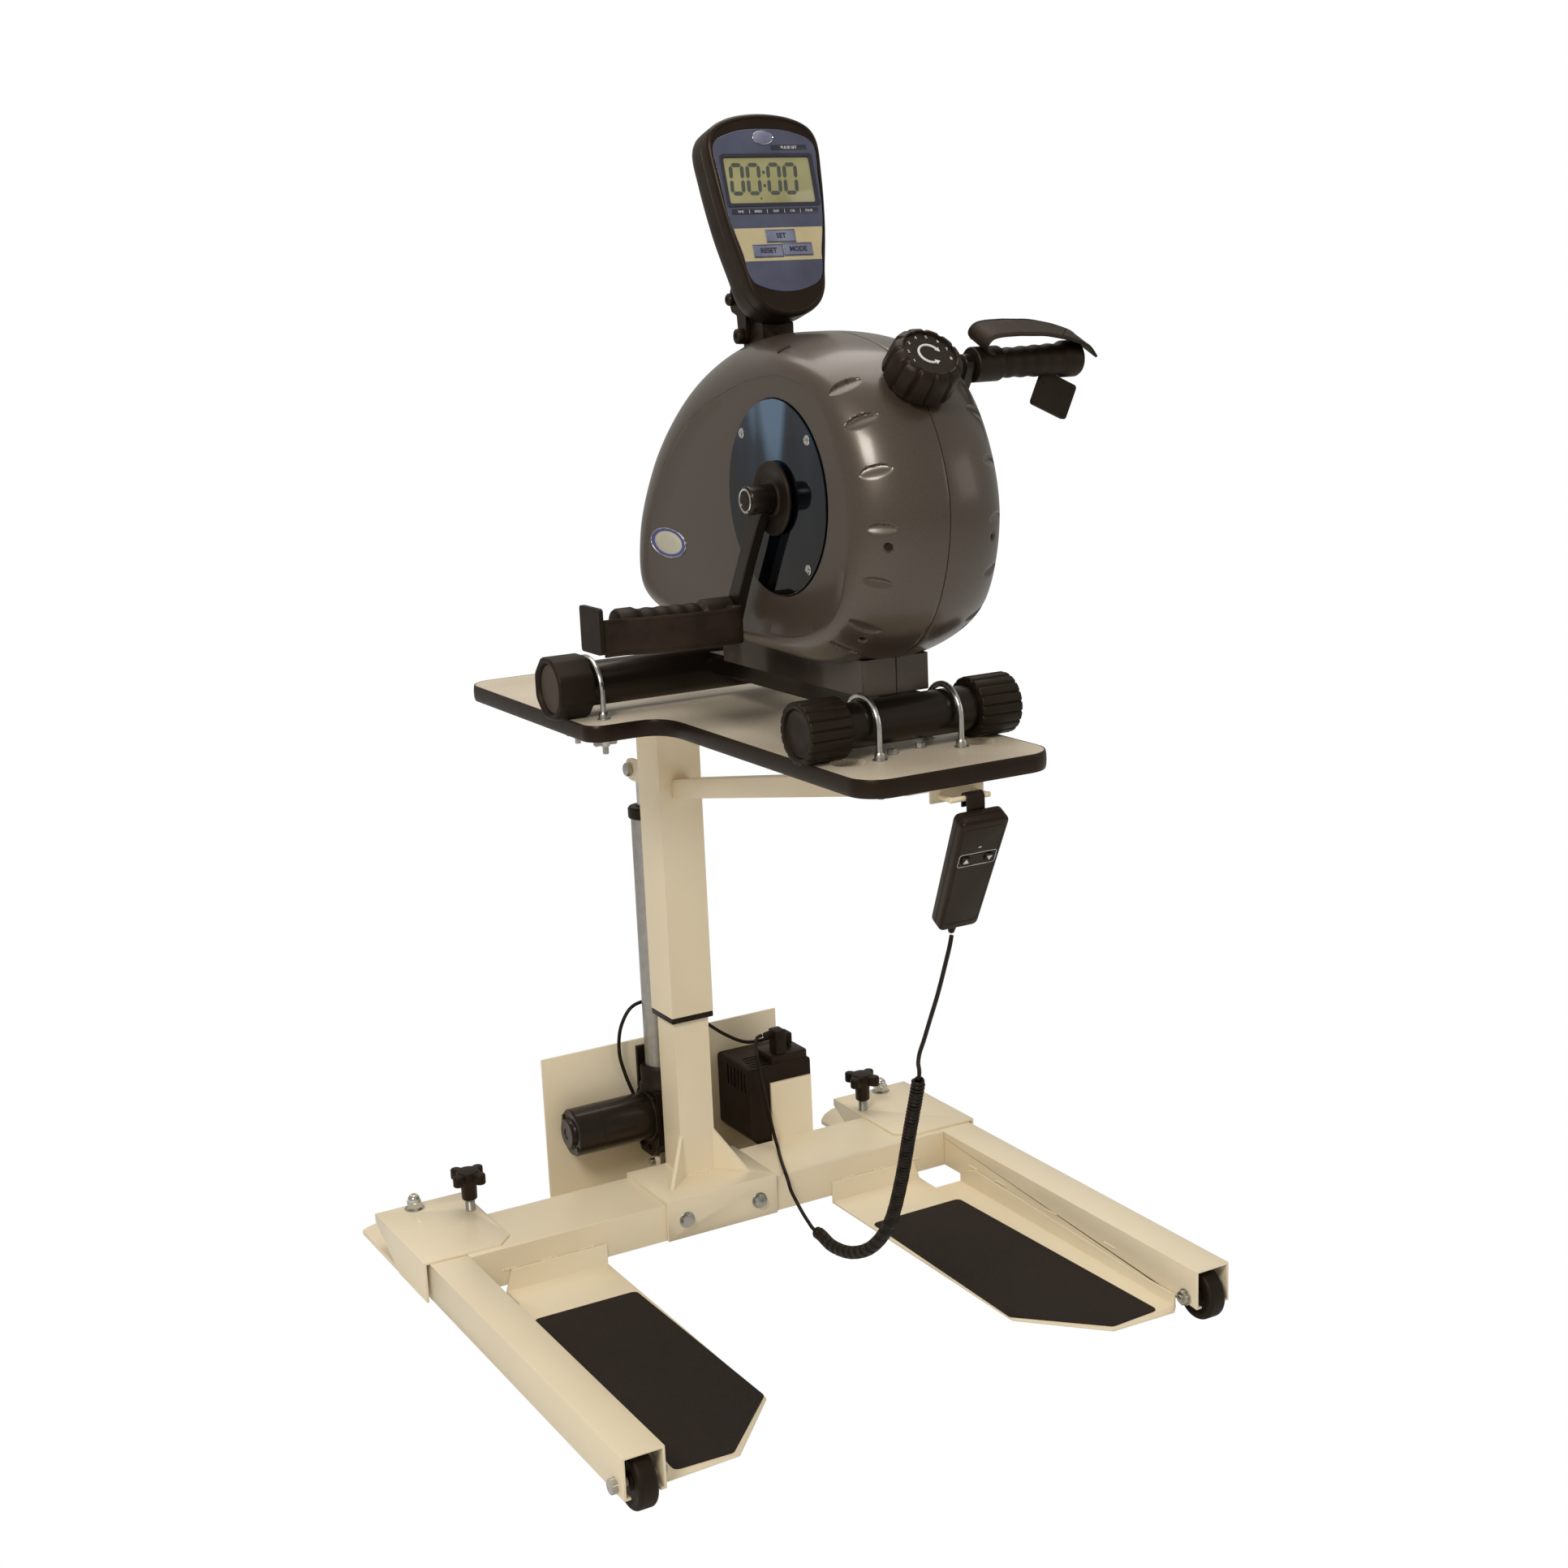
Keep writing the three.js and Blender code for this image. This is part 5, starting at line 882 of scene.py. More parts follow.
def upper_rod():
    bm = rod(blank(), "z", 20, (327, 630), (0, ACTUATOR_Y), 48)
    return rod(bm, "x", 24, (-12.4, 12.4), (ACTUATOR_Y, CLEVIS_Z), 40, chamfer=1)


def clevis_bolt():
    bm = hex_head(blank(), outward(-1, -18.4, ACTUATOR_Y, CLEVIS_Z), 18.4, 7.2)
    hex_head(bm, outward(1, 18.4, ACTUATOR_Y, CLEVIS_Z), 18.4, 7, (9.6, 4))
    return rod(bm, "x", 10, (-20, 20), (ACTUATOR_Y, CLEVIS_Z), 24)


def trunnion():
    bm = box(blank(), (-11, 11), (72, 92), (52, 78), 1)
    return rod(bm, "x", 10, (-23, 23), (ACTUATOR_Y, 62), 28, chamfer=1)


# Power box with its vents, socket block and plugs
def power_box():
    outline = [(126, 67), (212, 67), (212, 184), (112, 184), (112, 81)]
    shell = panel(blank(), softened(outline, 6, 4), 30, 122.6)
    vents = [box(blank(), (118 + 2.2 * k, 145 + 2.2 * k), (36 + 9 * k, 39.4 + 9 * k), (180, 190), 0.8)
             for k in range(5)]
    slots = [box(blank(), (105, 116), (40 + 10 * k, 44 + 10 * k), (146, 176), 0.8) for k in range(6)]
    return carved(shell, *vents, *slots)


def plug(x, y, top):
    bm = box(blank(), (x - 8.5, x + 8.5), (y - 11, y + 11), (196.4, top), 2.2, 3)
    profile = [(0, 0), (5.5, 0)]
    for k in range(5):
        start, lip = 1.4 + 2.3 * k, 5.5 - 0.3 * k
        profile += [(lip, start), (4.0, start + 0.3), (4.0, start + 1.1), (lip - 0.1, start + 1.4)]
    turned(bm, profile + [(3.4, 13), (0, 13)], outward(-1, x - 8.5, y, top - 5.5), 28)
    for low in (top - 9.5, top - 12.5, top - 15.5):
        box(bm, (x - 8.9, x + 8.9), (y - 7, y + 7), (low, low + 1.5), 0.4)
    return bm


piece("saddle_bolts", saddle_bolts(), ZINC, "base", angle=30)
piece("column_welds", column_welds(), CREAM, "base", angle=60)
piece("gearbox", gearbox(), PLASTIC, "base", "gear_motor", bevel=1.2, limit=50)
piece("lift_motor", motor(), ENAMEL, "base", angle=32)
piece("trunnion", trunnion(), ZINC, "base")
piece("actuator_outer_tube", actuator_tube(), TUBE, "base", "actuator_tube", angle=40)
piece("actuator_end_ring", actuator_ring(), PLASTIC, "base", angle=30)
piece("actuator_inner_rod", upper_rod(), CHROME, "lift", "actuator_rod", angle=40)
piece("clevis_bolt", clevis_bolt(), ZINC, "lift", angle=30)
piece("power_box_shell", power_box(), PLASTIC, "base", "power_box", bevel=1.2, limit=50)
piece("power_box_socket", box(blank(), (150, 208), (30.4, 80), (180, 196), 2.5), SATIN, "base")
piece("front_plug", plug(167, 41, 231), RUBBER, "base", "cord_plug", angle=40)
piece("rear_plug", plug(192, 69, 214), RUBBER, "base", angle=40)

# Board
BOARD_LOW, BOARD_TOP = 741, 761
FRONT_TUBE_Y, FRONT_TUBE_Z, REAR_TUBE_Y, REAR_TUBE_Z = -579, 795.3, -164, 798.3
CLAMPS = [
    ("front_left", -52, FRONT_TUBE_Y, 33, 50, FRONT_TUBE_Z),
    ("front_right", 52, FRONT_TUBE_Y, 33, 50, FRONT_TUBE_Z),
    ("rear_left", -182, REAR_TUBE_Y, 40, 54, REAR_TUBE_Z),
    ("rear_right", 182, REAR_TUBE_Y, 40, 54, REAR_TUBE_Z),
]
DRILL, SPARE_HOLE, RECESS, RECESS_FLOOR, CLAMP_ROD, CLAMP_FOOT = 8.4, 7, 41, 755, 7, 719
CORNER_STEPS, OCTAGON_STEPS = 14, 96
SPARE_HOLES = [(-52, -106), (-53, -190), (-147, -106)]
RECESSES = [(-83, -600), (83, -600)]


def board_outline(grow):
    half, rear, corner, nose, front = 217 + grow, 150 + grow, 35 + grow, 121 + grow, -694 - grow
    shoulder, small, bend = -240 - grow, 22, 14
    left = arc((corner - half, rear - corner), corner, 90, 180, CORNER_STEPS)
    left += arc((small - half, shoulder + small), small, 180, 270, CORNER_STEPS)
    ends = [Vector(p) for p in ((-158, shoulder), (-nose - bend, shoulder), (-nose, shoulder - bend),
                                (-nose, -290))]
    for i in range(CORNER_STEPS + 1):
        t = i / CORNER_STEPS
        s = 1 - t
        near = ends[0] * s ** 3 + ends[1] * 3 * s * s * t
        left.append(tuple(near + ends[2] * 3 * s * t * t + ends[3] * t ** 3))
    left += arc((corner - nose, front + corner), corner, 180, 270, CORNER_STEPS)
    return left + [(-x, y) for x, y in reversed(left)]


def board():
    through = (730, 770)
    drills = [rod(blank(), "z", DRILL, through, (x, y + side * half), 24) for _, x, y, half, _, _ in CLAMPS
              for side in (-1, 1)]
    drills += [rod(blank(), "z", SPARE_HOLE, through, spot, 48) for spot in SPARE_HOLES]
    drills += [rod(blank(), "z", RECESS, (RECESS_FLOOR, through[1]), spot, 48) for spot in RECESSES]
    slot = box(blank(), (-166, -150), (-174, -168), through, 2.8, 3)
    return carved(extruded(blank(), board_outline(-2.05), BOARD_LOW, BOARD_TOP), *drills, slot)


def board_band():
    """The black edging, slightly crowned."""
    levels = ((-1.95, BOARD_TOP - 0.3), (-0.7, BOARD_TOP + 0.1), (-0.1, BOARD_TOP - 1.2),
              (0.5, BOARD_TOP - 5), (0.7, BOARD_TOP - 10), (0.5, BOARD_TOP - 15), (-0.1, BOARD_LOW + 1.2),
              (-0.7, BOARD_LOW - 0.1), (-1.95, BOARD_LOW + 0.3))
    rings = [[(x, y, z) for x, y in board_outline(grow)] for grow, z in levels]
    return bridged(rings + rings[:1], ends=False)


def hook_clamp(x, y, half, tube, axis):
    """A bent rod over a tube, threaded below the board."""
    foot, crest = CLAMP_FOOT, axis + (tube + CLAMP_ROD) / 2 + 1.6 - half
    points = [(x, y - half, foot), (x, y - half, crest)]
    points += [(x, *polar(half, angle, y, crest)) for angle in range(174, 0, -6)]
    points += [(x, y + half, crest), (x, y + half, foot)]
    bm = with_wire(blank(), points, CLAMP_ROD, 16)
    for side in (-1, 1):
        threads(bm, (x, y + side * half), 3.5, 3.85, foot + 0.6, 1.25, 13, 18)
    return bm


def clamp_nuts(x, y, half):
    bm = blank()
    for side in (-1, 1):
        spot = (x, y + side * half)
        washer(bm, shift(*spot, BOARD_TOP), 16, 1.3)
        turned(bm, [(0, 0), (6, 0), (6, 5), (4.6, 7.6), (0, 7.6)], shift(*spot, BOARD_TOP + 1.2), 24)
        washer(bm, shift(*spot, 739.2), 17, 1.4)
        turned(bm, [(0, 728.4), (5.2, 728.4), (7, 738), (7, 739.2), (0, 739.2)], shift(*spot, 0), 28)
        for hand in (-1, 1):
            wing = [(hand * 4.4, 730), (hand * 13.4, 729.4), (hand * 15, 731.5), (hand * 15, 735.6),
                    (hand * 12.6, 738.2), (hand * 9, 737), (hand * 5, 738)]
            panel(bm, softened(wing, 1.6, 3), -1.7, 1.7, shift(*spot, 0))
    return bm


def board_bolts():
    """Heads of the two bolts that hold the strut's plate, under the front tube."""
    bm = blank()
    for spot in ((-24, -592), (17, -584)):
        washer(bm, shift(*spot, BOARD_TOP), 14, 1.2)
        hex_head(bm, shift(*spot, BOARD_TOP + 1.2), 10.8, 4.4)
    return bm


piece("board_top", board(), LAMINATE, "lift", "board", angle=30)
piece("board_edging", board_band(), SATIN, "lift", "board_edge", angle=60)
piece("board_bolts", board_bolts(), ZINC, "lift", angle=30)
for place, x, y, half, tube, axis in CLAMPS:
    piece(f"clamp_{place}_rod", hook_clamp(x, y, half, tube, axis), CHROME, "lift", f"clamp_{place}",
          angle=40)
    piece(f"clamp_{place}_nuts", clamp_nuts(x, y, half), ZINC, "lift", angle=35)


# Stabiliser tubes and caps
def tube_piece(diameter, half, y, z):
    outer, bore = diameter / 2, diameter / 2 - 3
    return turned(blank(), [(bore, -half), (outer, -half), (outer, half), (bore, half), (bore, -half)],
                  shift(0, y, z) @ TO_AXIS["x"], 72)


def fluted(diameter, count, depth, per=12):
    """A round outline with narrow grooves."""
    made = []
    for i in range(count * per):
        radius = diameter / 2 - depth * smooth_step(1 - abs((i % per) / per - 0.5) / 0.2)
        angle = FULL_TURN * i / (count * per)
        made.append((radius * math.cos(angle), radius * math.sin(angle)))
    return made


def octagon(diameter):
    made = []
    for i in range(OCTAGON_STEPS):
        angle = FULL_TURN * i / OCTAGON_STEPS
        offset = (angle + math.pi / 8) % (math.pi / 4) - math.pi / 8
        radius = min(diameter / 2 / math.cos(offset), diameter / 2 * 1.05)
        made.append((radius * math.cos(angle - QUARTER), radius * math.sin(angle - QUARTER)))
    return made


def circle(radius, count, phase=0.0):
    angles = [FULL_TURN * i / count + phase for i in range(count)]
    return [(radius * math.cos(a), radius * math.sin(a)) for a in angles]


def end_cap(outline, tube, end, length, hand, y, z, dish, phase):
    """A moulded cap: bore for the tube, outer wall, rounded rim and a recessed end."""
    count, low = len(outline), end - length
    rings = [(circle(tube / 2 + 0.3, count, phase), x) for x in (end - 13, low)]
    for size, x in ((0.95, 0), (0.985, 0.8), (1, 2.4), (1, length - 2.6), (0.985, length - 0.9),
                    (0.945, length)):
        rings.append(([(a * size, b * size) for a, b in outline], low + x))
    rings += [(circle(radius, count, phase), end - depth) for radius, depth in dish]
    return bridged([[(hand * x, y + a, z + b) for a, b in ring] for ring, x in rings])


def cap_disc(end, radius, hand, y, z, depth):
    return turned(blank(), [(0, depth), (radius * 0.5, depth + 0.9), (radius * 0.86, depth + 0.2),
                            (radius * 0.93, depth + 1.4), (radius, depth + 1.2), (radius, depth - 2),
                            (0, depth - 2)], outward(hand, hand * (end - 10), y, z), 64)


FRONT_DISH = ((28.5, 0), (27, 0.8), (26.4, 4), (25.8, 5), (0.6, 5))
REAR_DISH = ((33, 0), (31.6, 0.8), (30.2, 4), (29.6, 8), (0.6, 8))
for name, size, half, y, z, outline, end, length, dish, phase, radius, depth, dress in (
        ("front", 50, 120, FRONT_TUBE_Y, FRONT_TUBE_Z, fluted(68, 18, 2), 134, 52, FRONT_DISH, 0, 25.6, 5.6,
         PLASTIC),
        ("rear", 54, 221, REAR_TUBE_Y, REAR_TUBE_Z, octagon(74), 235, 46, REAR_DISH, -QUARTER, 29.4, 3.4,
         CAP_END)):
    piece(f"{name}_stabilizer_tube", tube_piece(size, half, y, z), ENAMEL, "lift", f"{name}_stabilizer",
          angle=40)
    for hand, side in HANDS:
        cap = f"{name}_cap_{side}"
        piece(f"{cap}_grip", end_cap(outline, size, end, length, hand, y, z, dish, phase), RUBBER, "lift",
              cap, angle=42)
        piece(f"{cap}_end", cap_disc(end, radius, hand, y, z, depth), dress, "lift", angle=40)


# Housing: each half runs from the seam, over a rounded shoulder, to a flat side round the window
HOUSING_HALF, WALL = 91, 3
REAR_Y, LOW_Z, LENGTH_Y, HEIGHT_Z = -680, 848, 598, 355
SEAM = [(0, 0.47), (0.042, 0.732), (0.151, 0.918), (0.304, 0.992), (0.435, 1), (0.56, 0.983),
        (0.694, 0.901), (0.811, 0.772), (0.92, 0.597), (0.99, 0.358), (0.978, 0.118), (0.853, 0.023),
        (0.468, 0), (0.234, 0.006), (0.067, 0.161)]
SIDE = [(0.092, 0.442), (0.122, 0.668), (0.184, 0.823), (0.293, 0.885), (0.401, 0.873), (0.513, 0.828),
        (0.639, 0.752), (0.731, 0.654), (0.811, 0.513), (0.878, 0.33), (0.886, 0.189), (0.794, 0.124),
        (0.468, 0.09), (0.251, 0.113), (0.139, 0.203)]
WINDOW_RADIUS = 105
GILL_ANGLE, WELL_ANGLE, SLOT_ANGLE = 50.3, 44.7, 52
# Dents in the front shoulder: Y, Z, half length, half width, depth, and where across them they are deepest
GILLS = [(-599.1, 1153.2, 18, 8.5, 3.2, 0.86), (-616.7, 1108.9, 18, 8.5, 3.2, 0.86),
         (-637.1, 1062.6, 17, 8, 3.2, 0.8), (-644.7, 1009.8, 16, 7, 2.8, 0.6),
         (-635.3, 958.6, 16, 7.5, 2.8, 0.3), (-611.9, 915, 18, 8, 3.2, -0.86),
         (-578.8, 880.3, 18, 8.5, 3.2, -0.86)]
WELLS = [(-657.2, 991.3), (-603.9, 891.2)]
MAST_SLOT = (-478.3, 1187.5)
WELL_RADIUS, WELL_DEPTH, SCREW_SUNK = 5.4, 3.4, 3
DENT_RINGS, DENT_REACH = (34, 68), 12
PEDESTAL_HALF, PEDESTAL_FRONT, PEDESTAL_REAR, PEDESTAL_TOP = 41.2, -566.3, -249.7, 858
OUTLINE_STEPS, CLOSE_STEP, WIDE_STEP = 6000, 0.0008, 0.0028


def housing_outlines():
    """The seam's and the side's outlines, point for point, closer together round the front."""
    shares, share = [], 0.0
    while share < 1:
        shares.append(share)
        share += CLOSE_STEP if share < 0.24 or share > 0.87 else WIDE_STEP
    made = []
    for table in (SEAM, SIDE):
        knots = [(REAR_Y + LENGTH_Y * y, LOW_Z + HEIGHT_Z * z) for y, z in table]
        fine = spline(knots, OUTLINE_STEPS, closed=True)
        made.append([fine[int(share * OUTLINE_STEPS) % OUTLINE_STEPS] for share in shares])
    return made


RIM, FLAT = housing_outlines()


def skin_point(k, degrees):
    a = math.radians(degrees)
    rim, flat = RIM[k % len(RIM)], FLAT[k % len(FLAT)]
    return Vector((HOUSING_HALF * math.sin(a), *(flat + (rim - flat) * math.cos(a))))


def skin_normal(k, degrees):
    along = skin_point(k + 1, degrees) - skin_point(k - 1, degrees)
    across = skin_point(k, degrees + 0.5) - skin_point(k, degrees - 0.5)
    normal = across.cross(along).normalized()
    return normal if normal.x > 0 else -normal


def nearest_on_ring(degrees, y, z):
    distances = [(skin_point(k, degrees).yz - Vector((y, z))).length for k in range(len(RIM))]
    return distances.index(min(distances))


def on_skin(degrees, y, z, sunk, up_axis):
    """A place on the shoulder that looks outward along its Z."""
    k = nearest_on_ring(degrees, y, z)
    normal = skin_normal(k, degrees)
    facing = normal.to_track_quat("Z", up_axis).to_matrix().to_4x4()
    return shift(*(skin_point(k, degrees) - normal * sunk)) @ facing


def dents(angles):
    """How far each point of the shoulder is pressed in, by ring and place."""
    pressed = {}
    rings = [(i, angle) for i, angle in enumerate(angles) if DENT_RINGS[0] < angle < DENT_RINGS[1]]
    spots = [(*gill, GILL_ANGLE) for gill in GILLS]
    spots += [(y, z, WELL_RADIUS, WELL_RADIUS, WELL_DEPTH, None, WELL_ANGLE) for y, z in WELLS]
    for y, z, long, wide, depth, crisp, angle in spots:
        middle = nearest_on_ring(angle, y, z)
        centre = skin_point(middle, angle)
        upward = (skin_point(middle + 1, angle) - skin_point(middle - 1, angle)).normalized()
        inboard = (skin_point(middle, angle + 1) - centre).normalized()
        for i, here in rings:
            for k in range(middle - DENT_REACH, middle + DENT_REACH + 1):
                away = skin_point(k, here) - centre
                v, u = away.dot(inboard) / long, away.dot(upward) / wide
                reach = math.sqrt(max(1 - v * v, 0))
                if crisp is None:
                    share = smooth_step((1 - math.hypot(u, v)) * 2.5)
                else:
                    q = u / max(reach, 0.05)
                    rise = (q + 1) / (1 + crisp) if q < crisp else (1 - q) / (1 - crisp)
                    share = smooth_step(rise) * reach if abs(v) < 1 and abs(q) < 1 else 0
                if share:
                    pressed[i, k % len(RIM)] = share * depth
    return pressed


def housing_half():
    """One half of the shell, with room left for the pedestal."""
    angles = [*range(3, 34, 3), *range(34, 70), *range(70, 86, 3), 88, 90]
    rings = [[Vector((x, *(rim + (flat - rim).normalized() * by))) for rim, flat in zip(RIM, FLAT)]
             for x, by in ((0.15, WALL), (0.15, 1.5), (0.8, 0.25), (1.5, 0))]
    skin = [[skin_point(k, angle) for k in range(len(RIM))] for angle in angles]
    for (i, k), by in dents(angles).items():
        skin[i][k] = skin[i][k] - skin_normal(k, angles[i]) * by
    centre = Vector((HUB_Y, HUB_Z))
    spokes = [(flat, (flat - centre).normalized()) for flat in FLAT]
    inner = [[Vector((x, *flat.lerp(centre + spoke * (WINDOW_RADIUS + 1.2), share)))
              for flat, spoke in spokes]
             for share, x in ((0.012, 90.7), (0.03, 89.2), (0.05, 88.7), (0.3, 88.8), (0.62, 88.9),
                              (0.9, 88.9))]
    inner += [[Vector((x, *(centre + spoke * (WINDOW_RADIUS + more)))) for _, spoke in spokes]
              for more, x in ((1.6, 88.8), (0.6, 88.2), (0.4, 85))]
    bm = bridged(rings + skin + inner, ends=False)
    middles = [(f, f.calc_center_median()) for f in bm.faces]
    inside = [f for f, c in middles if abs(c.x) < PEDESTAL_HALF and PEDESTAL_FRONT < c.y < PEDESTAL_REAR and
              c.z < PEDESTAL_TOP]
    bmesh.ops.delete(bm, geom=inside, context="FACES")
    return bm


def housing_screws():
    """Dark screws down in the wells, and beside the mast a dark block, proud of the skin, that stands in for
    the shade inside the slot there (painted shade).
    """
    bm = blank()
    for well in WELLS:
        turned(bm, [(0, 0.3), (1.4, 0.3), (1.6, 0.9), (3.5, 0.7), (3.8, 0), (3.8, -2), (0, -2)],
               on_skin(WELL_ANGLE, *well, SCREW_SUNK, "Y"), 24)
    # Painted shade: a dark block in place of the slot's shadowed hollow.
    slot = box(blank(), (-7.5, 7.5), (-2.6, 2.6), (-1.6, 1.1), 0.3)
    return joined(bm, slot, on_skin(SLOT_ANGLE, *MAST_SLOT, 0, "X") @ turn(35, "Z"))


def by_hand(make):
    """Turns a shape drawn for the right into one for either hand."""
    def made(hand):
        return mirrored(make()) if hand < 0 else make()
    return made


def foot_sleeve():
    """The housing's own foot round the steel pedestal, in two halves with a fine seam."""
    bm = blank()
    half, front, rear, soft, skin = 42.4, -566.5, -249.5, 4, 2.5
    for hand in (-1, 1):
        for y, out in ((front, -1), (rear, 1)):
            line = [(hand * 0.3, y - out * 2), (hand * 0.3, y + out * 0.2), (hand * 0.9, y + out * 1.2)]
            line += [(hand * (half - soft + a), y + out * (1.2 - soft + b))
                     for b, a in (polar(soft, 15 * i) for i in range(7))]
            line += [(hand * half, (front + rear) / 2), (hand * (half - skin), (front + rear) / 2),
                     (hand * (half - skin), y - out * 4), (hand * (half - 2 * skin), y - out * 2)]
            extruded(bm, line, 820.7, 860)
    return bm


def window_screws(hand):
    bm = blank()
    for angle in (43.7, 138.2, -132, -44):
        turned(bm, [(0, 0), (5.4, 0), (5.6, 0.6), (5, 1.2), (3.8, 1.4), (3.6, 2.4), (2.6, 3), (1.2, 3),
                    (1.2, 2), (0, 2)], outward(hand, hand * 90.5, *polar(96, angle, HUB_Y, HUB_Z)), 28)
    return bm


pair("housing_{}_shell", by_hand(housing_half), GREY, "lift", "housing_{}", angle=28)
pair("housing_{}_screws", by_hand(housing_screws), SATIN, "lift", angle=30)
piece("housing_foot_sleeve", foot_sleeve(), GREY, "lift", angle=30)
pair("window_{}_screws", window_screws, CHROME, "lift", angle=35)

# Crank arms and what turns round the hub
CRANK_LEAN, CRANK_RADIUS = 30, 150
ARM_FACES, PIN_ENDS, PIN_DIAMETER = (101, 113.5), (108, 245), 12
HUB_RINGS = [
    ("window_{}_pane", GLASS, "lift", "window_{}", 128, 40,
     [(15.6, 88), (104.4, 88), (104.8, 88.6), (104.8, 90), (104.2, 90.6), (15.6, 90.6), (15.6, 88)]),
    ("crank_disc_{}", PLASTIC, "crank", "", 96, 35,
     [(10.4, 93.3), (39, 93.3), (40, 94), (40, 96), (38.6, 97.3), (30, 97.3), (28.6, 96.4), (20, 96.4),
      (18, 98), (10.4, 98), (10.4, 93.3)]),
    ("crank_cap_{}", PLASTIC, "crank", "", 56, 35,
     [(0, 124), (12.6, 124), (13.2, 126.8), (13.0, 128), (11.6, 128.5), (10.8, 127.6), (4, 127.9), (0, 128)]),
    ("crank_cap_ring_{}", CHROME, "crank", "", 56, 50,
     [(10.8, 127.4), (13.1, 127.4), (13.3, 128.2), (12.2, 129), (11, 128.4), (10.8, 127.4)]),
]


def crank_arm(hand):
    place = shift(0, HUB_Y, HUB_Z) @ turn(CRANK_LEAN if hand < 0 else CRANK_LEAN + 180, "X")
    shaft = arc((0, 0), 14, 0, 180, 18) + [(-11.4, -30), (-9.6, -75), (-10.6, -124)]
    shaft += arc((0, -CRANK_RADIUS), 12, 180, 360, 18) + [(10.6, -124), (9.6, -75), (11.4, -30)]
    bm = slab(blank(), shaft, sorted(hand * x for x in ARM_FACES), place)
    turned(bm, [(10.4, 97), (15, 97), (15.8, 99), (15.8, 124.5), (15, 126.4), (13.6, 127.2), (10.4, 127.2),
                (10.4, 97)], place @ outward(hand, 0, 0, 0), 48)
    pin = rod(blank(), "x", PIN_DIAMETER, sorted(hand * x for x in PIN_ENDS), (0, 0), 32)
    return joined(bm, pin, place @ shift(0, 0, -CRANK_RADIUS))


for name, dress, body, node, steps, angle, profile in HUB_RINGS:
    for hand, side in HANDS:
        ring = turned(blank(), profile, outward(hand, 0, HUB_Y, HUB_Z), steps)
        piece(name.format(side), ring, dress, body, node.format(side), angle=angle)
pair("crank_arm_{}_bar", crank_arm, ENAMEL, "crank", "crank_arm_{}", bevel=1.6, limit=50)

# Hand grips with their straps
ARM_OUT, GRIP_END = 113.8, 253
HOLLOWS_START, HOLLOWS_END = 152, 224
STRAP = [(0.03, 0.58), (0, 0.74), (0.03, 0.92), (0.12, 1), (0.35, 1), (0.6, 0.93), (0.82, 0.76)]
STRAP_IN, STRAP_HEIGHT, STRAP_WIDTH, STRAP_DROP = 115.9, 41, 40, 8
STITCH = Matrix.Diagonal((1.5, 0.55, 0.4, 1))
STRAP_FINENESS, STRAP_POINTS, BOX_START, BOX_END = 400, 90, 62, 74


def grip():
    """A moulded grip with finger hollows, its collar at the arm and its block at the far end."""
    profile = [(0, GRIP_END - 7.7), (6.3, GRIP_END - 7.7), (6.3, ARM_OUT), (18, ARM_OUT), (19, ARM_OUT + 1.2),
               (19, 146.4), (18.4, 148), (16, 150.5)]
    length = HOLLOWS_END - HOLLOWS_START
    for i in range(31):
        along = length * i / 30
        swell = 0.55 * math.cos(FULL_TURN * along / 18)
        profile.append((15.2 + 1.7 * along / length + 0.55 - swell, HOLLOWS_START + along))
    profile += [(17.4, 228), (19.4, 232), (20, 233.5), (20, 250), (18.6, GRIP_END - 0.4), (17.6, GRIP_END),
                (0, GRIP_END)]
    return turned(blank(), profile, turn(90, "Y"), 56)


def flap(hand):
    if hand < 0:
        bm = box(blank(), (-280, -251), (-7, 7), (-14, 14), 1.6)
        return slab(bm, softened(rectangle((-25, 25), (-25, 25)), 4.5), (-283, -278))
    bm = panel(blank(), softened(rectangle((-25, 25), (-40, 0)), 4.5), -2.5, 2.5)
    for x in (-19, 19):
        for z in (-35, -27, -13, -5):
            turned(bm, [(0, -0.2), (1.7, -0.2), (1.3, 0.6), (0, 0.8)], forward(x, -2.5, z), 14)
    bm.transform(turn(-25, "X") @ shift(GRIP_END - 22, 0, -20) @ turn(25, "Y"))
    return bm


def strap_line(hand):
    tip = (276.8, 0, 21.8) if hand < 0 else (266, 0, 10)
    knots = [(STRAP_IN + x * (GRIP_END - STRAP_IN), 0, z * STRAP_HEIGHT) for x, z in STRAP]
    return evenly(spline([(STRAP_IN + 12, 0, 20.8), *knots, (GRIP_END, 0, 21.8), tip], STRAP_FINENESS),
                  STRAP_POINTS)


def sag(point):
    return 0.5 * noise.noise(point * 0.045)


def strap_ring(line, k):
    heading = heading_at(line, k)
    out = Vector((-heading.z, 0, heading.x))
    half, thick, soft = STRAP_WIDTH / 2, 1.5, 0.8
    ring = [(half - 1, thick), (half, thick - soft), (half, -thick + soft), (half - 1, -thick)]
    ring += [(y, -thick) for y in (12, 0, -12)]
    ring += [(-half + 1, -thick), (-half, -thick + soft), (-half, thick - soft), (-half + 1, thick)]
    ring += [(y, thick + 0.25 * math.cos(y / half * QUARTER)) for y in (-12, 0, 12)]
    return [line[k] + out * (b + sag(line[k])) + Vector((0, a, 0)) for a, b in ring]


def lowered(bm, hand):
    """The left strap hangs a little lower on its grip."""
    if hand < 0:
        mirrored(bm).transform(shift(0, -STRAP_DROP, 0))
    return bm


def strap(hand):
    line = strap_line(hand)
    return lowered(bridged([strap_ring(line, k) for k in range(len(line))]), hand)


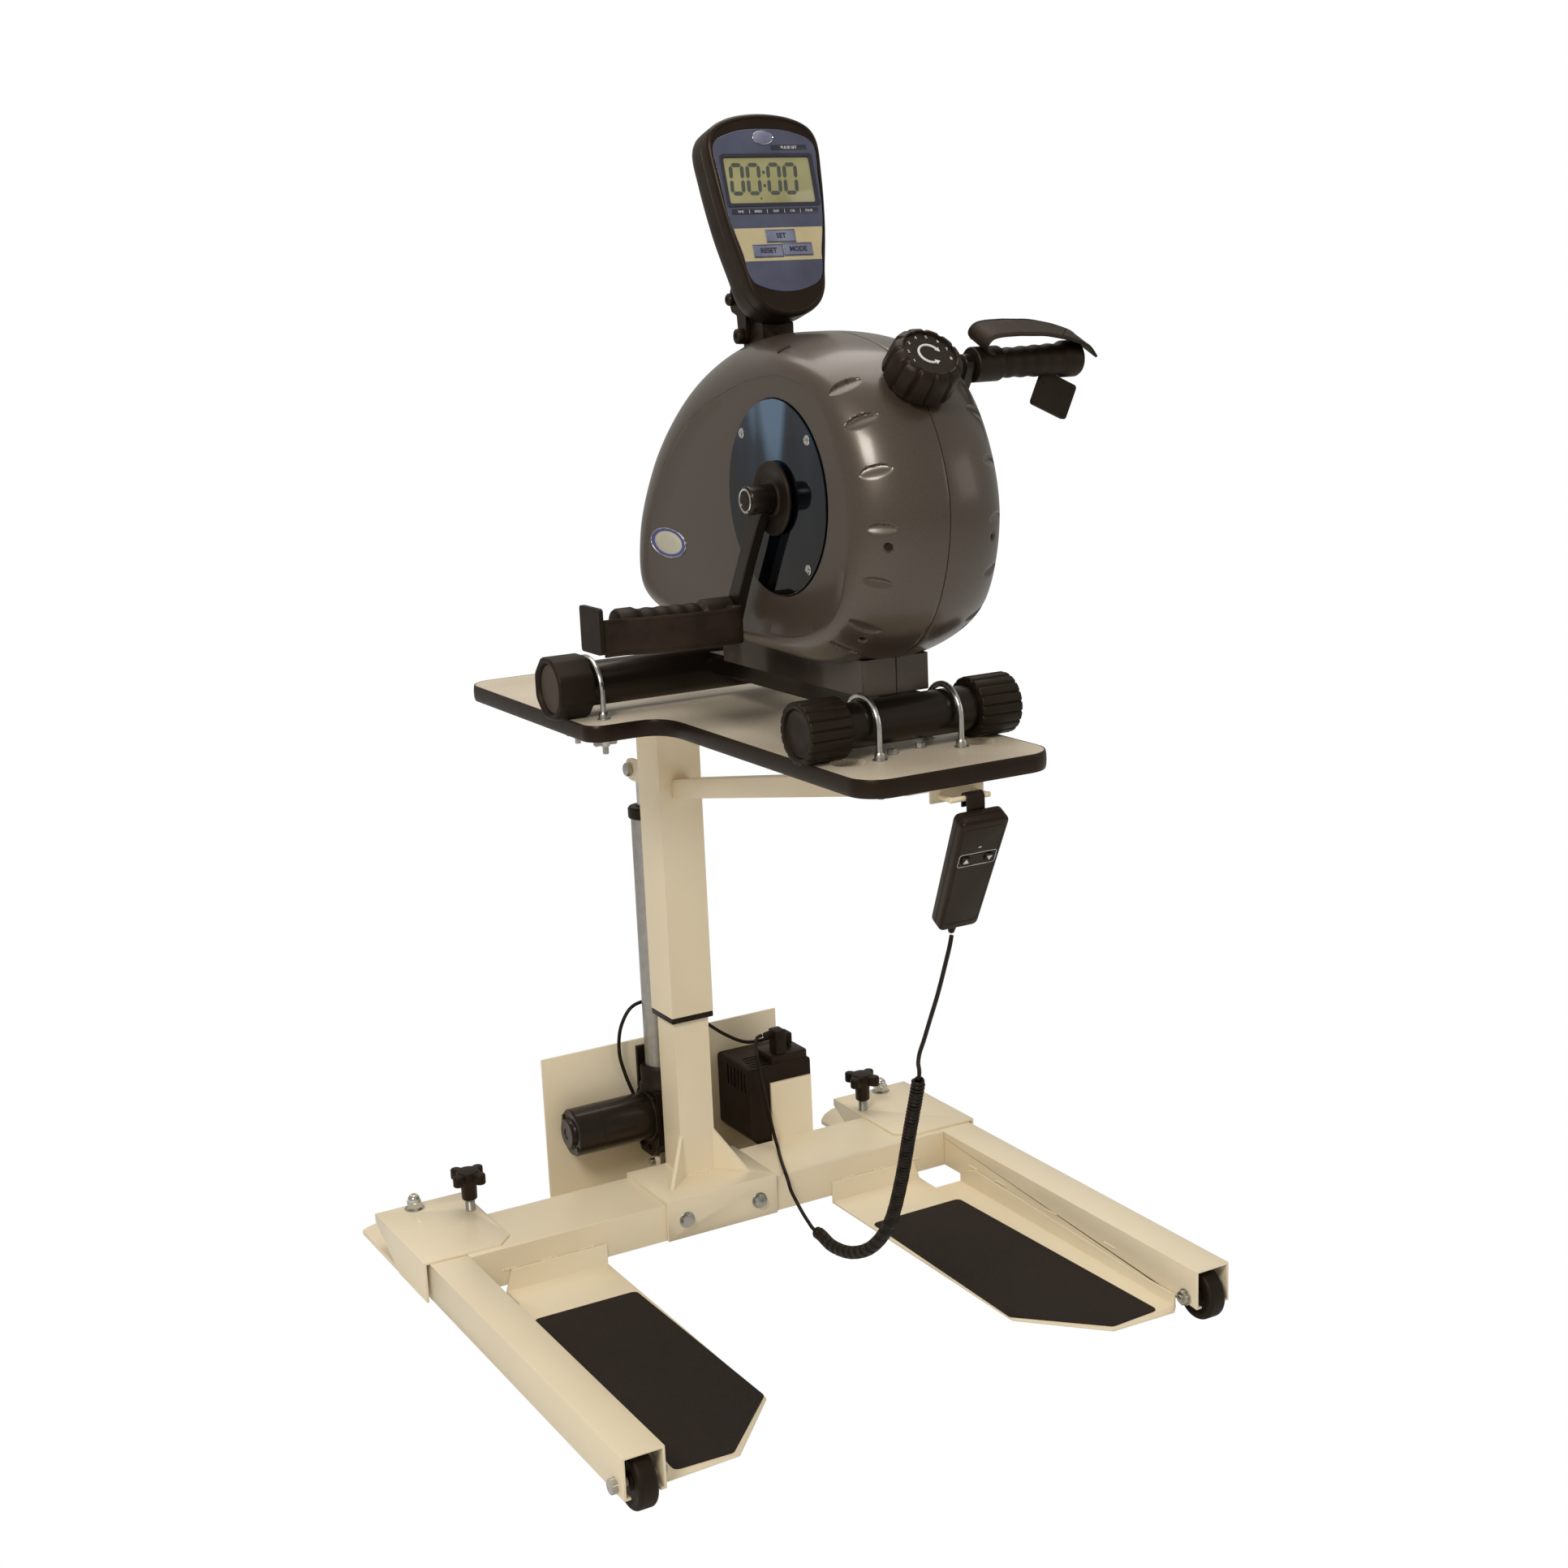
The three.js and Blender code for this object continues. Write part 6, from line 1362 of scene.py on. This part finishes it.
def strap_seams(hand):
    """Stitches: two rows along the edges and a crossed box near the outer end."""
    line = strap_line(hand)
    spots = [(k, across) for k in range(4, len(line) - 3) for across in (-16.5, 16.5)]
    for k in range(BOX_START, BOX_END + 1):
        share = (k - BOX_START) / (BOX_END - BOX_START)
        spots += [(k, -13 + 26 * share), (k, 13 - 26 * share)]
    bm = blank()
    for k, across in spots:
        heading = heading_at(line, k)
        out = Vector((-heading.z, 0, heading.x))
        spot = line[k] + out * (1.75 + sag(line[k])) + Vector((0, across, 0))
        basis = Matrix((heading, Vector((0, 1, 0)), out)).transposed().to_4x4()
        bmesh.ops.create_cube(bm, size=1, matrix=Matrix.Translation(spot) @ basis @ STITCH)
    return lowered(bm, hand)


for hand, side in HANDS:
    pin = turn(CRANK_LEAN, "X") @ Vector((0, 0, CRANK_RADIUS * hand))
    place = shift(0, HUB_Y + pin.y, HUB_Z + pin.z) @ turn(90 if hand < 0 else 25, "X")
    body = f"grip_{side}"
    piece(f"grip_{side}_handle", by_hand(grip)(hand), RUBBER, body, body, place, angle=36)
    piece(f"grip_{side}_flap", flap(hand), RUBBER, body, "", place, angle=40)
    piece(f"strap_{side}_band", strap(hand), WEBBING, body, f"strap_{side}", place, angle=50)
    piece(f"strap_{side}_stitches", strap_seams(hand), WEBBING, body, "", place, angle=50)

# Load knob
KNOB = shift(0, -624, 1155) @ turn(45, "X")
KNOB_DIAMETER, KNOB_FACE, ARROW_RADIUS = 79, 35.4, 12


def load_knob():
    outline = fluted(KNOB_DIAMETER, 12, 3.2, 16)
    rings = [[Vector((a * size, b * size, height)) for a, b in outline] for size, height in (
        (0.9, -1.5), (0.965, 0), (0.985, 1.2), (1, 3), (0.985, 24), (0.97, 30), (0.93, 33.6), (0.86, 36.4),
        (0.8, 37.6), (0.76, 38))]
    rings += [[Vector((a, b, height)) for a, b in circle(radius, len(outline))] for radius, height in (
        (30, 38.0), (29, 37.4), (28.6, KNOB_FACE), (0.5, 35.2))]
    return rod(bridged(rings), "z", 10, (-38, 2), (0, 0), 24)


def knob_collar():
    return turned(blank(), [(6, -9), (31, -9), (31.5, -7), (30.5, -2.4), (28, -1.8), (6, -1.8), (6, -9)],
                  KNOB, 72)


def knob_marks():
    """A generic dial: an arrowed arc and the numbers one to eight."""
    bm = with_wire(blank(), [(*polar(ARROW_RADIUS, angle), KNOB_FACE) for angle in range(30, 281, 5)], 2.6, 8)
    for angle, spin in ((30, -1), (280, 1)):
        out = Vector(polar(1, angle))
        tip, along = out * ARROW_RADIUS, Vector((-out.y, out.x)) * spin
        extruded(bm, [tip + along * 5, tip + out * 3, tip - out * 3], 35.2, 36.2)
    for k in range(8):
        lettering(bm, str(k + 1), 5.2, shift(*polar(23.4, 200 - 31.5 * k), 35.5) @ turn(-90, "X"), 0.25)
    return bm


piece("load_knob_cap", load_knob(), PLASTIC, "load_knob", "load_knob", KNOB, angle=34)
piece("load_knob_marks", knob_marks(), INK, "load_knob", "", KNOB, angle=40)
piece("load_knob_collar", knob_collar(), SATIN, "lift", angle=35)

# Console
CONSOLE = shift(0, -336.4, 1368.2) @ turn(-15.5, "X")
HINGE, CLAMP_BOLT = (-304, 1199), (-284, 1240)
CASE = [(0, 0), (0.314, 0.017), (0.543, 0.061), (0.671, 0.122), (0.743, 0.226), (0.886, 0.435),
        (0.986, 0.691), (1, 0.865), (0.886, 0.93), (0.571, 0.978), (0, 1)]
FACE = [(0, 0), (0.4, 0.02), (0.7, 0.075), (0.82, 0.25), (0.95, 0.45), (1, 0.69), (1, 0.91), (0.6, 0.98),
        (0, 1)]
KEY_HALF, KEY_HOLE = (18.6, 7.35), (18.9, 7.6)
KEYS = {"key_set": (1, -63.5, "SET"), "key_reset": (-18, -80, "RESET"), "key_mode": (20, -79, "MODE")}
PANE_X, PANE_Z = 55, 26
FIGURE_LEAN = 0.09
BADGE_Z = 48


def console_outline(shares, half, low, height):
    knots = [(x * half, low + z * height) for x, z in shares]
    knots += [(-x, z) for x, z in reversed(knots[1:-1])]
    line = spline(knots, 1600, closed=True)
    return evenly(line + line[:1], 180)[:-1]


def shrunk(outline, by):
    made = []
    for k, here in enumerate(outline):
        run = outline[(k + 1) % len(outline)] - outline[k - 1]
        made.append(here + Vector((-run.y, run.x)).normalized() * by)
    return made


def layers(outline, levels):
    return bridged([[Vector((p.x, y, p.y)) for p in shrunk(outline, by)] for y, by in levels])


CASE_LINE = console_outline(CASE, 70, -154, 230)
FACE_LINE = console_outline(FACE, 63, -126, 184)


def key_holes():
    wide, tall = KEY_HOLE
    return [box(blank(), (x - wide, x + wide), (-5, 5.4), (z - tall, z + tall)) for x, z, _ in KEYS.values()]


def console_case():
    levels = [(0.6, 6.4), (-0.6, 5.6), (-1, 4.4), (-0.6, 2.8), (0.6, 1.2), (2.6, 0.3), (5, 0), (16, 0),
              (16.4, 0.7), (17.2, 0.7), (17.6, 0), (30, 0), (38, 0.4), (43, 1.8), (47, 4.6), (50, 9),
              (51.5, 14), (52, 21)]
    return carved(layers(CASE_LINE, levels), layers(FACE_LINE, [(-8, -0.4), (3.4, -0.4)]), *key_holes())


def console_arms():
    bm = blank()
    outline = softened([(-313, 1199), (-317, 1243), (-303, 1262), (-282, 1254), (-275, 1240), (-281, 1226),
                        (-293, 1222), (-295, 1199)], 3, 4)
    for hand in (-1, 1):
        ends = sorted((hand * 20.3, hand * 26.8))
        slab(bm, outline, ends)
        rod(bm, "x", 18, ends, HINGE, 40)
    return bm


def side_caps(profile, spot, steps):
    bm = blank()
    for hand in (-1, 1):
        turned(bm, profile, outward(hand, 0, *spot), steps)
    return bm


HINGE_CAP = [(0, 26.9), (8.5, 26.9), (8.9, 28), (8.5, 32.6), (7, 34.4), (3, 34.8), (2.6, 33.8), (0, 33.8)]
BOLT_CAP = [(0, 26.7), (6.6, 26.7), (7, 27.4), (7, 31.4), (5.6, 33), (2.4, 33.2), (2.2, 32), (0, 32)]


def console_face():
    sheet = layers(FACE_LINE, [(3, 0), (0.4, 0), (0.05, 0.5)])
    pane = softened(rectangle((-PANE_X, PANE_X), (-PANE_Z, PANE_Z)), 3, 4)
    return carved(sheet, *key_holes(), panel(blank(), pane, -4, 1.6))


def console_band(low, high):
    """The face's outline between two heights, as a thin printed band round the keys."""
    edge = sorted([(p.y, p.x) for p in shrunk(FACE_LINE, 1.2) if p.x > 0 and low <= p.y <= high])
    outline = [(edge[0][1], low)] + [(x, z) for z, x in edge[1:-1]] + [(edge[-1][1], high)]
    outline += [(-x, z) for x, z in reversed(outline)]
    return carved(panel(blank(), outline, -0.12, 0.3), *key_holes())


def figure_zero(bm, x, z, width, height, thick, y):
    """A nought of six bars, leaning a little."""
    half, t = height / 2, thick / 2
    bars = [(0, half, 0), (0, -half, 0)]
    bars += [(side * width / 2, tall * half / 2, 1) for side in (-1, 1) for tall in (-1, 1)]
    for cx, cz, tall in bars:
        end = ((half if tall else width) - thick * 0.35) / 2
        bar = [(-end, 0), (-end + t, t), (end - t, t), (end, 0), (end - t, -t), (-end + t, -t)]
        if tall:
            bar = [(b, a) for a, b in bar]
        panel(bm, [(x + cx + a + (cz + b) * FIGURE_LEAN, z + cz + b) for a, b in bar], y, y + 0.5)


def display_figures():
    bm = blank()
    for x in (-41, -20, 6, 27):
        figure_zero(bm, x, 1.5, 14, 32, 4.4, 0.62)
    for z in (-6, 9):
        lean = z * FIGURE_LEAN
        box(bm, (-8.6 + lean, -5.4 + lean), (0.62, 1.2), (z - 1.6, z + 1.6))
    return panel(bm, [(-16, -21.4), (-13, -21.4), (-14.5, -18.6)], 0.62, 1.2)


def display_frame():
    """A dark frame, mitred round the display and sloping in to it."""
    rings = []
    for grow, y in ((4.2, -0.1), (3.6, -0.9), (0.4, -0.9), (-0.6, 0.9), (-0.6, 1.4), (4.2, 1.2)):
        half, tall = PANE_X + grow, PANE_Z + grow
        line = softened(rectangle((-half, half), (-tall, tall)), 3.4, 4)
        rings.append([Vector((x, y, z)) for x, z in line])
    return bridged(rings + rings[:1], ends=False)


def strips():
    bm = box(blank(), (8, 54), (-0.2, 0.4), (33.5, 39.5), 0.1)
    return box(bm, (-55, 55), (-0.2, 0.4), (-38.5, -32.2), 0.1)


def face_letters():
    bm = lettering(blank(), "PULSE SET", 4.6, shift(31, -0.3, 36.4), 0.12)
    for x, text in ((-44, "TIME"), (-22, "SPEED"), (1, "DIST"), (22, "CAL"), (43, "PULSE")):
        lettering(bm, text, 3.5, shift(x, -0.3, -35.4), 0.12)
    for x in (-33, -10.5, 11.5, 32):
        box(bm, (x - 0.2, x + 0.2), (-0.4, 0), (-37.4, -33.4))
    return bm


def blank_badge():
    """A plain domed oval."""
    bm = turned(blank(), [(0, 1.3), (6, 1.1), (9, 0.6), (10, -0.4), (0, -0.4)], turn(90, "X"), 56)
    bmesh.ops.scale(bm, vec=(1.25, 1, 0.74), verts=bm.verts)
    bm.transform(shift(0, -0.1, BADGE_Z))
    return bm


def badge_rim():
    points = [(12.6 * a, -0.3, BADGE_Z + 7.5 * b) for a, b in circle(1, 48)]
    return with_wire(blank(), points, 1.1, 8, closed=True)


for name, bm, dress, node, angle in (
        ("case_shell", console_case(), SATIN, "console_case", 32),
        ("face_sheet", console_face(), BLUE, "console_face", 30),
        ("band", console_band(-91, -54), BAND, "", 30),
        ("display", box(blank(), (-54.4, 54.4), (0.9, 2.2), (-25.4, 25.4), 0.3), DISPLAY, "", 30),
        ("display_frame", display_frame(), NAVY, "", 20),
        ("display_figures", display_figures(), SEGMENT, "", 30),
        ("strips", strips(), NAVY, "", 30), ("lettering", face_letters(), INK, "", 40),
        ("badge_blank", blank_badge(), KEY, "", 50), ("badge_rim", badge_rim(), CHROME, "", 60)):
    piece(f"console_{name}", bm, dress, "console", node, CONSOLE, angle=angle)
piece("console_arms", console_arms(), SATIN, "console", bevel=0.9, limit=50)
piece("hinge_caps", side_caps(HINGE_CAP, HINGE, 40), PLASTIC, "lift", angle=35)
piece("console_bolts", side_caps(BOLT_CAP, CLAMP_BOLT, 32), SATIN, "console", angle=35)

for name, (x, z, text) in KEYS.items():
    wide, tall = KEY_HALF
    cap = box(blank(), (x - wide, x + wide), (-1.2, 3.6), (z - tall, z + tall), 0.9, 3)
    piece(f"{name}_cap", cap, KEY, name, name, CONSOLE, angle=40)
    letters = lettering(blank(), text, 7.8, shift(x, -1.25, z), 0.12, 0.28)
    piece(f"{name}_letters", letters, NAVY, name, "", CONSOLE, angle=40)
    edge = softened(rectangle((x - wide + 1, x + wide - 1), (z - tall + 1, z + tall - 1)), 0.8, 4)
    rim = with_wire(blank(), [(a, -1.15, b) for a, b in edge], 0.7, 8, closed=True)
    piece(f"{name}_rim", rim, NAVY, name, "", CONSOLE, angle=60)

# Blank oval badge on the left side of the housing, with its coloured band and bright rim
BADGE = outward(-1, -88.6, -214, 963)
BADGE_WIDE, BADGE_TALL = 17, 45
for name, dress, profile in (
        ("blank", BADGE_FACE, [(0, 1.9), (0.5, 1.7), (0.78, 1.1), (0.8, 0.6), (0.8, 0), (0, 0)]),
        ("band", RING_BLUE, [(0.79, 0), (0.79, 0.9), (0.88, 1.3), (0.98, 1.0), (0.98, 0), (0.79, 0)])):
    oval = turned(blank(), profile, steps=96)
    bmesh.ops.scale(oval, vec=(BADGE_WIDE, BADGE_TALL, 1), verts=oval.verts)
    piece(f"side_badge_{name}", oval, dress, "lift", "", BADGE, angle=50)
rim = with_wire(blank(), [(BADGE_WIDE * a, BADGE_TALL * b, 0.7) for a, b in circle(1, 96)], 1.8, 10,
                closed=True)
piece("side_badge_rim", rim, CHROME, "lift", "", BADGE, angle=60)

# Handset
HANDSET = shift(15.6, -672, 643.3) @ turn(-3, "Z") @ turn(27.8, "X") @ turn(-1.5, "Y")
HANDSET_LINE = [Vector(p) for p in softened([(-24, -76), (24, -76), (29, 76), (-29, 76)], 8, 8)]
BUTTON_X, BUTTON_Z = 14, 24
TRAY = rectangle((-22.5, 22.5), (15.5, 32.5))
HOOK_Y, HOOK_Z, HOOK_RADIUS = -690, 726, 4.9


def handset_body():
    levels = [(-10.5, 3.4), (-10.2, 2.2), (-9.4, 0.9), (-8, 0.2), (-6, 0), (-0.2, 0), (0, 0.5), (0.6, 0.5),
              (0.8, 0), (7, 0), (9, 0.6), (10.1, 1.8), (10.5, 3.2)]
    pockets = [rod(blank(), "y", 11.8, (-14, -7.6), (x, BUTTON_Z), 32) for x in (-BUTTON_X, BUTTON_X)]
    return carved(layers(HANDSET_LINE, levels), *pockets, panel(blank(), softened(TRAY, 3, 4), -14, -10.1))


def handset_panel():
    ring = [(p.x * 0.86, -10.55, p.y * 0.86 * 1.02) for p in HANDSET_LINE]
    return with_wire(blank(), ring, 0.55, 6, closed=True)


def handset_boot():
    profile = [(0, -62), (6.5, -62), (6.5, -75), (5.2, -77.5)]
    for k in range(4):
        z = -78 - 3 * k
        profile += [(4.6 - 0.25 * k, z), (3.6, z - 0.6), (3.6, z - 1.5), (4.4 - 0.25 * k, z - 2.1)]
    return turned(blank(), profile + [(3.1, -90), (0, -90)], steps=32)


def handset_hook():
    """A bent strip over the hanger's wire, in the machine's own frame."""
    line = [Vector((0, HOOK_Y + HOOK_RADIUS, z)) for z in (716, 720, 724)]
    line += [Vector((0, *polar(HOOK_RADIUS, angle, HOOK_Y, HOOK_Z))) for angle in range(0, 181, 12)]
    line += [Vector((0, HOOK_Y - HOOK_RADIUS, z)) for z in (722, 716, 710, 704)]
    half, thick = 11, 1.5
    section = [(-half, -1.1), (-half + 0.4, -thick), (half - 0.4, -thick), (half, -1.1), (half, 1.1),
               (half - 0.4, thick), (-half + 0.4, thick), (-half, 1.1)]
    rings = []
    for k, here in enumerate(line):
        heading = heading_at(line, k)
        out = Vector((0, heading.z, -heading.y))
        rings.append([here + out * b + Vector((12 + a, 0, 0)) for a, b in section])
    return bridged(rings)


def handset_marks():
    bm = blank()
    for x in (-1, 1):
        turned(bm, [(0, 0), (0.9, 0), (0.9, 0.4), (0, 0.4)], forward(x, -10.2, 40), 16)
    return with_wire(bm, [(x, -10.4, z) for x, z in softened(TRAY, 3)], 0.7, 8, closed=True)


def button_cap(x):
    return turned(blank(), [(0, 1.2), (5.5, 1.2), (5.5, 3), (5.1, 4), (4, 4.4), (0, 3.7)],
                  forward(x, -7.9, BUTTON_Z), 36)


for name, bm, dress, node, angle in (
        ("body", handset_body(), SATIN, "handset", 32), ("panel_line", handset_panel(), PLASTIC, "", 60),
        ("boot", handset_boot(), RUBBER, "", 40), ("marks", handset_marks(), INK, "", 60)):
    piece(f"handset_{name}", bm, dress, "lift", node, HANDSET, angle=angle)
piece("handset_hook", handset_hook(), SATIN, "lift", angle=40)
for name, x, arrow in (("button_up", -BUTTON_X, [(-17.2, 21.6), (-10.8, 21.6), (-14, 27)]),
                       ("button_down", BUTTON_X, [(10.8, 26.4), (17.2, 26.4), (14, 21)])):
    piece(f"{name}_cap", button_cap(x), CORD, name, name, HANDSET, angle=40)
    piece(f"{name}_arrow", panel(blank(), arrow, -12.6, -11.4), INK, name, "", HANDSET, angle=40)


# Floor, backdrop and light
def seen_white(made, usual, kind, output):
    """Mixes in plain white where the camera looks straight at it or through glass."""
    rays = step(made, "LightPath").outputs
    seen = step(made, "Math", {0: rays["Is Camera Ray"], 1: rays["Is Transmission Ray"]}, operation="MAXIMUM")
    white = step(made, kind, {"Color": (1, 1, 1, 1), "Strength": 1.0})
    mixed = step(made, "MixShader", {0: seen.outputs[0], 1: usual.outputs[0], 2: white.outputs[0]})
    made.node_tree.links.new(mixed.outputs[0], made.node_tree.nodes[output].inputs["Surface"])


def stage_floor():
    bm = blank()
    bmesh.ops.create_grid(bm, x_segments=1, y_segments=1, size=14)
    floor = linked("floor", mesh_of("floor", bm))
    made = finish("pale floor", (238, 238, 238), 0.8)
    seen_white(made, shader_of(made), "Emission", "Material Output")
    floor.data.materials.append(made)


def sky():
    world = bpy.data.worlds.new("studio")
    bpy.context.scene.world = world
    world.use_nodes = True
    soft = world.node_tree.nodes["Background"]
    soft.inputs["Color"].default_value = (1, 0.96, 0.9, 1)
    soft.inputs["Strength"].default_value = 0.42
    seen_white(world, soft, "Background", "World Output")


def lamp(name, spot, aim, size, power, colour):
    light = bpy.data.lights.new(name, "AREA")
    light.size = size
    light.energy = power
    light.color = colour
    holder = linked(name, light)
    holder.location = spot
    holder.rotation_euler = (Vector(aim) - Vector(spot)).to_track_quat("-Z", "Y").to_euler()


stage_floor()
sky()
lamp("key", (-2.2, -2.0, 2.9), (0, 0, 0.7), 1.0, 62, (1, 0.96, 0.89))
lamp("fill", (2.6, -2.2, 1.8), (0, 0, 0.7), 1.2, 5, (1, 0.95, 0.87))
lamp("top", (0.2, 0.6, 3.2), (0, 0, 0.6), 2.0, 34, (1, 0.97, 0.92))
bpy.context.scene.view_settings.view_transform = "Standard"
